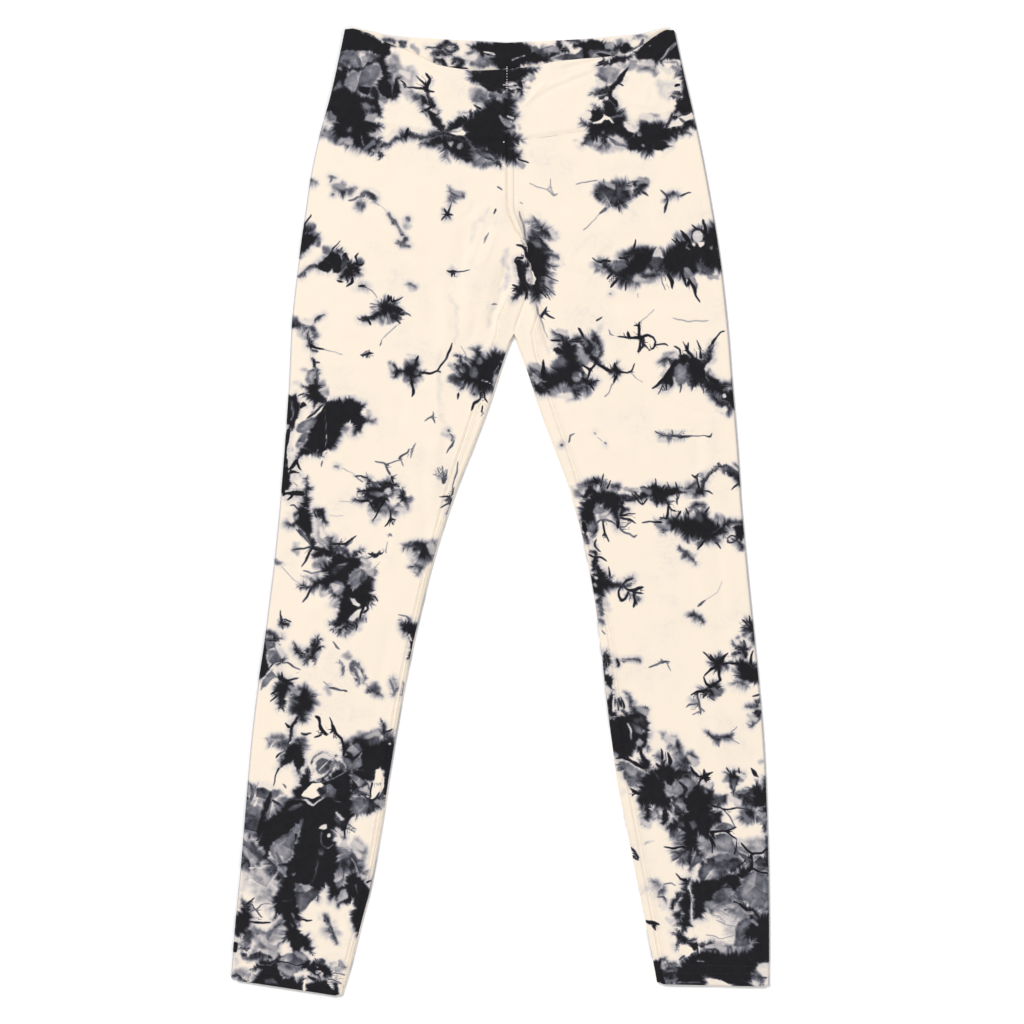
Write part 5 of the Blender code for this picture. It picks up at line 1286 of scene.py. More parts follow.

# Thin crisp lines, with two rows of painted crease shade: tone, and the x, y and half width of each point.
VEINS_AND_SHADE: tuple[Row, ...] = (
    # Waistband, the wearer's right and the centre.
    (0.9, 427, 75, 1.2, 430, 80, 1.3, 428, 86, 2, 426, 90, 3), (1, 432, 78, 0.4, 429, 82, 1),
    (0.85, 417, 77, 0.4, 425, 85, 1.2), (0.77, 404, 86, 0.8, 412, 87, 1, 420, 89, 1.2, 426, 90, 1.6),
    (1, 426, 90, 1.4, 430, 91, 0.8, 434, 91, 0.5), (1, 421, 112, 0.4, 428, 109, 1.6, 432, 106, 2),
    (1, 436, 105, 0.6, 433, 106, 2), (1, 408, 129, 0.8, 407, 135, 3.5), (1, 464, 116, 0.8, 466, 119, 2),
    (1, 473, 106, 0.6, 480, 110, 1.5), (1, 518, 159, 1, 524, 161, 0.8, 528, 163, 0.3),
    (0.8, 402, 82, 0.8, 406, 84, 1, 405, 88, 0.8),
    # Waistband, the wearer's left.
    (1, 664, 57, 0.3, 674, 46, 0.4), (1, 596, 66, 0.5, 603, 63, 1.5), (1, 598, 62, 0.5, 604, 60, 1),
    (1, 619, 84, 1, 622, 86, 0.8),
    # Thigh of the wearer's right leg.
    (0.37, 376, 203, 1, 380, 206, 0.5), (0.18, 380, 206, 0.5, 390, 214, 0.5),
    (0.44, 349, 200, 0.8, 354, 199, 1.5, 358, 197, 1.5), (1, 311, 214, 0.3, 306, 224, 0.8, 304, 232, 1.5),
    (0.74, 331, 252, 1.2, 336, 246, 0.8, 340, 241, 0.3), (0.74, 341, 250, 1.5, 343, 247, 0.6),
    (1, 343, 258, 0.8, 346, 254, 1.2, 349, 260, 1.2), (1, 355, 264, 1.5, 361, 265, 1.5, 363, 262, 0.6),
    (1, 357, 262, 1, 356, 256, 1, 359, 253, 0.5), (1, 352, 278, 1.4, 352, 283, 1.6, 348, 287, 0.8),
    (1, 339, 281, 1, 343, 282, 1.2), (0.45, 364, 286, 0.5, 372, 290, 0.5, 378, 298, 0.4),
    (1, 394, 303, 1.5, 398, 300, 1, 403, 297, 0.3), (1, 389, 302, 1.3, 389, 296, 0.7),
    (1, 392, 302, 1, 392, 297, 0.4), (1, 398, 308, 1.6, 404, 311, 0.6), (1, 398, 313, 1.8, 404, 315, 0.8),
    (1, 396, 318, 1.2, 400, 323, 0.4), (0.6, 404, 312, 0.8, 410, 316, 0.8),
    (1, 369, 320, 1.2, 371, 325, 0.9), (0.5, 378, 305, 0.8, 370, 304, 0.4),
    (0.5, 377, 308, 0.8, 370, 308, 0.4), (0.5, 377, 311, 0.8, 371, 313, 0.4),
    (0.3, 396, 325, 0.6, 388, 334, 0.5, 381, 342, 0.4), (0.7, 382, 343, 0.9, 380, 346, 0.5),
    (1, 312, 346, 2, 317, 349, 1.2, 324, 350, 0.6), (0.3, 324, 350, 0.5, 332, 352, 0.4, 342, 355, 0.3),
    (0.85, 316, 362, 1, 320, 363, 0.5), (1, 307, 418, 1, 315, 412, 1.3, 324, 405, 0.8),
    (0.9, 322, 466, 0.6, 323, 462, 0.8), (1, 417, 361, 1.5, 419, 356, 0.4),
    (1, 412, 382, 1.8, 413, 388, 1, 413, 391, 1.5, 412, 396, 0.7),
    (1, 422, 373, 1.8, 430, 373, 1, 438, 371, 0.8, 447, 356, 0.7, 450, 351, 0.9, 452, 344, 0.3),
    (0.8, 438, 371, 0.8, 440, 373, 0.8), (1, 480, 392, 1.2, 480, 398, 1.2, 474, 403, 1.2, 471, 410, 1),
    (1, 483, 391, 1.5, 485, 398, 0.8, 488, 402, 0.4), (0.9, 482, 406, 0.9, 481, 411, 0.7),
    (0.6, 483, 413, 0.5, 481, 416, 0.4), (0.8, 459, 394, 1.4, 457, 399, 0.6),
    (0.3, 461, 346, 0.4, 466, 356, 0.6), (0.5, 425, 420, 0.5, 432, 417, 1, 435, 423, 0.8),
    (0.5, 433, 417, 0.8, 434, 412, 0.3), (0.6, 454, 441, 0.8, 450, 447, 1, 447, 452, 0.4),
    (0.8, 451, 205, 0.8, 448, 213, 1), (1, 447, 216, 1.8, 444, 209, 0.4),
    (1, 446, 216, 1.2, 441, 220, 0.4), (1, 448, 216, 1.2, 452, 215, 0.4),
    (0.7, 496, 209, 1, 494, 213, 0.7), (0.7, 498, 187, 0.7, 502, 189, 0.7),
    (0.4, 488, 233, 0.4, 485, 237, 0.9, 484, 243, 0.3),
    (0.8, 448, 271, 0.4, 453, 272, 2.2, 457, 273, 0.8, 463, 272, 0.4, 470, 270, 0.3),
    (0.8, 453, 274, 1.5, 452, 277, 0.6), (0.7, 492, 304, 0.9, 496, 304, 0.7),
    (0.4, 520, 203, 0.6, 522, 204, 0.6),
    (0.85, 360, 355.5, 0.4, 366, 355, 1.6, 371, 354, 1.3, 374, 354, 0.3),
    (0.7, 366, 352, 0.3, 367, 358, 0.6), (0.7, 370, 351, 0.3, 370, 358, 0.4),
    (0.6, 363, 353, 0.3, 362, 358, 0.3),
    # Crotch, and the thigh of the wearer's left leg.
    (0.35, 530, 184, 0.4, 545, 190, 0.5, 552, 188, 0.5),
    (0.35, 551, 179, 0.4, 551, 188, 0.6, 553, 196, 0.8),
    (0.35, 546, 190, 0.5, 554, 196, 0.8, 556, 194, 0.8),
    (1, 517, 245, 0.8, 522, 246, 1.2, 526, 250, 1.8, 527, 256, 1.5, 530, 262, 1.5),
    (1, 515, 261, 1, 517, 258, 1, 523, 258, 1.5), (1, 516, 262, 1.2, 518, 266, 1.5),
    (0.9, 517, 287, 1.5, 512, 285, 0.8), (1, 517, 289, 1, 512, 291, 0.4),
    (0.8, 526, 293, 2, 525, 300, 0.6), (1, 540, 292, 1.5, 546, 298, 0.5),
    (0.95, 542, 317, 1.5, 545, 312, 1.8, 548, 315, 1.2, 554, 318, 0.4),
    (0.95, 545, 312, 1.5, 547, 307, 0.5), (0.7, 642, 191, 1.5, 648, 197, 0.5),
    (0.6, 606, 209, 2, 600, 214, 0.8), (0.35, 600, 214, 0.5, 592, 224, 0.4, 584, 231, 0.6),
    (0.4, 604, 180, 1, 604, 185, 2), (0.4, 577, 184, 0.4, 597, 181, 0.7),
    (0.8, 618, 207, 1.5, 619, 212, 0.4),
    (0.7, 660, 190, 0.5, 666, 195, 1.5, 668, 199, 1.5, 665, 208, 1.8, 664, 212, 0.7),
    (0.8, 682, 196, 1.5, 686, 194, 0.8, 691, 193, 0.3), (1, 592, 259, 0.5, 597, 262, 0.8, 603, 262, 1.2),
    (1, 603, 260, 1.8, 611, 261, 1), (1, 619, 258, 1, 624, 258, 1.4, 628, 261, 1.4),
    (1, 635, 240, 0.4, 635, 248, 1.3), (1, 656, 248, 0.4, 652, 253, 1.8),
    (1, 608, 279, 0.8, 612, 273, 1.8), (1, 611, 286, 0.8, 617, 278, 1.6),
    (0.9, 626, 282, 1.5, 625, 291, 0.4), (1, 680, 231, 0.5, 685, 236, 2, 689, 242, 3),
    (1, 692, 224, 0.5, 697, 229, 1.5), (1, 703, 221, 1, 706, 227, 2, 706, 234, 2),
    (1, 672, 240, 0.6, 680, 246, 1.5), (1, 676, 238, 0.6, 683, 246, 1.8),
    (1, 683, 276, 1.8, 685, 283, 1.2, 687, 288, 0.5),
    (1, 690, 280, 1.5, 693, 287, 2, 697, 296, 1, 700, 302, 0.4), (1, 689, 283, 1.5, 687, 288, 0.6),
    (1, 668, 274, 2, 672, 281, 2.2, 673, 288, 0.7), (0.5, 661, 276, 0.6, 662, 284, 0.5, 665, 290, 0.3),
    (0.3, 638, 293, 0.5, 639, 298, 0.3), (0.8, 597, 320, 1, 602, 317, 0.6),
    (0.35, 672, 318, 0.4, 690, 321, 0.6, 708, 321, 0.4), (1, 582, 364, 1.2, 590, 371, 1, 596, 362, 1.2),
    (1, 590, 371, 1, 588, 378, 1.2), (1, 579, 328, 0.6, 583, 336, 1.5),
    (0.9, 551, 340, 0.8, 560, 341, 1.5), (1, 594, 361, 1.2, 604, 367, 1.6, 610, 370, 1.8),
    (1, 588, 384, 1.5, 594, 382, 1, 600, 381, 0.4), (1, 590, 384, 1.5, 594, 390, 0.5),
    (1, 543, 360, 0.5, 544, 368, 2, 544, 374, 3), (1, 614, 363, 0.5, 616, 370, 2.5),
    (1, 616, 377, 2, 613, 384, 0.5), (0.4, 613, 384, 0.5, 608, 393, 0.4, 605, 396, 0.5),
    (1, 620, 372, 1.8, 628, 373, 1, 631, 370, 0.8, 634, 363, 0.4),
    (0.35, 631, 373, 0.5, 636, 378, 0.4, 643, 382, 0.3),
    (1, 618, 336, 0.5, 626, 337, 1, 634, 337, 1.3, 641, 339, 1.8, 647, 336, 1.2, 653, 338, 0.7, 656, 342,
     0.7, 654, 348, 0.7, 649, 351, 0.4),
    (1, 627, 332, 1.5, 628, 337, 1.5), (1, 639, 322, 0.4, 638, 328, 1.5, 640, 338, 1.3),
    (1, 634, 326, 0.5, 639, 326, 1),
    (1, 641, 339, 1.4, 640, 347, 0.8, 638, 352, 0.6, 643, 347, 0.8, 644, 340, 1.5),
    (1, 644, 344, 0.8, 648, 349, 0.4), (0.9, 657, 345, 0.5, 664, 344, 0.7, 668, 346, 0.4),
    (0.3, 640, 322, 0.4, 648, 315, 0.3, 654, 309, 0.3), (0.4, 609, 330, 0.5, 610, 334, 0.8, 614, 335, 0.4),
    (1, 652, 388, 0.4, 660, 382, 2, 666, 377, 3, 671, 368, 2.5, 675, 361, 2),
    (1, 665, 380, 2, 666, 390, 0.6), (1, 688, 343, 0.5, 688, 352, 1.5, 693, 358, 2),
    (1, 675, 346, 0.5, 680, 350, 0.8, 681, 356, 0.8), (1, 699, 350, 0.5, 701, 358, 1.5),
    (1, 711, 344, 1.5, 714, 340, 0.8, 718, 336, 0.5, 722, 331, 0.5, 725, 331, 0.5),
    (0.75, 654, 431, 0.4, 662, 436, 1, 670, 437, 1.3, 676, 436, 1.3, 686, 437, 1.2, 694, 436, 0.4, 704,
     436, 0.3, 710, 437, 1, 712, 434, 0.4),
    (0.7, 672, 430, 0.4, 673, 436, 1), (0.5, 569, 442, 1, 570, 436, 1, 574, 434, 0.4),
    (0.25, 598, 438, 0.4, 603, 442, 0.4), (0.8, 545, 262, 1.3, 557, 267, 0.2),
    (0.8, 545, 275, 1.3, 558, 281, 0.2), (0.8, 543, 285, 1.3, 555, 295, 0.2),
    (0.7, 545, 268, 1.1, 553, 262, 0.2), (0.7, 544, 290, 1.1, 550, 300, 0.2),
    (0.9, 688, 352, 1, 682, 342, 0.2), (0.9, 700, 350, 1, 697, 340, 0.2),
    (0.9, 708, 348, 1, 712, 342, 0.2), (0.8, 662, 386, 1.1, 658, 394, 0.2),
    (0.8, 682, 384, 0.9, 680, 393, 0.2), (0.8, 704, 386, 0.9, 703, 394, 0.2),
    (0.9, 694, 384, 1.2, 691, 391, 0.2), (0.9, 701, 383, 1.2, 702, 390, 0.2),
    # Painted shade in the crease beside the rise seam and in the crease down the inside of the wearer's
    # left thigh, for the next two rows.
    (0.34, 519.5, 212, 0.5, 522.5, 222, 1.2, 525.5, 234, 1.5, 528, 246, 1.6),
    (0.3, 536, 302, 1.2, 541, 318, 1, 547, 338, 0.4),
    (0.55, 349, 50, 1, 355, 55, 2.6, 360, 62, 2.6, 362, 69, 1),
    (0.5, 325, 104, 1.2, 328, 112, 2.2, 329, 120, 1), (0.34, 611, 140, 1, 617, 143, 2.4, 624, 144, 1),
    (0.5, 480, 154, 1, 487, 157, 2.6, 492, 161, 1.2), (0.6, 664, 500, 0.8, 668, 502, 1.4, 674, 501, 0.6),
    (0.5, 354, 668, 1, 357, 676, 2.2, 359, 684, 1), (0.42, 391, 680, 1, 393, 690, 2),
    (0.75, 679, 783, 1.4, 686, 789, 2.8, 683, 797, 1.4), (0.75, 673, 803, 1.4, 679, 809, 2.5, 684, 812, 1),
    (0.55, 737, 852, 1.4, 744, 857, 2.8, 751, 861, 1.4),
    (0.5, 277, 852, 1.4, 281, 862, 2.6, 284, 872, 1.4), (0.8, 308, 976, 1.4, 316, 980, 2),
    (0.4, 424, 108, 1.4, 427, 116, 2), (0.7, 478, 153, 1.2, 487, 158, 2.6, 494, 161, 1.2),
    (0.9, 510, 78, 2, 518, 82, 3, 522, 88, 2), (0.48, 610, 139, 1.4, 618, 144, 2.8, 626, 146, 1.2),
    (0.5, 680, 119, 1.4, 688, 124, 2.4, 692, 126, 1.2), (0.6, 251, 784, 1.2, 253, 793, 2.4, 251, 801, 1.2),
    (0.7, 272, 800, 1.2, 279, 804, 2.4, 285, 808, 1), (0.4, 658, 435, 0.6, 663, 432, 0.3),
    (0.4, 670, 437, 0.5, 672, 443, 0.3), (0.4, 678, 436, 0.5, 681, 431, 0.3),
    # Knee of the wearer's right leg.
    (1, 296, 461, 1.8, 299, 466, 1.2, 301, 470, 0.4),
    (0.8, 291, 505, 0.6, 294, 505, 0.9, 297, 509, 0.9, 299, 512, 0.7), (0.4, 294, 482, 0.5, 297, 487, 0.4),
    (0.7, 296, 529, 0.6, 303, 536, 0.6, 310, 543, 0.7),
    (0.7, 311, 547, 1.2, 303, 548, 0.8, 296, 549, 1.6, 292, 550, 0.5),
    (0.85, 312, 549, 1.2, 308, 555, 1.2, 305, 561, 0.9, 302, 566, 0.4),
    (1, 333, 545, 1.2, 340, 544, 1, 346, 543.5, 1.2, 350, 540, 0.8, 356, 536, 0.3),
    (1, 368, 553, 0.6, 372, 555, 1.5, 376, 556, 1.5, 379, 553, 1, 379, 551.5, 0.6),
    (1, 372, 552, 0.5, 373, 556, 1.4), (0.9, 381, 554, 0.8, 384, 552, 0.5),
    (0.5, 365, 560, 0.5, 370, 558, 0.4), (0.5, 304, 570, 0.8, 312, 573, 0.8, 320, 572, 1, 327, 569, 1.5),
    (0.85, 311, 590, 1.3, 308, 596, 1.2, 303, 601, 0.5), (0.25, 280, 565, 0.4, 300, 585, 0.4),
    (0.35, 373, 572, 0.5, 380, 562, 0.3), (0.9, 370, 597, 1, 374, 596, 1, 377, 601, 0.6),
    (1, 369, 598, 1.2, 368, 606, 1.2, 369, 609, 1, 364, 612, 1.2),
    (1, 357, 491, 0.4, 363, 491, 1, 368, 492, 0.8), (1, 355, 498, 0.5, 360, 501, 1.2, 368, 501, 1.5),
    (1, 370, 503, 1.5, 373, 508, 1, 375, 511, 0.6),
    (1, 384, 500, 1.8, 380, 508, 1.3, 376, 516, 0.8, 373, 521, 0.3),
    (0.95, 391, 510, 1, 391, 518, 0.9, 388, 523, 0.9, 385, 526, 0.6), (0.9, 391, 518, 0.8, 396, 520, 0.6),
    (0.9, 391, 520, 0.8, 394, 524, 0.5), (0.8, 354, 476, 0.4, 360, 475, 0.8, 366, 478, 1.2, 370, 482, 1),
    (0.6, 376, 461, 0.5, 384, 464, 0.8, 387, 469, 1, 389, 474, 1),
    (0.6, 386, 465, 0.8, 395, 462, 0.5, 402, 461, 0.5, 404, 466, 0.4), (0.9, 391, 477, 1.2, 393, 483, 0.9),
    (0.5, 391, 477, 0.6, 396, 474, 0.3), (0.25, 340, 501, 0.4, 360, 502, 0.5),
    (0.6, 389, 537, 0.4, 390, 534, 0.9, 392, 537, 0.4), (0.4, 387, 542, 0.4, 386, 548, 0.5, 387, 552, 0.3),
    (0.25, 342, 468, 0.4, 355, 474, 0.4), (0.75, 314, 511, 0.8, 316, 517, 1.2),
    (0.25, 330, 515, 0.4, 343, 516, 0.3),
    (0.6, 400, 459, 1.2, 404, 455, 0.9, 408, 453, 0.8, 409, 450, 0.5),
    (0.4, 411, 458, 0.5, 413, 448, 0.8, 415, 443, 0.4), (0.6, 443, 483, 1.3, 438, 468, 0.3),
    (0.6, 444, 482, 1.3, 443, 466, 0.3), (0.55, 445, 480, 1.1, 448, 470, 0.3),
    (0.5, 440, 476, 0.8, 433, 474, 0.2), (0.9, 449, 497, 1, 440, 496, 0.2),
    (0.9, 448, 503, 0.9, 441, 507, 0.2), (0.8, 452, 495, 0.9, 455, 488, 0.3),
    (0.5, 458, 462, 0.5, 455, 478, 0.8, 452, 492, 0.5), (0.55, 449, 434, 0.6, 453, 437, 1, 451, 441, 0.9),
    (0.5, 325, 546, 0.7, 318, 540, 0.2), (0.6, 330, 548, 1, 326, 538, 0.2),
    (0.6, 338, 548, 1, 342, 538, 0.2), (0.6, 345, 547, 1, 352, 541, 0.2),
    (0.4, 362, 482, 0.8, 354, 476, 0.2), (0.4, 369, 482, 0.9, 366, 471, 0.2),
    # Knee of the wearer's left leg.
    (1, 603, 474, 0.4, 601, 481, 0.8, 601, 486, 1.3), (1, 610, 480, 0.4, 607, 487, 1.2),
    (1, 594, 477, 1, 597, 482, 2),
    (0.6, 596, 523, 1.5, 600, 520, 1, 606, 520, 1.5, 612, 522, 1, 617, 527, 1),
    (1, 603, 521, 0.8, 603, 528, 1.2, 604, 533, 1, 608, 541, 0.4), (1, 604, 534, 1, 602, 536, 0.6),
    (0.9, 620, 515, 1.2, 628, 513.5, 0.8, 635, 513.5, 0.3),
    (0.9, 620, 518, 1.2, 628, 520, 1.2, 635, 524, 0.4), (0.6, 619, 527, 1, 625, 526, 0.5, 630, 523, 0.3),
    (0.6, 620, 529, 1, 627, 533, 0.6, 633, 537, 1, 636, 535, 0.4),
    (0.8, 596, 540, 0.6, 595, 546, 1.2, 600, 551, 0.5),
    (1, 589, 554, 0.8, 594, 557, 1.3, 600, 557, 1.2, 606, 561, 0.5),
    (1, 592, 574, 0.8, 598, 575, 1.2, 602, 578, 1.5), (1, 608, 568, 0.5, 609, 576, 1.2),
    (0.85, 623, 584, 1.5, 627, 580, 1.2, 633, 578, 0.9),
    (0.85, 624, 586, 1, 628, 590, 1.2, 633, 591, 2.5, 638, 588, 1.8, 642, 587, 1.2),
    (0.85, 634, 592, 1.5, 643, 593, 0.5), (1, 634, 592, 1.5, 634, 600, 1.5, 634, 607, 1.2),
    (0.85, 635, 600, 1.2, 638, 605, 0.6),
    (0.85, 629, 593, 1.2, 625, 598, 1.2, 621, 600, 1.5, 619, 597, 1.2, 619, 591, 1, 621, 587, 1.2),
    (1, 631, 492, 0.4, 636, 498, 1, 640, 503, 0.8, 642, 505, 0.4),
    (1, 634, 491, 0.6, 637, 495, 0.8, 640, 497, 0.8), (1, 646, 499, 0.8, 643, 504, 0.5),
    (0.9, 640, 487, 0.5, 644, 487, 1, 648, 489, 1), (1, 655, 483, 0.5, 658, 490, 2),
    (1, 664, 485, 0.6, 661, 490, 1.6), (1, 676, 483, 0.5, 677, 489, 1.2), (1, 679, 493, 1, 678, 499, 0.4),
    (1, 668, 507, 1.2, 668, 512, 1.2, 667, 517, 1.5), (0.9, 672, 510, 0.6, 675, 511, 1),
    (1, 679, 512, 1.2, 677, 516, 0.8, 674, 520, 0.6), (0.9, 691, 474, 0.5, 695, 477, 1, 698, 473, 0.5),
    (0.9, 697, 477, 0.8, 698, 484, 1, 698, 490, 2.5), (0.9, 702, 490, 0.8, 708, 491, 0.7, 712, 494, 0.4),
    (0.9, 738, 484, 1, 734, 487, 0.9, 731, 489, 0.4),
    (1, 642, 523, 0.3, 650, 522, 0.4, 657, 522, 1.2, 661, 522, 1.5), (1, 660, 517, 0.5, 668, 519, 1.2),
    (1, 686, 508, 0.5, 688, 514, 1.3), (1, 709, 507, 0.5, 706, 513, 1.5),
    (1, 707, 538, 1.2, 702, 545, 1.5, 698, 549, 0.6), (1, 716, 542, 1, 721, 548, 0.4),
    (0.6, 697, 607, 0.4, 701, 604, 1.1, 706, 601, 0.5), (0.2, 706, 601, 0.4, 718, 592, 0.4, 722, 582, 0.4),
    (0.98, 656, 498, 1.5, 656, 507, 0.3), (0.98, 664, 497, 1.5, 668, 503, 1.2, 672, 509, 0.6),
    (0.9, 657, 486, 1, 655, 478, 0.2), (0.9, 669, 488, 1, 667, 481, 0.2),
    (0.9, 676, 495, 0.9, 678, 505, 0.2),
    (0.9, 727, 538, 0.5, 731, 536, 0.7, 736, 537, 0.8, 737, 540, 0.8, 733, 542.5, 0.7, 728, 541.5, 0.6,
     727, 539, 0.5),
    (0.95, 738, 535, 1.2, 741, 541, 1),
    # Calf of the wearer's right leg.
    (0.75, 281, 611, 0.3, 282, 618, 1.2, 283, 624, 1.8, 283, 629, 0.6), (0.9, 286, 619, 0.8, 290, 621, 1),
    (0.7, 283, 664, 0.6, 288, 663, 0.6, 294, 667, 1.2, 300, 670, 0.4),
    (0.8, 270, 667, 0.8, 274, 663, 0.8, 280, 661, 0.8), (0.6, 271, 671, 0.6, 277, 677, 0.6),
    (1, 282, 672, 0.5, 283, 678, 1.5), (1, 277, 690, 1.5, 272, 693, 1), (1, 277, 694, 1.2, 271, 701, 0.5),
    (1, 286, 680, 1.5, 292, 679, 1, 298, 678, 0.4), (1, 286, 723, 0.6, 290, 726, 1.8),
    (0.6, 294, 642, 0.4, 296, 648, 1.2), (0.5, 333, 642, 0.4, 337, 647, 1.2, 339, 649, 0.5),
    (0.6, 344, 667, 1, 342, 671, 1),
    (0.6, 330, 688, 0.8, 334, 689, 1.3, 338, 690, 1, 344, 690, 0.8, 346, 691, 1.3),
    (0.35, 324, 681, 0.5, 329, 686, 0.6), (0.5, 398, 615, 0.4, 405, 617, 0.8, 409, 620, 1.5),
    (0.8, 407, 659, 0.5, 410, 658, 0.8),
    (1, 316, 716, 1.2, 319, 718, 1.5, 320, 724, 1, 322, 729, 2.2, 325, 733, 2, 327, 733, 0.8),
    (1, 315, 737, 0.6, 320, 734, 1),
    (1, 330, 718, 0.3, 333, 724, 1, 335, 730, 2, 338, 735, 1.2, 342, 739, 1, 344, 744, 1.5, 345, 750, 1.8,
     344, 755, 1.5),
    (0.9, 331, 732, 0.8, 335, 730, 1.5), (0.6, 335, 732, 0.8, 334, 738, 0.5),
    (0.8, 302, 733, 0.6, 305, 734, 1.2, 311, 733.5, 0.4), (0.9, 386, 732, 1, 392, 730, 0.5),
    (1, 355, 622, 1, 357, 626, 1.2, 356, 632, 0.4), (1, 361, 611, 1.2, 360, 619, 1),
    (0.6, 366, 618, 1, 367, 622, 0.5), (0.9, 284, 751, 0.6, 279, 753, 1, 276, 757, 1.2),
    (0.9, 278, 768, 1, 276, 774, 0.6, 273, 785, 0.3),
    (1, 362, 793, 0.6, 366, 797, 0.8, 371, 800, 1, 376, 797, 0.8, 379, 792, 0.6),
    (1, 372, 783, 1, 371, 790, 0.8, 371, 796, 0.6),
    (1, 353, 813, 1.5, 349, 818, 1.2, 346, 824, 1.2, 345, 830, 1, 346, 838, 0.5),
    (0.5, 348, 822, 0.8, 356, 828, 0.5), (0.5, 348, 827, 0.8, 355, 832, 0.4),
    (1, 301, 919, 1, 306, 920, 0.8, 312, 919, 0.4), (0.8, 246, 903, 1.5, 252, 899, 0.8, 255, 897, 0.3),
    (0.56, 247, 904, 1, 252, 903, 0.8, 255, 909, 1, 262, 916, 0.6),
    (0.56, 248, 913, 1, 254, 910, 1, 262, 905, 0.5, 270, 903, 0.4),
    (1, 250, 921, 0.8, 256, 921, 1, 262, 922, 1, 270, 922, 0.5),
    (0.9, 279, 962, 0.8, 288, 963, 0.8, 298, 965, 0.8, 305, 964, 1), (0.7, 315, 958, 0.5, 318, 963, 1),
    (0.56, 328, 973, 0.6, 336, 973, 0.4, 345, 975, 0.3), (0.56, 328, 978, 1, 334, 980, 0.8, 342, 984, 0.6),
    (1, 367, 882, 1, 371, 880, 0.7), (0.4, 377, 784, 0.7, 377, 785, 0.7),
    (0.4, 380, 784, 0.7, 380, 785, 0.7), (0.7, 283, 784, 0.5, 286, 787, 0.6),
    # Calf of the wearer's left leg.
    (1, 661, 749, 0.6, 662, 758, 2), (1, 667, 752, 0.8, 669, 757, 1.5, 670, 763, 2.5),
    (1, 631, 789, 0.8, 636, 793, 2, 640, 794, 2), (1, 632, 796, 0.6, 635, 792, 1),
    (1, 656, 764, 0.6, 662, 768, 2), (1, 645, 765, 0.8, 647, 772, 0.8),
    (1, 665, 847, 0.5, 674, 848, 1.2, 684, 847, 1.5),
    (1, 698, 785, 0.8, 701, 779, 1.2, 704, 776, 2.5, 713, 772, 0.5), (1, 704, 770, 0.8, 704, 776, 2.5),
    (1, 698, 776, 1, 704, 777, 2, 710, 779, 0.6), (1, 705, 777, 1.5, 706, 782, 0.8),
    (1, 691, 767, 0.8, 693, 772, 1.8, 697, 776, 1.5), (1, 698, 784, 1, 694, 788, 1.5),
    (0.8, 726, 768, 0.5, 728, 772, 1), (1, 739, 767, 0.4, 739, 772, 1),
    (0.95, 751, 769, 0.5, 755, 773, 2, 759, 777, 0.4),
    (1, 710, 804, 1.5, 716, 807, 1.2, 723, 809, 0.8, 735, 808, 0.6, 750, 810, 0.8),
    (0.5, 724, 810, 0.6, 730, 818, 0.8, 734, 828, 0.6),
    (1, 711, 831, 1.8, 718, 830, 1.2, 726, 830, 1, 735, 828, 0.8), (1, 712, 832, 2, 714, 838, 0.8),
    (1, 710, 838, 2, 713, 848, 1, 712, 853, 0.8), (1, 710, 838, 1.5, 716, 847, 0.8),
    (1, 726, 831, 1, 731, 836, 1, 736, 839, 0.6), (1, 736, 842, 0.6, 735, 850, 1, 734, 854, 1),
    (1, 741, 843, 0.8, 746, 850, 1.2, 752, 853, 1.2, 762, 852, 1.2, 767, 848, 1.5),
    (1, 752, 853, 1.2, 751, 862, 1.5, 750, 870, 2), (1, 751, 855, 1, 744, 862, 0.8, 739, 866, 0.6),
    (1, 752, 868, 1.5, 760, 871, 1.2, 767, 873, 1.2), (1, 764, 856, 0.8, 768, 866, 1),
    (1, 676, 873, 0.5, 680, 878, 1.2, 686, 880, 2.5), (1, 733, 901, 0.8, 740, 905, 1.5, 746, 910, 2.5),
    (0.8, 679, 960, 0.8, 684, 956, 0.6), (0.95, 646, 921, 1, 652, 923, 2, 659, 924, 0.6),
    (0.95, 654, 925, 1.5, 656, 929, 0.5), (0.9, 631, 848, 1, 635, 852, 1.5, 638, 857, 1),
    (0.9, 633, 856, 1.2, 638, 860, 0.6), (0.5, 664, 884, 1, 672, 883, 0.8, 676, 886, 0.4),
    (0.65, 658, 896, 0.6, 663, 897, 1.2, 666, 901, 0.8), (1, 618, 698, 0.5, 621, 706, 1),
    (0.8, 621, 697, 0.5, 624, 707, 1.5), (0.6, 617, 699, 0.5, 619, 710, 1),
    (1, 640, 751, 1.8, 642, 757, 1.2, 646, 762, 1.5),
    (1, 616, 758, 0.8, 622, 757, 1.2, 628, 759, 1.5, 636, 764, 1.8, 643, 768, 1.8),
    (0.65, 650, 667, 0.5, 658, 664, 1.2, 665, 662, 1.2, 670, 662, 0.4), (0.5, 661, 659, 0.8, 663, 663, 1),
    (0.5, 668, 665, 0.8, 671, 670, 0.4), (1, 702, 652, 0.4, 710, 658, 1, 716, 662, 2),
    (1, 711, 654, 0.6, 715, 660, 2), (1, 728, 653, 0.6, 724, 657, 2, 720, 662, 3),
    (1, 714, 668, 2, 709, 671, 1.2, 704, 675, 0.6), (1, 724, 664, 1.5, 730, 663, 1, 737, 663, 1.5),
    (1, 719, 670, 2, 719, 676, 1.2, 721, 679, 1.2, 717, 683, 1.2, 713, 686, 2),
    (0.5, 720, 655, 1.2, 721, 650, 0.4), (1, 703, 677, 0.5, 706, 684, 1.2, 711, 687, 2.5),
    (0.75, 716, 686, 1.8, 722, 686, 0.7), (0.75, 716, 687, 1.5, 722, 691, 0.4),
    (1, 706, 689, 2, 698, 692, 1.5, 691, 696, 0.5), (0.75, 712, 693, 2.5, 710, 696, 1, 715, 700, 0.7),
    (1, 707, 693, 1.5, 704, 697, 0.6), (0.6, 698, 692, 1.2, 699, 704, 1, 700, 714, 0.8),
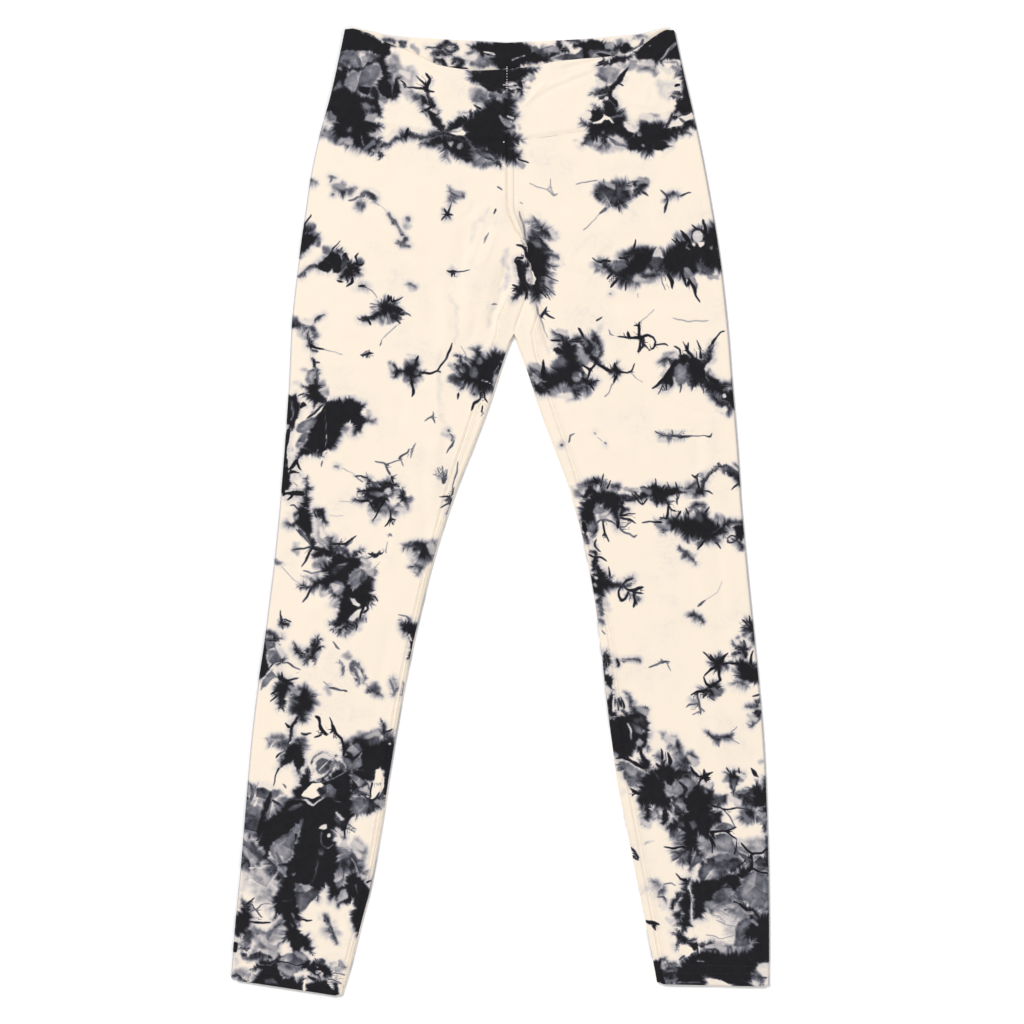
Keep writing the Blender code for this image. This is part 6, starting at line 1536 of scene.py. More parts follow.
    (0.5, 699, 703, 1, 691, 705, 1.2, 687, 708, 0.6), (0.45, 700, 711, 0.8, 693, 715, 0.4),
    (0.6, 700, 708, 0.6, 704, 712, 0.3), (1, 753, 650, 0.5, 752, 657, 1.2, 751, 664, 2),
    (0.6, 744, 641, 1.5, 745, 647, 2), (0.9, 742, 620, 0.5, 747, 624, 1.5),
    (0.9, 741, 628, 0.4, 747, 628, 1.5), (0.9, 749, 615, 0.4, 750, 622, 1.5),
    (0.8, 752, 696, 0.5, 758, 695, 1.2), (0.5, 716, 742, 1.5, 718, 747, 0.8),
    (0.4, 731, 731, 0.6, 736, 726, 0.3), (0.35, 733, 740, 0.6, 739, 744, 0.5),
    (0.5, 602, 630, 0.4, 605, 634, 0.6), (0.34, 712, 902, 0.5, 722, 912, 0.9, 738, 918, 0.3),
    (0.3, 716, 920, 0.6, 730, 926, 0.9, 745, 925, 0.4), (0.3, 706, 935, 0.5, 722, 938, 0.8, 742, 934, 0.4),
    (0.34, 712, 944, 0.6, 726, 947, 0.9, 740, 943, 0.4),
    (0.27, 720, 905, 0.6, 733, 905, 0.9, 745, 898, 0.4),
    (0.25, 724, 930, 0.5, 735, 932, 0.8, 746, 936, 0.4),
    (0.3, 708, 912, 0.4, 718, 916, 0.7, 726, 922, 0.4),
)

# Soft tints, with a few rows of painted shade along creases and an edge: strength, feather, and the x, y
# and half width of each point.
WASHES_AND_SHADE: tuple[Row, ...] = (
    # Waistband, the wearer's right and the centre.
    (0.3, 4, 516, 98, 6), (0.35, 5, 478, 97, 9), (0.4, 4, 397, 58, 6, 396, 68, 7), (0.25, 6, 405, 78, 12),
    (0.5, 3, 392, 76, 4, 393, 86, 4), (0.3, 4, 432, 84, 3, 432, 93, 3), (0.45, 3, 534, 78, 3),
    (0.45, 7, 370, 85, 6, 380, 65, 5), (0.3, 7, 400, 87, 5, 420, 100, 5),
    (0.4, 7, 327, 117, 5, 330, 124, 5), (0.5, 6, 485, 152, 5, 495, 156, 5),
    (0.35, 8, 345, 57, 8, 362, 52, 6), (0.3, 7, 345, 82, 6, 358, 75, 5),
    # Waistband, the wearer's left.
    (0.15, 6, 665, 88, 10), (0.3, 4, 646, 119, 5, 658, 118, 4), (0.35, 4, 590, 140, 5),
    (0.3, 4, 594, 115, 5), (0.3, 3, 599, 144, 4), (0.45, 6, 598, 70, 4, 608, 78, 5, 620, 66, 4),
    (0.4, 5, 636, 66, 3, 648, 68, 4, 655, 74, 3), (0.35, 5, 672, 64, 3, 682, 66, 3),
    (0.5, 6, 592, 143, 3, 605, 147, 4), (0.45, 6, 617, 138, 5, 622, 143, 5),
    (0.4, 6, 580, 44, 4, 590, 48, 4), (0.4, 5, 685, 112, 4, 686, 120, 3),
    (0.3, 6, 602, 112, 5, 600, 122, 5), (0.35, 5, 612, 146, 4, 618, 140, 3), (0.3, 5, 686, 122, 4),
    (0.2, 4, 577, 140, 3),
    # Thigh of the wearer's right leg.
    (0.22, 4, 405, 225, 5), (0.6, 3, 309, 228, 5), (0.45, 3, 318, 243, 4), (0.3, 3, 303, 258, 4),
    (0.37, 3, 327, 251, 5), (0.4, 3, 358, 264, 6), (0.35, 3, 360, 275, 4), (0.45, 4, 380, 318, 6),
    (0.45, 4, 395, 319, 6), (0.25, 4, 412, 287, 6), (0.3, 4, 325, 392, 5), (0.3, 5, 345, 430, 5),
    (0.4, 2, 322, 384, 3), (0.35, 4, 370, 415, 4), (0.5, 4, 412, 366, 8), (0.5, 4, 412, 377, 8),
    (0.5, 5, 456, 380, 6), (0.3, 4, 474, 392, 7), (0.2, 4, 453, 272, 6),
    # Painted shade along the outer edge of the wearer's right thigh.
    (0.13, 3, 291.5, 330, 1, 288.5, 380, 1.4, 285, 430, 1, 283, 462, 0.8),
    # Crotch, and the thigh of the wearer's left leg.
    (0.35, 4, 678, 236, 5), (0.35, 4, 650, 192, 0), (0.3, 4, 597, 186, 4), (0.5, 4, 534, 372, 7),
    (0.4, 5, 552, 388, 6, 570, 394, 6), (0.4, 4, 709, 375, 5),
    (0.5, 7, 530, 235, 4, 534, 262, 5, 533, 285, 4), (0.45, 7, 575, 366, 5, 592, 346, 5),
    (0.4, 6, 673, 376, 5, 690, 372, 5), (0.4, 6, 708, 362, 4, 712, 352, 4),
    (0.45, 6, 594, 266, 3, 600, 268, 3), (0.4, 6, 690, 242, 4, 696, 240, 4),
    (0.22, 6, 549, 272, 3, 550, 284, 3), (0.2, 5, 668, 432, 2, 688, 433, 2), (0.22, 5, 598, 332, 4),
    (0.25, 5, 612, 279, 3, 640, 281, 3), (0.35, 6, 695, 235, 4), (0.35, 6, 599, 263, 4),
    (0.28, 4, 303, 325, 3, 306, 340, 4), (0.26, 5, 305, 370, 3, 308, 388, 4), (0.12, 5, 295, 385, 4),
    (0.36, 5, 587, 390, 5), (0.2, 4, 447, 435, 3), (0.22, 3, 291, 440, 2, 292, 450, 2),
    (0.28, 5, 367, 480, 5), (0.15, 4, 662, 440, 3), (0.18, 4, 705, 470, 4), (0.2, 4, 590, 545, 3),
    (0.3, 4, 742, 548, 3), (0.14, 5, 280, 567, 4), (0.28, 4, 597, 605, 2, 597, 618, 3),
    (0.14, 5, 620, 790, 4), (0.32, 5, 762, 818, 4), (0.16, 5, 320, 915, 3), (0.14, 5, 642, 890, 4),
    (0.26, 5, 250, 977, 4), (0.2, 5, 235, 962, 4), (0.32, 5, 340, 990, 3), (0.35, 5, 760, 980, 4),
    # Painted shade in the soft creases beside the crotch and down the wearer's right thigh, for the next
    # six rows.
    (0.1, 4, 488, 207, 2, 480, 222, 3, 476, 234, 3, 468, 250, 2),
    (0.09, 4, 452, 277, 2, 453, 302, 3, 459, 322, 3, 452, 345, 3),
    (0.13, 4, 506, 250, 3, 505, 270, 4, 502, 290, 4), (0.1, 4, 499, 290, 3, 492, 310, 4, 486, 325, 3),
    (0.08, 5, 441, 350, 4, 439, 385, 5, 441, 420, 4), (0.09, 3, 477, 307, 1, 490, 305, 2),
    # Knee of the wearer's right leg.
    (0.4, 4, 297, 548, 5), (0.4, 5, 320, 562, 7), (0.35, 4, 316, 578, 6), (0.35, 4, 322, 592, 4),
    (0.5, 3, 277, 562, 4), (0.45, 4, 409, 500, 5), (0.45, 3, 388, 478, 4),
    (0.25, 6, 318, 522, 5, 320, 540, 6), (0.3, 5, 420, 555, 12), (0.3, 3, 305, 482, 3),
    (0.4, 6, 290, 480, 3, 291, 484, 3), (0.4, 7, 353, 627, 5, 358, 620, 4), (0.35, 4, 443, 477, 3),
    (0.25, 5, 335, 540, 5), (0.3, 3, 337, 466, 1.5), (0.3, 3, 451, 437, 2.5),
    (0.3, 5, 374, 508, 5, 390, 512, 5, 402, 506, 3), (0.3, 6, 345, 550, 5),
    (0.3, 6, 325, 590, 5, 315, 586, 4), (0.3, 5, 392, 686, 3),
    # Knee of the wearer's left leg.
    (0.5, 5, 578, 490, 6), (0.3, 4, 603, 516, 6), (0.3, 4, 592, 534, 4, 595, 545, 3),
    (0.5, 4, 696, 484, 3, 697, 494, 3), (0.35, 4, 702, 474, 4), (0.45, 4, 717, 518, 4, 724, 520, 4),
    (0.4, 4, 732, 531, 5), (0.5, 3, 594, 571, 2.5), (0.2, 4, 688, 556, 8), (0.35, 4, 626, 496, 3),
    (0.4, 7, 738, 528, 4, 742, 534, 4), (0.25, 6, 588, 490, 4, 592, 530, 4),
    # Calf of the wearer's right leg.
    (0.3, 4, 280, 623, 4), (0.45, 5, 334, 605, 6), (0.45, 5, 301, 700, 14), (0.45, 4, 290, 688, 5),
    (0.35, 4, 312, 652, 9), (0.35, 4, 347, 655, 4), (0.3, 4, 328, 690, 4), (0.5, 4, 374, 688, 6),
    (0.4, 4, 405, 630, 6), (0.5, 4, 358, 738, 6, 375, 735, 6), (0.35, 4, 268, 936, 4, 280, 924, 5),
    (0.45, 4, 268, 956, 5), (0.2, 6, 330, 928, 10), (0.35, 5, 290, 972, 6), (0.35, 2, 335, 977, 3),
    (0.3, 6, 358, 840, 5, 365, 860, 4), (0.3, 4, 302, 744, 4), (0.5, 3, 280, 758, 3),
    (0.35, 8, 245, 866, 6, 262, 880, 8, 276, 872, 6), (0.38, 7, 250, 930, 6, 265, 945, 7, 280, 930, 6),
    (0.55, 5, 246, 956, 3, 262, 958, 3), (0.45, 7, 345, 850, 6, 350, 870, 6),
    (0.4, 7, 330, 767, 5, 333, 772, 4), (0.4, 6, 308, 978, 4, 320, 974, 5),
    (0.4, 6, 238, 976, 3, 244, 972, 3), (0.35, 8, 270, 890, 7, 272, 905, 6),
    (0.3, 10, 250, 880, 8, 268, 885, 9, 262, 895, 8), (0.4, 6, 232, 975, 4, 240, 972, 4),
    (0.35, 6, 360, 772, 5), (0.35, 6, 280, 865, 6, 281, 885, 5), (0.2, 5, 255, 855, 7, 262, 880, 7),
    # Calf of the wearer's left leg.
    (0.25, 5, 605, 605, 6), (0.4, 4, 610, 655, 3), (0.3, 6, 695, 700, 6), (0.45, 5, 678, 760, 8),
    (0.4, 3, 726, 780, 3, 741, 780, 3), (0.3, 4, 662, 903, 4), (0.35, 3, 647, 844, 1.5, 650, 840, 1),
    (0.4, 4, 763, 760, 2), (0.35, 4, 735, 670, 4), (0.3, 4, 632, 703, 5),
    (0.5, 7, 745, 800, 7, 760, 790, 6), (0.45, 8, 705, 845, 7, 740, 850, 8, 765, 845, 7),
    (0.55, 7, 715, 862, 7, 745, 862, 7), (0.45, 8, 738, 905, 5, 748, 925, 7, 742, 945, 6),
    (0.5, 7, 683, 908, 5, 687, 915, 4), (0.4, 7, 668, 780, 5, 662, 757, 5),
    (0.2, 6, 752, 970, 5, 764, 975, 4), (0.3, 6, 643, 812, 4, 655, 815, 5),
    (0.17, 12, 715, 905, 8, 735, 920, 10, 730, 940, 8), (0.4, 6, 757, 975, 5, 764, 968, 4),
    (0.3, 7, 672, 748, 4, 684, 758, 4), (0.3, 7, 685, 785, 8, 678, 800, 6), (0.3, 6, 735, 912, 4),
    (0.3, 6, 688, 912, 4), (0.15, 6, 730, 665, 3), (0.4, 6, 757, 978, 4),
)

OUTSIDE_DYE = DyePlan(INK_AREAS, INK_LINES, LIFT_AREAS, LIFT_LINES_AND_HIGHLIGHTS, VEINS_AND_SHADE, WASHES_AND_SHADE)

# The inside of the back of the waistband.
INSIDE_DYE = DyePlan(
    ink_areas=(
        (1, 1.5, 470, 46, 476, 43, 500, 42, 520, 43, 527, 45, 530, 50, 537, 54, 546, 57, 551, 60, 546, 62,
         538, 62, 527, 64, 516, 60, 504, 62, 500, 66, 494, 64, 491, 60, 494, 56, 500, 54, 494, 52, 486, 53,
         483, 58, 478, 52, 474, 50),
        (1, 1, 579, 42, 590, 40, 602, 41, 604, 48, 612, 50, 614, 46, 622, 44, 618, 50, 605, 52, 596, 50,
         591, 50, 590, 58, 584, 59, 584, 50, 580, 46),
        (0.65, 1, 399, 41, 407, 40, 407, 47, 401, 47),
        (0.4, 1.2, 466, 53, 478, 49, 492, 51, 500, 56, 498, 66, 486, 68, 474, 66, 468, 60),
        (1, 1, 494, 48, 508, 46, 530, 46, 534, 58, 520, 68, 508, 70, 500, 69.5, 495, 62),
        (1, 0.8, 592, 46, 606, 43, 612, 51, 604, 55, 594, 53), (1, 0.8, 616, 48, 628, 43, 634, 48, 624, 54),
        (0.5, 1, 536, 50, 552, 46, 560, 54, 550, 58, 538, 58),
    ),
    ink_lines=(
        (1, 1, 549, 58, 1, 555, 52, 2, 559, 46, 2, 557, 41, 1.5), (1, 1, 562, 50, 2, 568, 51, 1.5),
        (0.9, 1, 575, 46, 2, 580, 45, 2),
        (0.75, 1.5, 439, 48, 2.5, 446, 44, 1.5, 454, 45, 1.5, 457, 49, 1.5, 451, 52, 1.5, 445, 48, 1.5),
        (0.75, 1.5, 435, 54, 3, 441, 52, 3, 446, 55, 2, 452, 54, 1),
        (0.75, 1, 436, 60, 2, 443, 61, 3, 446, 65, 2.5), (0.7, 2, 456, 60, 3, 463, 61, 3, 460, 66, 3),
        (0.8, 0.5, 426, 47, 0.8, 433, 49, 1, 439, 47, 1.2), (0.98, 1, 480, 50, 2, 490, 52, 3.5, 500, 52, 3),
        (0.55, 1.5, 598, 56, 2, 608, 57, 3), (0.45, 1.5, 571, 41, 2, 579, 43, 3),
        (0.25, 1.5, 636, 37, 2, 646, 37, 2), (0.47, 1.5, 384, 40, 2, 394, 42, 2.5),
        (0.98, 1, 597, 53, 2, 606, 57, 3.5, 615, 57, 2), (0.75, 1.5, 582, 53, 2, 590, 56, 3),
    ),
    lift_areas=(
        (0.5, 1, 550, 60, 557, 57, 564, 55, 575, 54, 583, 50, 584, 58, 570, 60),
        (0.5, 1.5, 590, 50, 600, 51, 612, 52, 620, 49, 612, 58, 604, 60, 590, 58),
        (0.3, 1, 604, 44, 612, 42, 612, 48, 606, 49), (0.5, 1.5, 528, 47, 537, 47, 542, 54, 534, 52),
    ),
    lift_lines=(
        (0.5, 1, 632, 52, 2, 640, 46, 2, 643, 41, 1.5), (0.1, 0.5, 484, 52, 1, 494, 54, 1),
        (0.25, 0.6, 512, 60, 0.8, 524, 56, 0.8), (0.3, 1.5, 546, 50, 2, 556, 50, 3),
        (0.1, 1.5, 464, 57, 2, 474, 58, 3),
    ),
    veins=(
        (1, 436, 65, 0.8, 446, 67, 1.2, 468, 69, 0.8), (1, 366, 33, 1.2, 374, 36, 0.6),
        (0.85, 598, 54, 1.8, 607, 57, 2.8, 616, 58, 1.4), (0.6, 583, 52, 1.4, 590, 56, 2),
    ),
    washes=(
        (0.35, 2, 412, 46, 3, 418, 52, 3), (0.4, 3, 622, 44, 5), (0.35, 3, 486, 60, 4),
        (0.3, 2, 545, 50, 5),
    ),
)

# Folds laid on the cloth: half width, height, and the x and y of each point.
LEG_FOLDS: tuple[Row, ...] = (
    (3, 0.9, 507.5, 150, 508, 190, 512, 214, 518, 228, 524, 240),
    (2.4, -2.9, 519, 206, 522, 219, 526, 236, 529, 250, 532, 262),
    (2.6, 1.4, 520, 232, 525, 248, 528, 264, 531, 278, 528, 292),
    (2.8, -2.7, 531, 282, 536, 300, 542, 320, 548, 342, 551, 356), (3.4, 1, 529, 300, 535, 322, 541, 348),
    (3.6, -2.2, 511, 252, 505, 270, 499, 290, 494, 312, 490, 336),
    (5.5, 1, 517, 276, 509, 300, 502, 330, 494, 360),
    (8, -1, 470, 215, 462, 250, 456, 290, 458, 318, 453, 340),
    (9, 1, 485, 225, 476, 262, 468, 300, 470, 336), (6, -0.7, 447, 396, 448, 430, 440, 470),
    (7, -0.9, 424, 440, 423, 480, 428, 520, 420, 560), (8, 0.9, 436, 430, 437, 480, 430, 530),
    (5, 0.6, 398, 500, 394, 540, 384, 580), (5, -0.7, 698, 424, 697, 446, 699, 474),
    (6, 0.6, 708, 420, 708, 450, 710, 480), (5, -0.7, 717, 540, 720, 575, 724, 612),
    (7, 0.6, 700, 545, 704, 590, 712, 630), (9, -0.6, 640, 560, 652, 600, 650, 650, 655, 700),
    (10, 0.6, 575, 420, 600, 445, 640, 452), (8, -0.6, 560, 300, 600, 306, 650, 300, 700, 306),
    (9, 0.6, 560, 205, 590, 235, 640, 225), (8, -0.6, 380, 240, 420, 262, 436, 300, 430, 350),
    (9, 0.7, 340, 210, 385, 226, 430, 250), (7, -0.6, 330, 330, 372, 352, 400, 392, 404, 430),
    (8, 0.6, 300, 620, 330, 600, 372, 604), (6, -0.6, 392, 610, 386, 650, 376, 700, 374, 740),
    (6, 0.7, 300, 790, 330, 800, 352, 790), (5, -0.7, 330, 870, 342, 905, 338, 940),
    (6, 0.7, 690, 690, 700, 730, 694, 770), (5, -0.7, 650, 860, 660, 900, 662, 940),
    (6, 0.8, 690, 905, 722, 915, 745, 935), (2.2, -0.8, 521, 212, 524, 224, 527, 238),
    (2.6, 0.8, 516, 196, 520, 206, 524, 218), (2.4, -0.7, 500, 262, 496, 284, 490, 306, 486, 326),
    (2.6, 0.7, 505, 256, 500, 276, 494, 300, 490, 318),
    (2.6, -0.7, 492, 216, 484, 236, 474, 262, 470, 284), (2.4, 0.6, 498, 226, 490, 248, 482, 268),
    (2.6, -0.6, 466, 246, 462, 262, 464, 276), (3, -0.6, 447, 278, 450, 300, 458, 312, 452, 334),
    (3, 0.6, 440, 290, 444, 312, 450, 330), (3, -0.6, 478, 200, 470, 214, 458, 222),
    (2.6, -0.6, 556, 318, 562, 344, 566, 366), (3, -0.5, 488, 340, 480, 352, 470, 362),
    (3, -0.5, 470, 300, 476, 320, 470, 344), (3.4, -0.5, 560, 268, 590, 278, 620, 300),
    (3, -0.5, 602, 232, 590, 240, 570, 262), (3.4, 0.5, 612, 240, 600, 250, 584, 268),
    (3.4, -0.5, 330, 262, 352, 274, 380, 278), (3, -0.4, 690, 318, 710, 330, 722, 346),
    (3, -0.4, 660, 398, 690, 412, 720, 416), (3.4, -0.5, 446, 560, 440, 590, 436, 620),
    (3, -0.5, 590, 560, 600, 600, 604, 640), (3.4, -0.4, 350, 640, 356, 670, 350, 700),
    (3.4, -0.4, 720, 640, 712, 670, 716, 700),
)
BAND_FOLDS: tuple[Row, ...] = (
    (2.2, 0.5, 524, 104, 545, 88, 570, 77, 600, 66), (1.8, -0.35, 534, 102, 552, 90, 576, 80, 602, 70),
    (1.6, 0.5, 556, 67, 574, 62, 598, 57), (1.6, -0.4, 560, 70, 580, 65, 602, 60),
    (2.2, 0.7, 420, 60, 434, 66, 447, 77, 455, 92), (2.4, 0.8, 548, 80, 536, 92, 522, 108),
    (2.4, -0.5, 640, 76, 652, 90, 650, 108), (3.2, 0.6, 616, 96, 634, 104, 662, 108),
    (3, 0.6, 400, 100, 412, 112, 432, 122), (2.6, -0.6, 470, 80, 478, 96, 470, 112),
)


# ---------------------------------------------------------------- shading


class Value:
    """A shader socket that takes arithmetic, each step of which adds a Math node."""

    def __init__(self, graph: "Graph", socket: bpy.types.NodeSocket) -> None:
        """Wraps a socket.

        Args:
            graph: The graph that it is in.
            socket: The output it stands for.
        """
        self.graph = graph
        self.socket = socket

    def _math(self, operation: str, *terms: "Value | float") -> "Value":
        """One Math node over the terms."""
        return self.graph.node("ShaderNodeMath", {"operation": operation}, dict(enumerate(terms)))

    def __add__(self, other: "Value | float") -> "Value":
        """The sum."""
        return self._math("ADD", self, other)

    def __radd__(self, other: float) -> "Value":
        """The sum, the other way round."""
        return self._math("ADD", other, self)

    def __sub__(self, other: "Value | float") -> "Value":
        """The difference."""
        return self._math("SUBTRACT", self, other)

    def __rsub__(self, other: float) -> "Value":
        """The difference, the other way round."""
        return self._math("SUBTRACT", other, self)

    def __mul__(self, other: "Value | float") -> "Value":
        """The product."""
        return self._math("MULTIPLY", self, other)

    def __truediv__(self, other: "Value | float") -> "Value":
        """The quotient."""
        return self._math("DIVIDE", self, other)

    def __abs__(self) -> "Value":
        """The size without the sign."""
        return self._math("ABSOLUTE", self)

    def fraction(self) -> "Value":
        """What is left past the whole number."""
        return self._math("FRACT", self)

    def highest(self, other: "Value | float") -> "Value":
        """The larger of the two."""
        return self._math("MAXIMUM", self, other)

    def lowest(self, other: "Value | float") -> "Value":
        """The smaller of the two."""
        return self._math("MINIMUM", self, other)

    def over(self, low: "Value | float", high: "Value | float") -> "Value":
        """Rises smoothly.

        Args:
            low: Where it is still 0.
            high: Where it has reached 1.

        Returns:
            The share from 0 to 1.
        """
        settings = {"interpolation_type": "SMOOTHSTEP"}
        return self.graph.node("ShaderNodeMapRange", settings, {0: self, 1: low, 2: high, 3: 0.0, 4: 1.0})

    def joined(self, other: "Value | float") -> "Value":
        """Two amounts laid over each other, which never pass 1."""
        return self + (1.0 - self) * other

    def towards(self, other: "Value | float", share: "Value | float") -> "Value":
        """Part of the way from this value to another."""
        return self + (other - self) * share


class Graph:
    """A material's nodes."""

    def __init__(self, name: str) -> None:
        """Starts a material with a Principled shader.

        Args:
            name: The material's name.
        """
        self.material = bpy.data.materials.new(name)
        self.material.use_nodes = True
        self.tree = self.material.node_tree
        self.shader = self.tree.nodes["Principled BSDF"]

    def node(
        self,
        kind: str,
        settings: dict[str, object] | None = None,
        inputs: dict[int | str, object] | None = None,
        output: int | str = 0,
    ) -> Value:
        """Adds a node.

        Args:
            kind: The node's type.
            settings: Its properties, set first. "stops" gives a ramp's (place, colour) rows.
            inputs: Values or links, by socket number or name.
            output: Which output to hand back.

        Returns:
            That output.
        """
        made = self.tree.nodes.new(kind)
        for key, value in (settings or {}).items():
            if key == "stops":
                self._set_stops(made.color_ramp, value)
            else:
                setattr(made, key, value)
        for key, value in (inputs or {}).items():
            if isinstance(value, Value):
                self.tree.links.new(value.socket, made.inputs[key])
            else:
                made.inputs[key].default_value = value
        return Value(self, made.outputs[output])

    @staticmethod
    def _set_stops(ramp: bpy.types.ColorRamp, stops: tuple[tuple[float, Row], ...]) -> None:
        """Gives a ramp its stops."""
        while len(ramp.elements) < len(stops):
            ramp.elements.new(0.5)
        for element, (place, colour) in zip(ramp.elements, stops):
            element.position = place
            element.color = (*colour, 1.0)

    def parts(self, name: str) -> tuple[Value, Value, Value]:
        """The three numbers of a vector that the mesh carries."""
        read = self.node("ShaderNodeAttribute", {"attribute_name": name}, output="Vector")
        split = self.node("ShaderNodeSeparateXYZ", None, {0: read})
        return tuple(Value(self, socket) for socket in split.socket.node.outputs)

    def noise(self, place: Value, scale: float, detail: float = 1.0, output: int | str = 0) -> Value:
        """Noise from 0 to 1 at a place."""
        inputs = {"Vector": place, "Scale": scale, "Detail": detail}
        return self.node("ShaderNodeTexNoise", None, inputs, output)

    def vector(self, operation: str, *terms: Value | Row, output: int | str = 0) -> Value:
        """One Vector Math node over the terms."""
        return self.node("ShaderNodeVectorMath", {"operation": operation}, dict(enumerate(terms)), output)

    def blend(self, under: Value | Row, over: Value | Row, share: Value) -> Value:
        """A mix of two colours."""
        return self.node("ShaderNodeMix", {"data_type": "RGBA"}, {0: share, 6: under, 7: over}, 2)

    def dress(
        self, colour: Value, normal: Value | None, constants: dict[str, object]
    ) -> bpy.types.Material:
        """Feeds the shader.

        Args:
            colour: Its base colour.
            normal: Its normal, if it has one.
            constants: Numbers that are the same all over, by socket name.

        Returns:
            The material.
        """
        self.tree.links.new(colour.socket, self.shader.inputs["Base Color"])
        if normal is not None:
            self.tree.links.new(normal.socket, self.shader.inputs["Normal"])
        for key, value in constants.items():
            self.shader.inputs[key].default_value = value
        return self.material


@dataclass(frozen=True)
class DyedJersey:
    """Cream single jersey with a charcoal crumple dye."""

    name: str
    wale: float = 0.95
    course: float = 0.75
    stitch_depth: float = 0.16
    fuzz_depth: float = 0.25
    seam_height: float = 0.65
    fuzz_scale: float = 900.0
    mottle_scale: float = 170.0
    strand_scale: float = 95.0
    crinkle_scale: float = 62.0
    cloud_scale: float = 55.0
    drift_scale: float = 16.0
    dye_colours: tuple[tuple[float, Row], ...] = (
        (0.0, (0.89, 0.778, 0.650)),
        (0.06, (0.775, 0.70, 0.62)),
        (0.13, (0.64, 0.59, 0.57)),
        (0.28, (0.36, 0.340, 0.355)),
        (0.45, (0.170, 0.170, 0.200)),
        (0.65, (0.064, 0.065, 0.081)),
        (0.85, (0.020, 0.0195, 0.0245)),
        (1.0, (0.0100, 0.0092, 0.0110)),
    )

    def knit(self, graph: Graph) -> Value:
        """The height of the stitches, from 0 in the gaps to 1."""
        across, down, _ = graph.parts("cloth")
        aside = abs((across / self.wale).fraction() - 0.5) * 2.0
        row = (down / self.course + aside * 0.5).fraction()
        leg = 1.0 - abs(row * 2.0 - 1.0)
        return (1.0 - aside * aside) * 0.6 + leg * 0.4

    def ragged(
        self, graph: Graph, kind: DyeKind, seed: float, comb: float = 1.0, bleed: float = 1.9
    ) -> tuple[Value, Value, Value]:
        """Gives a dye layer its feathered edge, which bleeds outwards in uneven streaks.

        Args:
            graph: Where its nodes go.
            kind: The layer.
            seed: Sets its streaks apart from the other layers'.
            comb: How far the streaks reach.
            bleed: How far the dye fades out.

        Returns:
            How much of the dye is there, how deep inside it the point is, and the streaks.
        """
        depth, around, edge = graph.parts(kind.value)
        place = graph.node("ShaderNodeCombineXYZ", None, {0: around * 0.25, 1: depth * 0.05, 2: seed})
        streak = graph.noise(place, 1.0, 3.0) - 0.5
        inputs = {0: around * 0.045, 1: depth * 0.01, 2: seed + 40}
        stretch = graph.node("ShaderNodeCombineXYZ", None, inputs)
        fraying = graph.noise(stretch, 1.0).over(0.36, 0.62) * 0.85 + 0.3
        bent = depth + edge.lowest(2.2) * (streak * 7.5).lowest(1.9).highest(-1.7) * fraying * comb
        soft = edge.lowest(4.0) * bleed * (fraying * 0.7 + 0.25) + 0.4
        mask = bent.over(soft * -1.25, soft * 0.75)
        return mask * (0.35 + mask * 0.65), depth, streak

    def facets(self, graph: Graph, size: float, bend: float) -> Value:
        """Flat-sided patches, each darker towards one of its sides, as crumpled cloth takes dye.

        Args:
            graph: Where its nodes go.
            size: How wide a patch is, in millimetres.
            bend: How far its sides wander, in metres.

        Returns:
            A lightening or darkening, from about -0.6 to 0.6.
        """
        place = graph.node("ShaderNodeTexCoord", output="Object")
        wander = graph.noise(place, 700.0 / size, output="Color")
        bent = graph.vector("MULTIPLY_ADD", wander, (bend, bend, 0.0), place)
        inputs = {"Vector": bent, "Scale": 1000.0 / size}
        own = graph.node("ShaderNodeTexVoronoi", {"voronoi_dimensions": "2D"}, inputs, "Color")
        centre = Value(graph, own.socket.node.outputs["Position"])
        lean = graph.vector("SUBTRACT", own, (0.5, 0.5, 0.5))
        aside = graph.vector("SUBTRACT", bent, centre)
        tilt = graph.vector("DOT_PRODUCT", lean, aside, output="Value") * (1000.0 / size)
        shade = graph.vector("DOT_PRODUCT", lean, (0.0, 0.0, 1.0), output="Value")
        return tilt * 1.5 + shade * 0.5

    def haze_and_fold_shade(self, graph: Graph, place: Value, cloud: Value, thread: Value) -> Value:
        """The faintest dye, drifts crossed by thin lines, and painted shade: a darker line along the side
        folds.

        Args:
            graph: Where its nodes go.
            place: Each point's place.
            cloud: Noise that frays the drifts.
            thread: 1 along thin lines.

        Returns:
            How much dye there is, with the painted shade along the side folds.
        """
        drift = graph.noise(place, self.drift_scale) - 0.5
        drifts = (drift + cloud * 0.5).over(-0.02, 0.3) * (0.02 + thread * 0.035)
        _, _, from_fold = graph.parts("cloth")
        # Painted shade: darker within about 2.4 mm of the side fold, where the rolled edge turns away from
        # the light.
        return drifts + (1.0 - from_fold.over(0.1, 2.4)) * 0.2

    def density(self, graph: Graph) -> Value:
        """How much dye is at each point, from 0 to 1."""
        slate_tone, lift_tone, wash = graph.parts("tones")
        place = graph.node("ShaderNodeTexCoord", output="Object")
        mottle = graph.noise(place, self.mottle_scale) - 0.5
        cloud = graph.noise(place, self.cloud_scale, 2.0) - 0.5
        strand = graph.noise(place, self.strand_scale)
        slate, slate_depth, slate_streak = self.ragged(graph, DyeKind.SLATE, 1.7)
        ink, ink_depth, ink_streak = self.ragged(graph, DyeKind.INK, 7.3)
        lift, lift_depth, lift_streak = self.ragged(graph, DyeKind.LIFT, 12.9, 0.4, 1.2)
        facet = self.facets(graph, 25.0, 0.016) * 0.75 + self.facets(graph, 11.0, 0.007) * 0.25

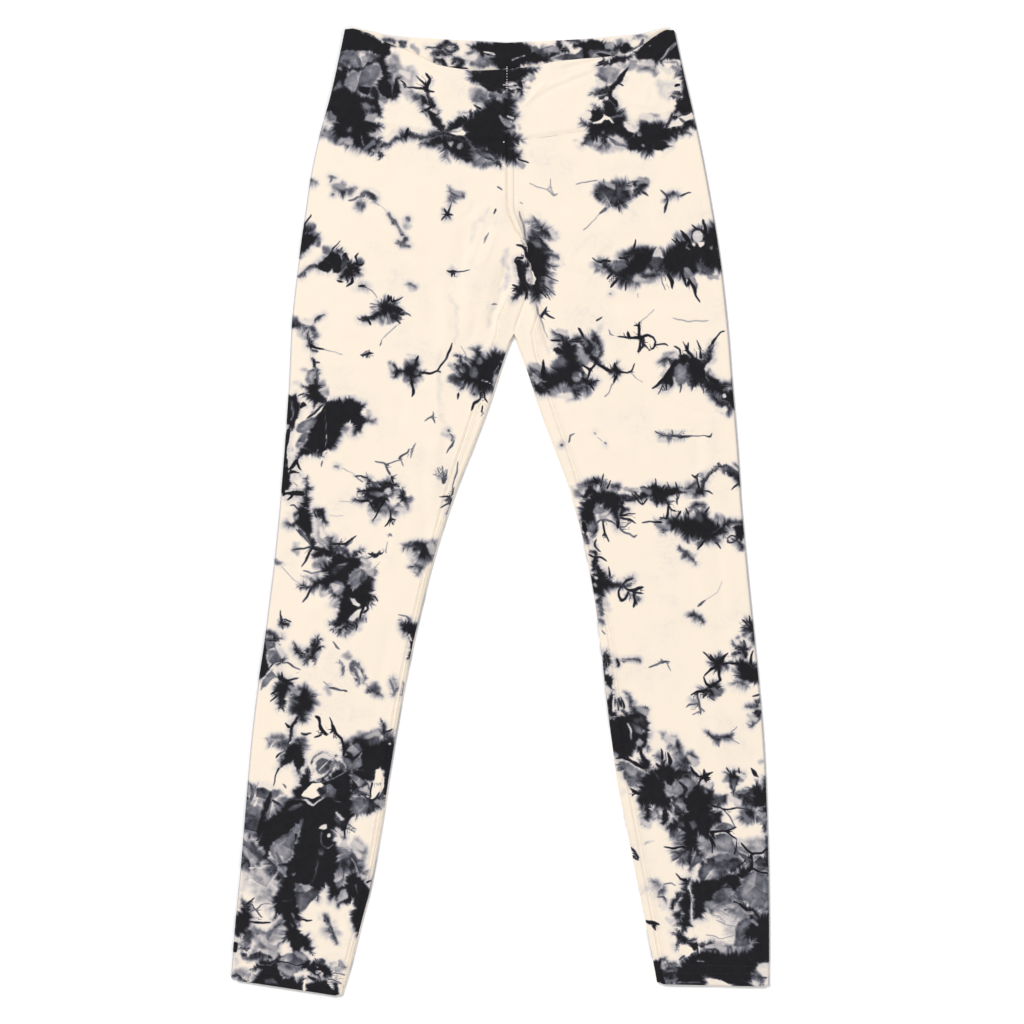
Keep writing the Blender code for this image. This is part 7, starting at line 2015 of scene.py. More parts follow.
        # Stains: the washes, a halo round the darker dyes and the haze, with painted shade along the side
        # folds and, from some wash rows, painted crease shade.
        near = ink_depth.highest(slate_depth - 2.0).over(-8.5, 2.0)
        halo = near * (0.2 + cloud * 0.7 + ink_streak * 0.5 + facet * 0.25)
        thin = 1.0 - abs(strand - 0.5).over(0.0, 0.06)
        haze_and_fold_shade = self.haze_and_fold_shade(graph, place, cloud, thin)
        grain = cloud * 2.2 + mottle * 0.8 + ink_streak * 1.5 + facet * 0.5
        stain_and_shade = (wash * (1.2 + grain) - 0.05).highest(halo).highest(haze_and_fold_shade).highest(0.0)

        # Slate, which is darkest near its edge and has paler crinkles, and charcoal over it.
        crinkle = 1.0 - abs(graph.noise(place, self.crinkle_scale) - 0.5).over(0.0, 0.035)
        deep = 1.2 - slate_depth.over(0.0, 8.0) * 0.25
        body = slate_tone * (deep + facet + cloud * 1.1 + mottle * 0.4 + slate_streak * 0.7)
        body = body - crinkle * 0.1
        total = stain_and_shade.joined(slate * body.lowest(0.95).highest(0.06))
        total = total.joined(ink * (0.97 + mottle * 0.12))

        # Paler places inside the dye, then the veins over everything.
        faded = 1.2 - lift_depth.over(0.0, 6.0) * 0.3
        pale = lift_tone * (faded + facet + cloud + mottle * 0.4) + lift_streak * 0.15
        total = total.towards(pale.highest(0.0), lift)
        side, half, vein_tone = graph.parts("vein")
        broken = (strand * 1.3 + 0.45).lowest(1.15)
        vein = (half * 0.85 - abs(side)).over(-1.0, 0.75) * broken
        return total.highest(vein * vein_tone).lowest(1.0).highest(0.0)

    def material(self) -> bpy.types.Material:
        """The finish as a material."""
        graph = Graph(self.name)
        knit = self.knit(graph)
        place = graph.node("ShaderNodeTexCoord", output="Object")
        fuzz = graph.noise(place, self.fuzz_scale)
        density = self.density(graph)
        ramp = graph.node("ShaderNodeValToRGB", {"stops": self.dye_colours}, {0: density})
        aside, run, sewn = graph.parts("seam")
        needle = 1.0 - abs(abs(aside) - 1.0).over(0.04, 0.3)
        pull = needle * (0.75 + abs((run / 2.6).fraction() - 0.5) * 0.5) * sewn
        swell = (1.0 - abs(aside)).over(-0.5, 0.9) * sewn
        # Painted shade: darker in the gaps between the knit's stitches and along the seams' needle lines;
        # the fuzz adds random tone.
        shade = (0.965 + knit * 0.05 + fuzz * 0.02).lowest(1.0) - pull * 0.07
        colour = graph.node("ShaderNodeVectorMath", {"operation": "SCALE"}, {0: ramp, "Scale": shade})
        pleats = abs((aside * 0.8 + 0.5).fraction() - 0.5) * (1.0 - abs(aside).over(2.0, 4.0)) * sewn
        height = knit * self.stitch_depth + fuzz * self.fuzz_depth + pleats * self.seam_height
        height = height + (swell - pull) * self.seam_height
        bump_inputs = {"Strength": 0.6, "Distance": 0.0009, "Height": height}
        normal = graph.node("ShaderNodeBump", None, bump_inputs)
        constants = {"Roughness": 0.93, "Specular IOR Level": 0.17, "Sheen Weight": 0.04}
        return graph.dress(colour, normal, constants)


@dataclass(frozen=True)
class Thread(DyedJersey):
    """Sewing thread, faintly twisted, that took some of the dye if it was sewn before the dye bath."""

    is_dyed: bool = True
    colour: Row = (0.90, 0.81, 0.71)
    shade: Row = (0.66, 0.58, 0.51)

    def material(self) -> bpy.types.Material:
        """The finish as a material."""
        graph = Graph(self.name)
        place = graph.node("ShaderNodeTexCoord", output="Object")
        inputs = {"Vector": place, "Scale": 900.0}
        twist = graph.node("ShaderNodeTexWave", {"bands_direction": "DIAGONAL"}, inputs)
        # Painted shade: the twist's grooves are darker than its crests.
        colour = graph.blend((*self.shade, 1.0), (*self.colour, 1.0), twist.over(0.1, 0.9))
        if self.is_dyed:
            taken = self.density(graph) * 0.9
            colour = graph.node("ShaderNodeValToRGB", {"stops": self.dye_colours}, {0: taken})
        normal = graph.node("ShaderNodeBump", None, {"Strength": 0.4, "Distance": 0.0002, "Height": twist})
        return graph.dress(colour, normal, {"Roughness": 0.6})


@dataclass(frozen=True)
class Plain:
    """A plain studio surface."""

    name: str
    colour: Row

    def material(self) -> bpy.types.Material:
        """The finish as a material."""
        graph = Graph(self.name)
        place = graph.node("ShaderNodeTexCoord", output="Object")
        tone = graph.noise(place, 3.0, 2.0).over(0.0, 1.0)
        darker = tuple(0.99 * part for part in self.colour)
        colour = graph.blend((*darker, 1.0), (*self.colour, 1.0), tone)
        return graph.dress(colour, None, {"Roughness": 0.9, "Specular IOR Level": 0.1})


# ---------------------------------------------------------------- cloth

# How far the back's dye slips from the front's, in x and y, and how far from the side fold it takes.
BACK_SLIP = (6.0, 31.0)
BACK_SLIP_REACH = 60.0


@dataclass
class ClothGrid:
    """Points in rows and columns, with what each one carries. Heights and places are millimetres."""

    x: Array
    drop: Array
    height: Array
    arc: Array
    is_front: Array
    is_inside: Array
    fields: dict[str, Array] = field(default_factory=dict)

    def board(self) -> tuple[Array, Array]:
        """The board x and y of every point."""
        return self.x + BOARD_ORIGIN[0], self.drop - LENGTH / 2 + BOARD_ORIGIN[1]


def at_corners(values: Array) -> Array:
    """The values at the four corners of every face of a grid."""
    return np.stack([values[:-1, :-1], values[:-1, 1:], values[1:, 1:], values[1:, :-1]], -1)


def show(name: str, data: bpy.types.ID) -> bpy.types.Object:
    """Puts an object with this mesh, light or camera in the scene."""
    shown = bpy.data.objects.new(name, data)
    bpy.context.scene.collection.objects.link(shown)
    return shown


def carry(mesh: bpy.types.Mesh, fields: dict[str, Array]) -> None:
    """Stores a vector for each point of a mesh under each name."""
    for key, value in fields.items():
        layer = mesh.attributes.new(key, "FLOAT_VECTOR", "POINT")
        layer.data.foreach_set("vector", value.reshape(-1).astype(np.float32))


def mesh_object(
    name: str, grid: ClothGrid, wraps: Array | None, material: bpy.types.Material
) -> bpy.types.Object:
    """Makes the object of a grid.

    Args:
        name: The object's name.
        grid: Its points.
        wraps: For each row of faces, whether its last column joins its first, or None.
        material: Its finish.

    Returns:
        The object, linked to the scene.
    """
    rows, columns = grid.x.shape
    index = np.arange(rows * columns).reshape(rows, columns)
    faces, corner_u = at_corners(index), at_corners(grid.arc / grid.arc.max())
    corner_v = at_corners(np.linspace(1.0, 0.0, rows)[:, None] * np.ones_like(grid.x))
    keep = np.ones(faces.shape[:2], bool)
    if wraps is not None:
        faces[:, -1] = np.stack([index[:-1, -2], index[:-1, 0], index[1:, 0], index[1:, -2]], -1)
        keep[:, -FOLD_STEPS:] = wraps[:, None]
    faces, corner_u, corner_v = faces[keep], corner_u[keep], corner_v[keep]
    used = np.zeros(rows * columns, bool)
    used[faces.ravel()] = True
    renumber = np.cumsum(used) - 1
    points = np.stack([grid.x, LENGTH / 2 - grid.drop, grid.height], -1).reshape(-1, 3)[used] * MM
    mesh = bpy.data.meshes.new(name)
    mesh.from_pydata(points.tolist(), [], renumber[faces].tolist())
    uv = mesh.uv_layers.new(name="OFBake")
    spread = np.stack([corner_u.ravel(), corner_v.ravel()], -1) * 0.98 + 0.01
    uv.data.foreach_set("uv", spread.astype(np.float32).ravel())
    carry(mesh, {key: value.reshape(-1, 3)[used] for key, value in grid.fields.items()})
    mesh.shade_smooth()
    mesh.materials.append(material)
    # A face on the front tells which way all of them point.
    on_front = mesh.polygons[len(mesh.polygons) // 2 // columns * columns + columns // 4]
    if on_front.normal.z < 0:
        mesh.flip_normals()
    return show(name, mesh)


def paint(grid: ClothGrid, outside: DyePlan, inside: DyePlan | None, fold: Array, sign: int) -> None:
    """Gives a grid its dye and its cloth coordinates.

    Args:
        grid: The points.
        outside: The dye of the whole cloth.
        inside: The dye of the back's inner ply, where that differs.
        fold: Frame x of the side fold at each point.
        sign: 1 on the wearer's left.
    """
    x, y = grid.board()
    from_fold = np.abs(x - BOARD_ORIGIN[0] - fold)
    back = ~grid.is_front
    slip = ease(from_fold / BACK_SLIP_REACH)
    read_x = np.where(back, x + sign * BACK_SLIP[0] * slip, x)
    read_y = np.where(back, y + BACK_SLIP[1] * slip, y)
    grid.fields.update(dyed(outside, read_x, read_y))
    if inside is not None:
        chosen = back & grid.is_inside
        for key, value in dyed(inside, x, y).items():
            grid.fields[key] = np.where(chosen[..., None], value, grid.fields[key])
    grid.fields["cloth"] = np.stack([grid.arc, grid.drop, from_fold], -1)


def dyed(plan: DyePlan, x: Array, y: Array) -> dict[str, Array]:
    """A plan's dye over a grid of points."""
    made = DyeField(plan, x.ravel(), y.ravel()).fields()
    return {key: value.reshape(*x.shape, 3) for key, value in made.items()}


def arc_lengths(x: Array, height: Array) -> Array:
    """The distance along each row from its first point."""
    run = np.hypot(np.diff(x, axis=1), np.diff(height, axis=1))
    return np.concatenate([np.zeros((len(x), 1)), np.cumsum(run, axis=1)], axis=1)


@dataclass
class Leg:
    """A leg: one panel, front and back, wrapped round the outer side and sewn up the inside."""

    side: Side
    relief: Relief
    rise_rows: int = 134
    leg_rows: int = 394
    upper_columns: int = 100
    lower_columns: int = 30
    seam_overlap: float = 0.02
    seam_columns: tuple[float, ...] = (0.0, 0.5, 1.0, 1.6)
    inseam_columns: tuple[float, ...] = (-2.4, -1.5, -0.8, 0.0, 0.8, 1.5, 2.4)
    inseam_depth: float = 0.9
    inseam_half: float = 0.9
    seam_roll: float = 1.3
    seam_roll_reach: float = 1.0
    crotch_blend: float = 14.0
    inseam_half_width: float = 2.0
    rise_half_width: float = 3.5
    lip_place: float = 2.6
    lip_half: float = 1.3
    pucker: float = 0.16
    pucker_length: float = 1.9
    pucker_reach: float = 4.0
    unevenness: tuple[tuple[float, float, int], ...] = ((2.1, 17.0, 9),)
    softness: tuple[tuple[float, float, int], ...] = ((0.30, 34.0, 21), (0.12, 11.0, 22))
    hem_width: float = 108.0
    hem_round: float = 1.8
    corner_reach: float = 2.6
    hem_wall: float = 1.6
    hem_turn: float = 21.0

    def hem(self) -> float:
        """The hem's drop halfway across."""
        return (self.side.hem_inner + self.side.hem_outer) / 2

    def rows(self) -> tuple[Array, Array]:
        """Sets out the rows.

        Returns:
            Each row's drop before it is bent to the seams, and how far it is turned inside.
        """
        hem = self.hem()
        top = SIDE_SEAM_DROP + np.array([0.0, 0.4, 0.9, 1.5])
        rise = steps(top[-1], CROTCH_DROP, self.rise_rows)
        leg = steps(CROTCH_DROP, hem - 0.8, self.leg_rows)
        turn = np.array([hem - 0.25, hem, hem - 0.25, hem - 0.9, hem - 4, hem - 12, hem - self.hem_turn])
        inset = np.array([0.25, 0.8, 1.35, 1.6, 1.6, 1.6, 1.6]) / 1.6 * self.hem_wall
        drops = np.concatenate([top, rise, leg, turn])
        return drops, np.concatenate([np.zeros(len(drops) - len(turn)), inset])

    def drop(self, straight: Array, across: Array, seam: tuple[Row, ...]) -> Array:
        """Bends a row to the waist seam and to the hem's slant.

        Args:
            straight: Each row's own drop.
            across: Each column's across.
            seam: The waist seam, as rows of (across, drop).

        Returns:
            The drop of each point.
        """
        at_top = 1 - ease((straight - SIDE_SEAM_DROP) / (YOKE_DROP - SIDE_SEAM_DROP))
        at_foot = ease(1 - (self.hem() - straight) / HEM_BLEND)
        below_side = along(seam, across) - SIDE_SEAM_DROP
        slant = self.side.hem_inner + (self.side.hem_outer - self.side.hem_inner) * across - self.hem()
        corner = sum(
            np.exp(-((share * self.hem_width / self.corner_reach) ** 2)) for share in (across, 1 - across)
        )
        at_hem = ease(1 - (self.hem() - straight) / 12)
        return straight + at_top * below_side + at_foot * slant - self.hem_round * corner * at_hem

    def inner_x(self, drop: Array) -> Array:
        """The centre seam down to the crotch, and the inner fold below it."""
        limit = np.where(drop < CROTCH_DROP, along(RISE, drop), along(self.side.inner, drop))
        return limit - self.side.sign * self.seam_overlap

    def puckers(self, drop: Array) -> Array:
        """The uneven pull of the inseam's stitches along its length."""
        uneven = drop / self.pucker_length + ripples(drop, drop * 0, self.unevenness)
        return self.pucker * np.sin(uneven) * ease((drop - INSEAM_TOP_DROP) / 30)

    def ends(self, drop: Array, rolled: Array | float) -> tuple[Array, Array]:
        """Where the flat of a ply ends.

        Args:
            drop: The drop of each point.
            rolled: How far the inner fold takes the flat in from the leg's inner edge.

        Returns:
            Frame x of the flat's inner and outer end.
        """
        outer = along(self.side.outer, drop) - self.side.sign * FOLD_REACH
        return self.inner_x(drop) + self.side.sign * rolled, outer

    def upper(self, x: Array, drop: Array, inner: Array, outer: Array) -> Array:
        """Works out the upper layer's height.

        Args:
            x: Frame x of each point.
            drop: Its drop.
            inner: Frame x of the row's inner end.
            outer: Frame x of its outer end.

        Returns:
            The height of each point.
        """
        board_x, board_y = x + BOARD_ORIGIN[0], drop - LENGTH / 2 + BOARD_ORIGIN[1]
        from_inner, from_outer = np.abs(x - inner), np.abs(x - outer)
        margin = ease(np.minimum(from_inner, from_outer) / LIFT_MARGIN)
        lifted = (solid_lift(x, drop) + ripples(board_x, board_y, self.softness)) * margin
        margin = ease(np.minimum(from_inner, from_outer) / FOLD_MARGIN)
        lifted += self.relief.height(board_x, board_y) * margin
        seam_x = self.inner_x(drop) + self.side.sign * along(self.side.inset, drop)
        aside = np.abs(x - seam_x)
        depth = self.inseam_depth * ease((drop - INSEAM_TOP_DROP) / INSEAM_FADE)
        lips = 0.5 * np.exp(-(((aside - self.lip_place) / self.lip_half) ** 2))
        lips -= np.exp(-((aside / self.inseam_half) ** 2))
        near = np.exp(-((aside / self.pucker_reach) ** 2))
        return LEG_THICKNESS + lifted + depth * lips + near * self.puckers(drop)

    def columns(self, drop: Array, rolled: Array) -> Array:
        """Sets out the columns of the front, closer together at the seams.

        Args:
            drop: The drop of each row at its inner end.
            rolled: How far the inner fold takes the flat in.

        Returns:
            The across of each row's columns.
        """
        inner, outer = self.ends(drop, rolled)
        width = np.abs(outer - inner)
        near = np.array(self.seam_columns)[None, :] + 0 * width
        sewn = np.array(self.inseam_columns)[None, :] + along(self.side.inset, drop) - rolled
        between = near[:, -1:] + (sewn[:, :1] - near[:, -1:]) * steps(0, 1, 8)[None, :-1]
        rest = sewn[:, -1:] + (width - sewn[:, -1:]) * steps(0, 1, self.upper_columns)[None, :]
        return np.concatenate([near, between, sewn, rest], axis=1) / width

    def grid(self) -> ClothGrid:
        """Sets out every point of the leg."""
        sign = self.side.sign
        straight, inset = (part[:, None] for part in self.rows())
        rolled = FOLD_REACH * ease((straight - CROTCH_DROP) / self.crotch_blend)
        first = self.drop(straight, np.zeros((1, 1)), self.side.front_seam)
        across = self.columns(first, rolled)
        drop = self.drop(straight, across, self.side.front_seam)
        inner, outer = self.ends(drop, rolled)
        x = inner + (outer - inner) * across
        height = self.upper(x, drop, inner, outer) - inset
        opened = straight <= CROTCH_DROP + 1e-6
        free = np.where(opened, np.exp(-((np.abs(x - inner) / self.seam_roll_reach) ** 2)), 0.0)
        height -= self.seam_roll * free * ease((CROTCH_DROP + 4 - straight) / 16)

        angles = pi * np.arange(1, FOLD_STEPS)[None, :] / FOLD_STEPS
        edge_drop = self.drop(straight, np.ones((1, 1)), self.side.front_seam) + 0 * angles
        edge_x = self.ends(edge_drop, rolled)[1]
        fold_x = edge_x + sign * (FOLD_REACH - inset) * np.sin(angles)
        fold_height = inset + (LEG_THICKNESS / 2 - inset) * (1 + np.cos(angles))

        back_across = np.concatenate([[1.0], steps(1.0, 0.0, self.lower_columns)])[None, :]
        back_drop = self.drop(straight, back_across, self.side.back_seam)
        back_inner, back_outer = self.ends(back_drop, rolled)
        back_x = back_inner + (back_outer - back_inner) * back_across
        back_height = inset + 0 * back_x

        angles = angles[:, ::-1]
        inside_drop = first + 0 * angles
        depth = FOLD_REACH - (FOLD_REACH - inset) * np.sin(angles)
        inside_x = self.inner_x(inside_drop) + sign * depth
        inside_height = inset + (LEG_THICKNESS / 2 - inset) * (1 + np.cos(angles))

        xs = np.concatenate([x, fold_x, back_x, inside_x, x[:, :1]], axis=1)
        drops = np.concatenate([drop, edge_drop, back_drop, inside_drop, drop[:, :1]], axis=1)
        heights = [height, fold_height, back_height, inside_height, height[:, :1]]
        heights = np.concatenate(heights, axis=1)
        front = np.zeros(xs.shape[1], bool)
        front[: x.shape[1] + FOLD_STEPS // 2] = True
        front[-FOLD_STEPS // 2 :] = True
        is_front = front[None, :] & np.ones(xs.shape, bool)
        is_inside = (inset > 0) & np.ones(xs.shape, bool)
        made = ClothGrid(xs, drops, heights, arc_lengths(xs, heights), is_front, is_inside)
        made.fields["seam"] = self.seams(xs, drops, is_front)
        return made

    def seams(self, x: Array, drop: Array, is_front: Array) -> Array:
        """Where each point lies on the sewing of the centre front and of the inside leg.

        Args:
            x: Frame x of each point.
            drop: Its drop.
            is_front: Whether it is in front.

        Returns:
            For each point, how far aside of the seam's middle it is as a share of its half width, how
            far along it is, and how much of a seam is there.
        """
        from_edge = (x - self.inner_x(drop)) * self.side.sign
        leg = (from_edge - along(self.side.inset, drop)) / self.inseam_half_width
        sewn = ease((drop - INSEAM_TOP_DROP) / INSEAM_FADE)
        if self.side.sign > 0:
            rise = (from_edge - self.rise_half_width) / self.rise_half_width
            leg = np.where(drop < INSEAM_TOP_DROP - 20, rise, leg)
            sewn = np.maximum(sewn, 1 - ease((drop - 190) / 30))
        sewn = np.where(is_front & (np.abs(leg) < 4), sewn, 0.0)
        return np.stack([np.clip(leg, -4, 4), drop, sewn], -1)

    def build(self, dye: DyePlan, finish: bpy.types.Material) -> bpy.types.Object:
        """Makes the leg.

        Args:
            dye: Where the dye took.
            finish: Its material.

        Returns:
            The leg's object.
        """
        grid = self.grid()
        fold = along(self.side.outer, grid.drop)
        paint(grid, dye, None, fold, self.side.sign)
        straight, _ = self.rows()
        closed = straight[:-1] >= CROTCH_DROP - 1e-6
        name = f"leg_panel_{self.side.name}"
        piece = mesh_object(name, grid, closed, finish)
        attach(piece, BODY)
        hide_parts(f"leg_{self.side.name}")
        return piece


@dataclass
class Band:
    """Half of the waistband: a doubled strip, folded at its top edge, from centre front to centre back."""

    side: Side
    relief: Relief
    outer_rows: int = 62
    inner_rows: int = 44
    columns: int = 116
    seam_columns: tuple[float, ...] = (0.0, 0.003, 0.0065, 0.0105)
    seam_overlap: float = 0.02
    corner_round: float = 1.8
    corner_reach: float = 3.0
    half_width: float = 160.0
    seam_roll: float = 1.5
    seam_roll_reach: float = 1.1
    seam_slope: float = 0.07
    softness: tuple[tuple[float, float, int], ...] = ((0.30, 22.0, 31), (0.10, 8.0, 32))

    def rows(self) -> tuple[Array, Array, Array]:
        """Sets out the rows, from the waist seam up the outside, over the top and down the inside.

        Returns:
            Each row's share of the way down, its set-back from the top edge, and how far inside it is.
        """
        half = BAND_WALL / 2
        down = np.concatenate([[1.0, 0.995, 0.988], steps(0.98, 0.0, self.outer_rows)])
        turned = pi * np.arange(1, 6) / 6
        back = np.concatenate([[half] * len(down), half * (1 - np.sin(turned)), [half] * self.inner_rows])
        inset = np.concatenate([0 * down, half * (1 - np.cos(turned)), [BAND_WALL] * self.inner_rows])
        shares = np.concatenate([down, 0 * turned, np.linspace(0.0, 1.0, self.inner_rows) ** 1.3])
        return shares[:, None], back[:, None], inset[:, None]

    def ply(
        self, across: Array, top: tuple[Row, ...], seam: tuple[Row, ...]
    ) -> tuple[Array, Array]:
        """Sets out the points of the front or the back.

        Args:
            across: Each column's across.
            top: The top edge, as rows of (across, drop).
            seam: The waist seam, in the same way.

        Returns:
            Frame x and the drop of each point.
        """
        share, back, _ = self.rows()
        from_corner = (1 - across) * self.half_width / self.corner_reach
        top_drop = along(top, across) + back + self.corner_round * np.exp(-(from_corner**2))
        drop = top_drop + (along(seam, across) - top_drop) * share
        inner = along(RISE, drop) - self.side.sign * self.seam_overlap
        outer = along(self.side.outer, drop) - self.side.sign * FOLD_REACH
        return inner + (outer - inner) * across, drop

    def grid(self) -> ClothGrid:
        """Sets out every point of the band half."""
        side, sign = self.side, self.side.sign
        share, back, inset = self.rows()
        near = np.array(self.seam_columns)
        across = np.concatenate([near, steps(near[-1], 1.0, self.columns)])[None, :]
        x, drop = self.ply(across, side.front_top, side.front_seam)
        inner = along(RISE, drop)
        board_x, board_y = x + BOARD_ORIGIN[0], drop - LENGTH / 2 + BOARD_ORIGIN[1]
        outer = along(side.outer, drop)
        margin = ease(np.minimum(np.abs(x - inner), np.abs(x - outer)) / BAND_MARGIN)
        soft = ripples(board_x, board_y, self.softness)
        height = BAND_THICKNESS + (self.relief.height(board_x, board_y) + soft) * margin - inset
        height -= self.seam_roll * np.exp(-((np.abs(x - inner) / self.seam_roll_reach) ** 2))
        at_seam = ease((share - (1 - self.seam_slope)) / self.seam_slope) * (inset < 0.1)
        height -= (BAND_THICKNESS - LEG_THICKNESS) * at_seam

        angles = pi * np.arange(1, FOLD_STEPS)[None, :] / FOLD_STEPS
        top_drop = along(side.front_top, 1.0) + back + self.corner_round
        edge_drop = top_drop + (SIDE_SEAM_DROP - top_drop) * share + 0 * angles
        edge_x = along(side.outer, edge_drop) - sign * FOLD_REACH
        fold_x = edge_x + sign * (FOLD_REACH - inset) * np.sin(angles)
        fold_height = inset + (BAND_THICKNESS / 2 - inset) * (1 + np.cos(angles))

        back_x, back_drop = self.ply(across[:, ::-1], side.back_top, side.back_seam)
        back_height = inset + 0 * back_x
        xs = np.concatenate([x, fold_x, back_x], axis=1)
        drops = np.concatenate([drop, edge_drop, back_drop], axis=1)
        heights = np.concatenate([height, fold_height, back_height], axis=1)
        front = np.zeros(xs.shape[1], bool)
        front[: x.shape[1] + FOLD_STEPS // 2] = True
        is_front = front[None, :] & np.ones(xs.shape, bool)
        is_inside = (inset > BAND_WALL / 2) & np.ones(xs.shape, bool)
        made = ClothGrid(xs, drops, heights, arc_lengths(xs, heights), is_front, is_inside)
        made.fields["seam"] = np.stack([0 * xs + 4, drops, 0 * xs], -1)
        return made

    def build(self, dye: DyePlan, lining_dye: DyePlan, finish: bpy.types.Material) -> bpy.types.Object:
        """Makes the band half.

        Args:
            dye: Where the dye took on the outside.
            lining_dye: Where it took on the inside of the back.
            finish: Its material.

        Returns:
            The band half's object.
        """
        grid = self.grid()
        fold = along(self.side.outer, grid.drop)
        paint(grid, dye, lining_dye, fold, self.side.sign)
        piece = mesh_object(f"waistband_cloth_{self.side.name}", grid, None, finish)
        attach(piece, BODY)
        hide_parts(f"waistband_{self.side.name}")
        return piece


# ---------------------------------------------------------------- sewing


# A stitch from end to end: share along it, swell of its radius, and lift by shares of its thickness.
BEAD = ((0.0, 0.35, -0.5), (0.2, 0.9, 0.1), (0.5, 1.0, 0.25), (0.8, 0.9, 0.1), (1.0, 0.35, -0.5))
BEAD_SIDES = 6

# Hem sewing: each row's height above the hem, where its stitches start, and their length and lift.
HEM_ROWS = (12.0, 20.0)
HEM_PLACES = (0.012, 0.988, 0.028)
HEM_STITCH_SHARE = 0.8
HEM_STITCH_LIFT = 0.05

# Front tack: the bars across it, as (y, width), the lengths down it, as y, and how low they lie.
TACK_X = 506.9
TACK_BARS = ((69.0, 2.0), (83.6, 2.8), (87.8, 2.4))
TACK_LENGTHS = (66.8, 70.8, 73.6, 76.4, 79.4, 81.8, 85.4, 89.4)
TACK_HEIGHT = BAND_THICKNESS - 0.1


@dataclass
class Stitching:
    """Short lengths of thread lying on the cloth."""

    name: str
    thickness: float
    paths: list[tuple[Vector, Vector]] = field(default_factory=list)

    def add(self, start: Row, end: Row, height: float) -> None:
        """Lays one stitch.

        Args:
            start: Board x and y of one end.
            end: Board x and y of the other.
            height: How high the cloth is there.
        """
        ends = [
            Vector(((x - BOARD_ORIGIN[0]) * MM, (BOARD_ORIGIN[1] - y) * MM, height * MM))
            for x, y in (start, end)
        ]
        self.paths.append((ends[0], ends[1]))

    def bead(self, bm: bmesh.types.BMesh, start: Vector, end: Vector) -> None:
        """Makes one stitch, which sinks into the cloth at its ends.

        Args:
            bm: The mesh that takes it.
            start: One end.
            end: The other.
        """
        run = end - start
        aside = Vector((-run.y, run.x, 0)).normalized()
        angles = [2 * pi * i / BEAD_SIDES for i in range(BEAD_SIDES)]
        rings = []
        for share, swell, lift in BEAD:
            radius = self.thickness / 2 * swell * MM
            middle = start + run * share + Vector((0, 0, lift * self.thickness * MM))
            spokes = (aside * radius * cos(a) + Vector((0, 0, radius * sin(a))) for a in angles)
            rings.append([bm.verts.new(middle + spoke) for spoke in spokes])
        for first, second in zip(rings, rings[1:]):
            for i in range(BEAD_SIDES):
                j = (i + 1) % BEAD_SIDES
                bm.faces.new((first[i], first[j], second[j], second[i]))
        bm.faces.new(rings[0][::-1])
        bm.faces.new(rings[-1])

    def build(self, finish: bpy.types.Material, dye: DyePlan) -> bpy.types.Object:
        """Makes every stitch.

        Args:
            finish: Its material.
            dye: Where the cloth under it is dyed.

        Returns:
            The sewing's object.
        """
        bm = bmesh.new()
        for start, end in self.paths:
            self.bead(bm, start, end)
        bmesh.ops.recalc_face_normals(bm, faces=bm.faces)
        mesh = bpy.data.meshes.new(self.name)
        bm.to_mesh(mesh)
        bm.free()
        places = np.zeros(3 * len(mesh.vertices), np.float32)
        mesh.vertices.foreach_get("co", places)
        x, y = places[::3] / MM + BOARD_ORIGIN[0], BOARD_ORIGIN[1] - places[1::3] / MM
        fields = dyed(dye, x, y)
        fields["cloth"] = np.stack([x, y, 0 * x + 9], -1)
        carry(mesh, fields)
        mesh.shade_smooth()
        mesh.materials.append(finish)
        piece = show(self.name, mesh)
        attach(piece, BODY)
        return piece


def hem_stitches(leg: Leg, name: str) -> Stitching:
    """Lays the two rows of a leg's hem, front only.

    Args:
        leg: The leg.
        name: What to call the sewing.

    Returns:
        The stitches, ready to build.
    """
    sewing = Stitching(name, thickness=0.45)
    for above in HEM_ROWS:
        straight = np.array([[leg.hem() - above]])
        across = np.arange(*HEM_PLACES)[None, :]
        drop = leg.drop(straight, across, leg.side.front_seam)
        inner, outer = leg.ends(drop, FOLD_REACH)
        x = inner + (outer - inner) * across
        height = leg.upper(x, drop, inner, outer)
        points = list(zip(x[0] + BOARD_ORIGIN[0], drop[0] - LENGTH / 2 + BOARD_ORIGIN[1], height[0]))
        for here, there in zip(points, points[1:]):
            end = tuple(a + (b - a) * HEM_STITCH_SHARE for a, b in zip(here[:2], there[:2]))
            sewing.add(here[:2], end, here[2] + HEM_STITCH_LIFT)
    return sewing


def front_tack() -> Stitching:
    """Lays the pale tack down the centre front of the waistband."""
    sewing = Stitching("front_tack", thickness=0.9)
    for y, width in TACK_BARS:
        sewing.add((TACK_X - width / 2, y), (TACK_X + width / 2, y + 0.4), TACK_HEIGHT)
    for y in TACK_LENGTHS:
        sewing.add((TACK_X - 0.1, y), (TACK_X + 0.2, y + 1.3), TACK_HEIGHT)
    return sewing


# ---------------------------------------------------------------- studio


@dataclass(frozen=True)
class Lamp:
    """A soft square light aimed at the garment. Its power is in watts."""

    name: str
    place: Row
    size: float
    power: float

    def hang(self) -> None:
        """Adds the light."""
        data = bpy.data.lights.new(self.name, "AREA")
        data.size = self.size
        data.energy = self.power
        lamp = show(self.name, data)
        lamp.location = self.place
        lamp.rotation_euler = (-Vector(self.place)).to_track_quat("-Z", "Y").to_euler()


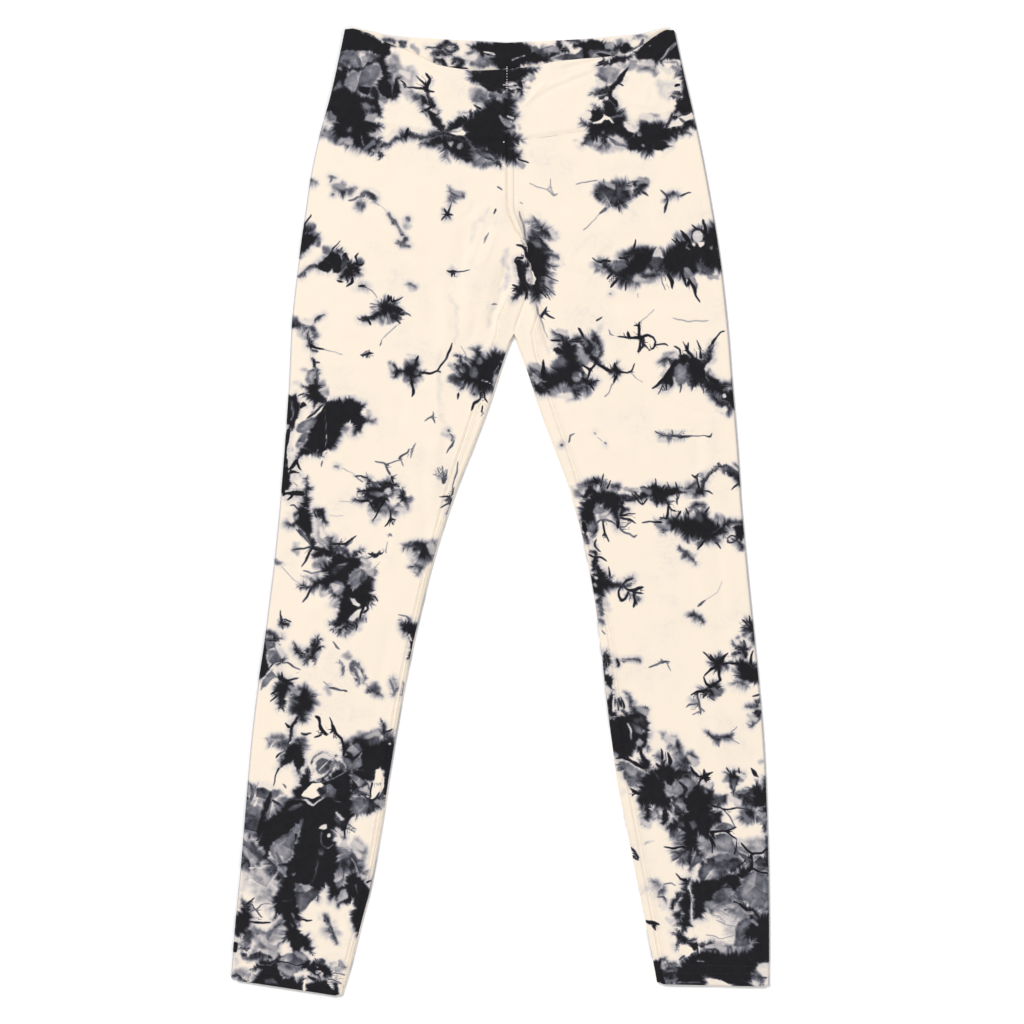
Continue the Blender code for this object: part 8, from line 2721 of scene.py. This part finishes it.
@dataclass
class Studio:
    """A pale floor, soft light and a camera that looks straight down."""

    frame_width: float = 1.024
    camera_height: float = 6.0
    centre: Row = (0.012, -0.00025)
    sensor: float = 36.0
    sky: float = 0.42
    floor_size: float = 6.0
    floor_drop: float = 0.0002
    lamps: tuple[Lamp, ...] = (
        Lamp("key", (-4.2, 5.2, 8.1), 3.2, 800.0),
        Lamp("fill", (3.6, -4.4, 5.2), 3.6, 150.0),
    )

    def lay_floor(self) -> None:
        """Makes the floor."""
        bm = bmesh.new()
        bmesh.ops.create_grid(bm, x_segments=8, y_segments=8, size=self.floor_size)
        mesh = bpy.data.meshes.new("floor")
        bm.to_mesh(mesh)
        bm.free()
        mesh.materials.append(Plain("pale_floor", (0.985, 0.985, 0.985)).material())
        floor = show("floor", mesh)
        floor.location.z = -self.floor_drop

    def light_up(self) -> None:
        """Makes the sky and hangs the lamps."""
        world = bpy.data.worlds.new("studio")
        world.use_nodes = True
        light = world.node_tree.nodes["Background"].inputs
        light["Color"].default_value = (1.0, 1.0, 1.0, 1.0)
        light["Strength"].default_value = self.sky
        bpy.context.scene.world = world
        for lamp in self.lamps:
            lamp.hang()

    def place_camera(self) -> None:
        """Hangs the camera over the middle."""
        data = bpy.data.cameras.new("camera")
        data.sensor_width = self.sensor
        data.lens = self.sensor * self.camera_height / self.frame_width
        data.clip_end = 100.0
        camera = show("camera", data)
        camera.location = (*self.centre, self.camera_height)
        bpy.context.scene.camera = camera
        bpy.context.scene.view_settings.view_transform = "Standard"

    def build(self) -> None:
        """Makes the floor, the lights and the camera."""
        self.lay_floor()
        self.light_up()
        self.place_camera()


def main() -> None:
    """Builds the studio and every piece of the garment."""
    logging.basicConfig(level=logging.INFO, format="%(message)s")
    log = logging.getLogger("leggings")
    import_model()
    Studio().build()
    leg_finish = DyedJersey("leg_jersey").material()
    band_finish = DyedJersey("waistband_jersey").material()
    thread = Thread("hem_thread").material()
    bright_thread = Thread("front_tack_thread", is_dyed=False, colour=(0.97, 0.95, 0.92)).material()
    leg_relief, band_relief = Relief(LEG_FOLDS), Relief(BAND_FOLDS)
    for side in (RIGHT, LEFT):
        leg = Leg(side, leg_relief)
        panel = leg.build(OUTSIDE_DYE, leg_finish)
        band = Band(side, band_relief).build(OUTSIDE_DYE, INSIDE_DYE, band_finish)
        sewing = hem_stitches(leg, f"hem_stitches_{side.name}").build(thread, OUTSIDE_DYE)
        for piece in (panel, band, sewing):
            log.info("%s: %d faces", piece.name, len(piece.data.polygons))
    tack = front_tack().build(bright_thread, OUTSIDE_DYE)
    log.info("%s: %d faces", tack.name, len(tack.data.polygons))


if __name__ == "__main__":
    main()
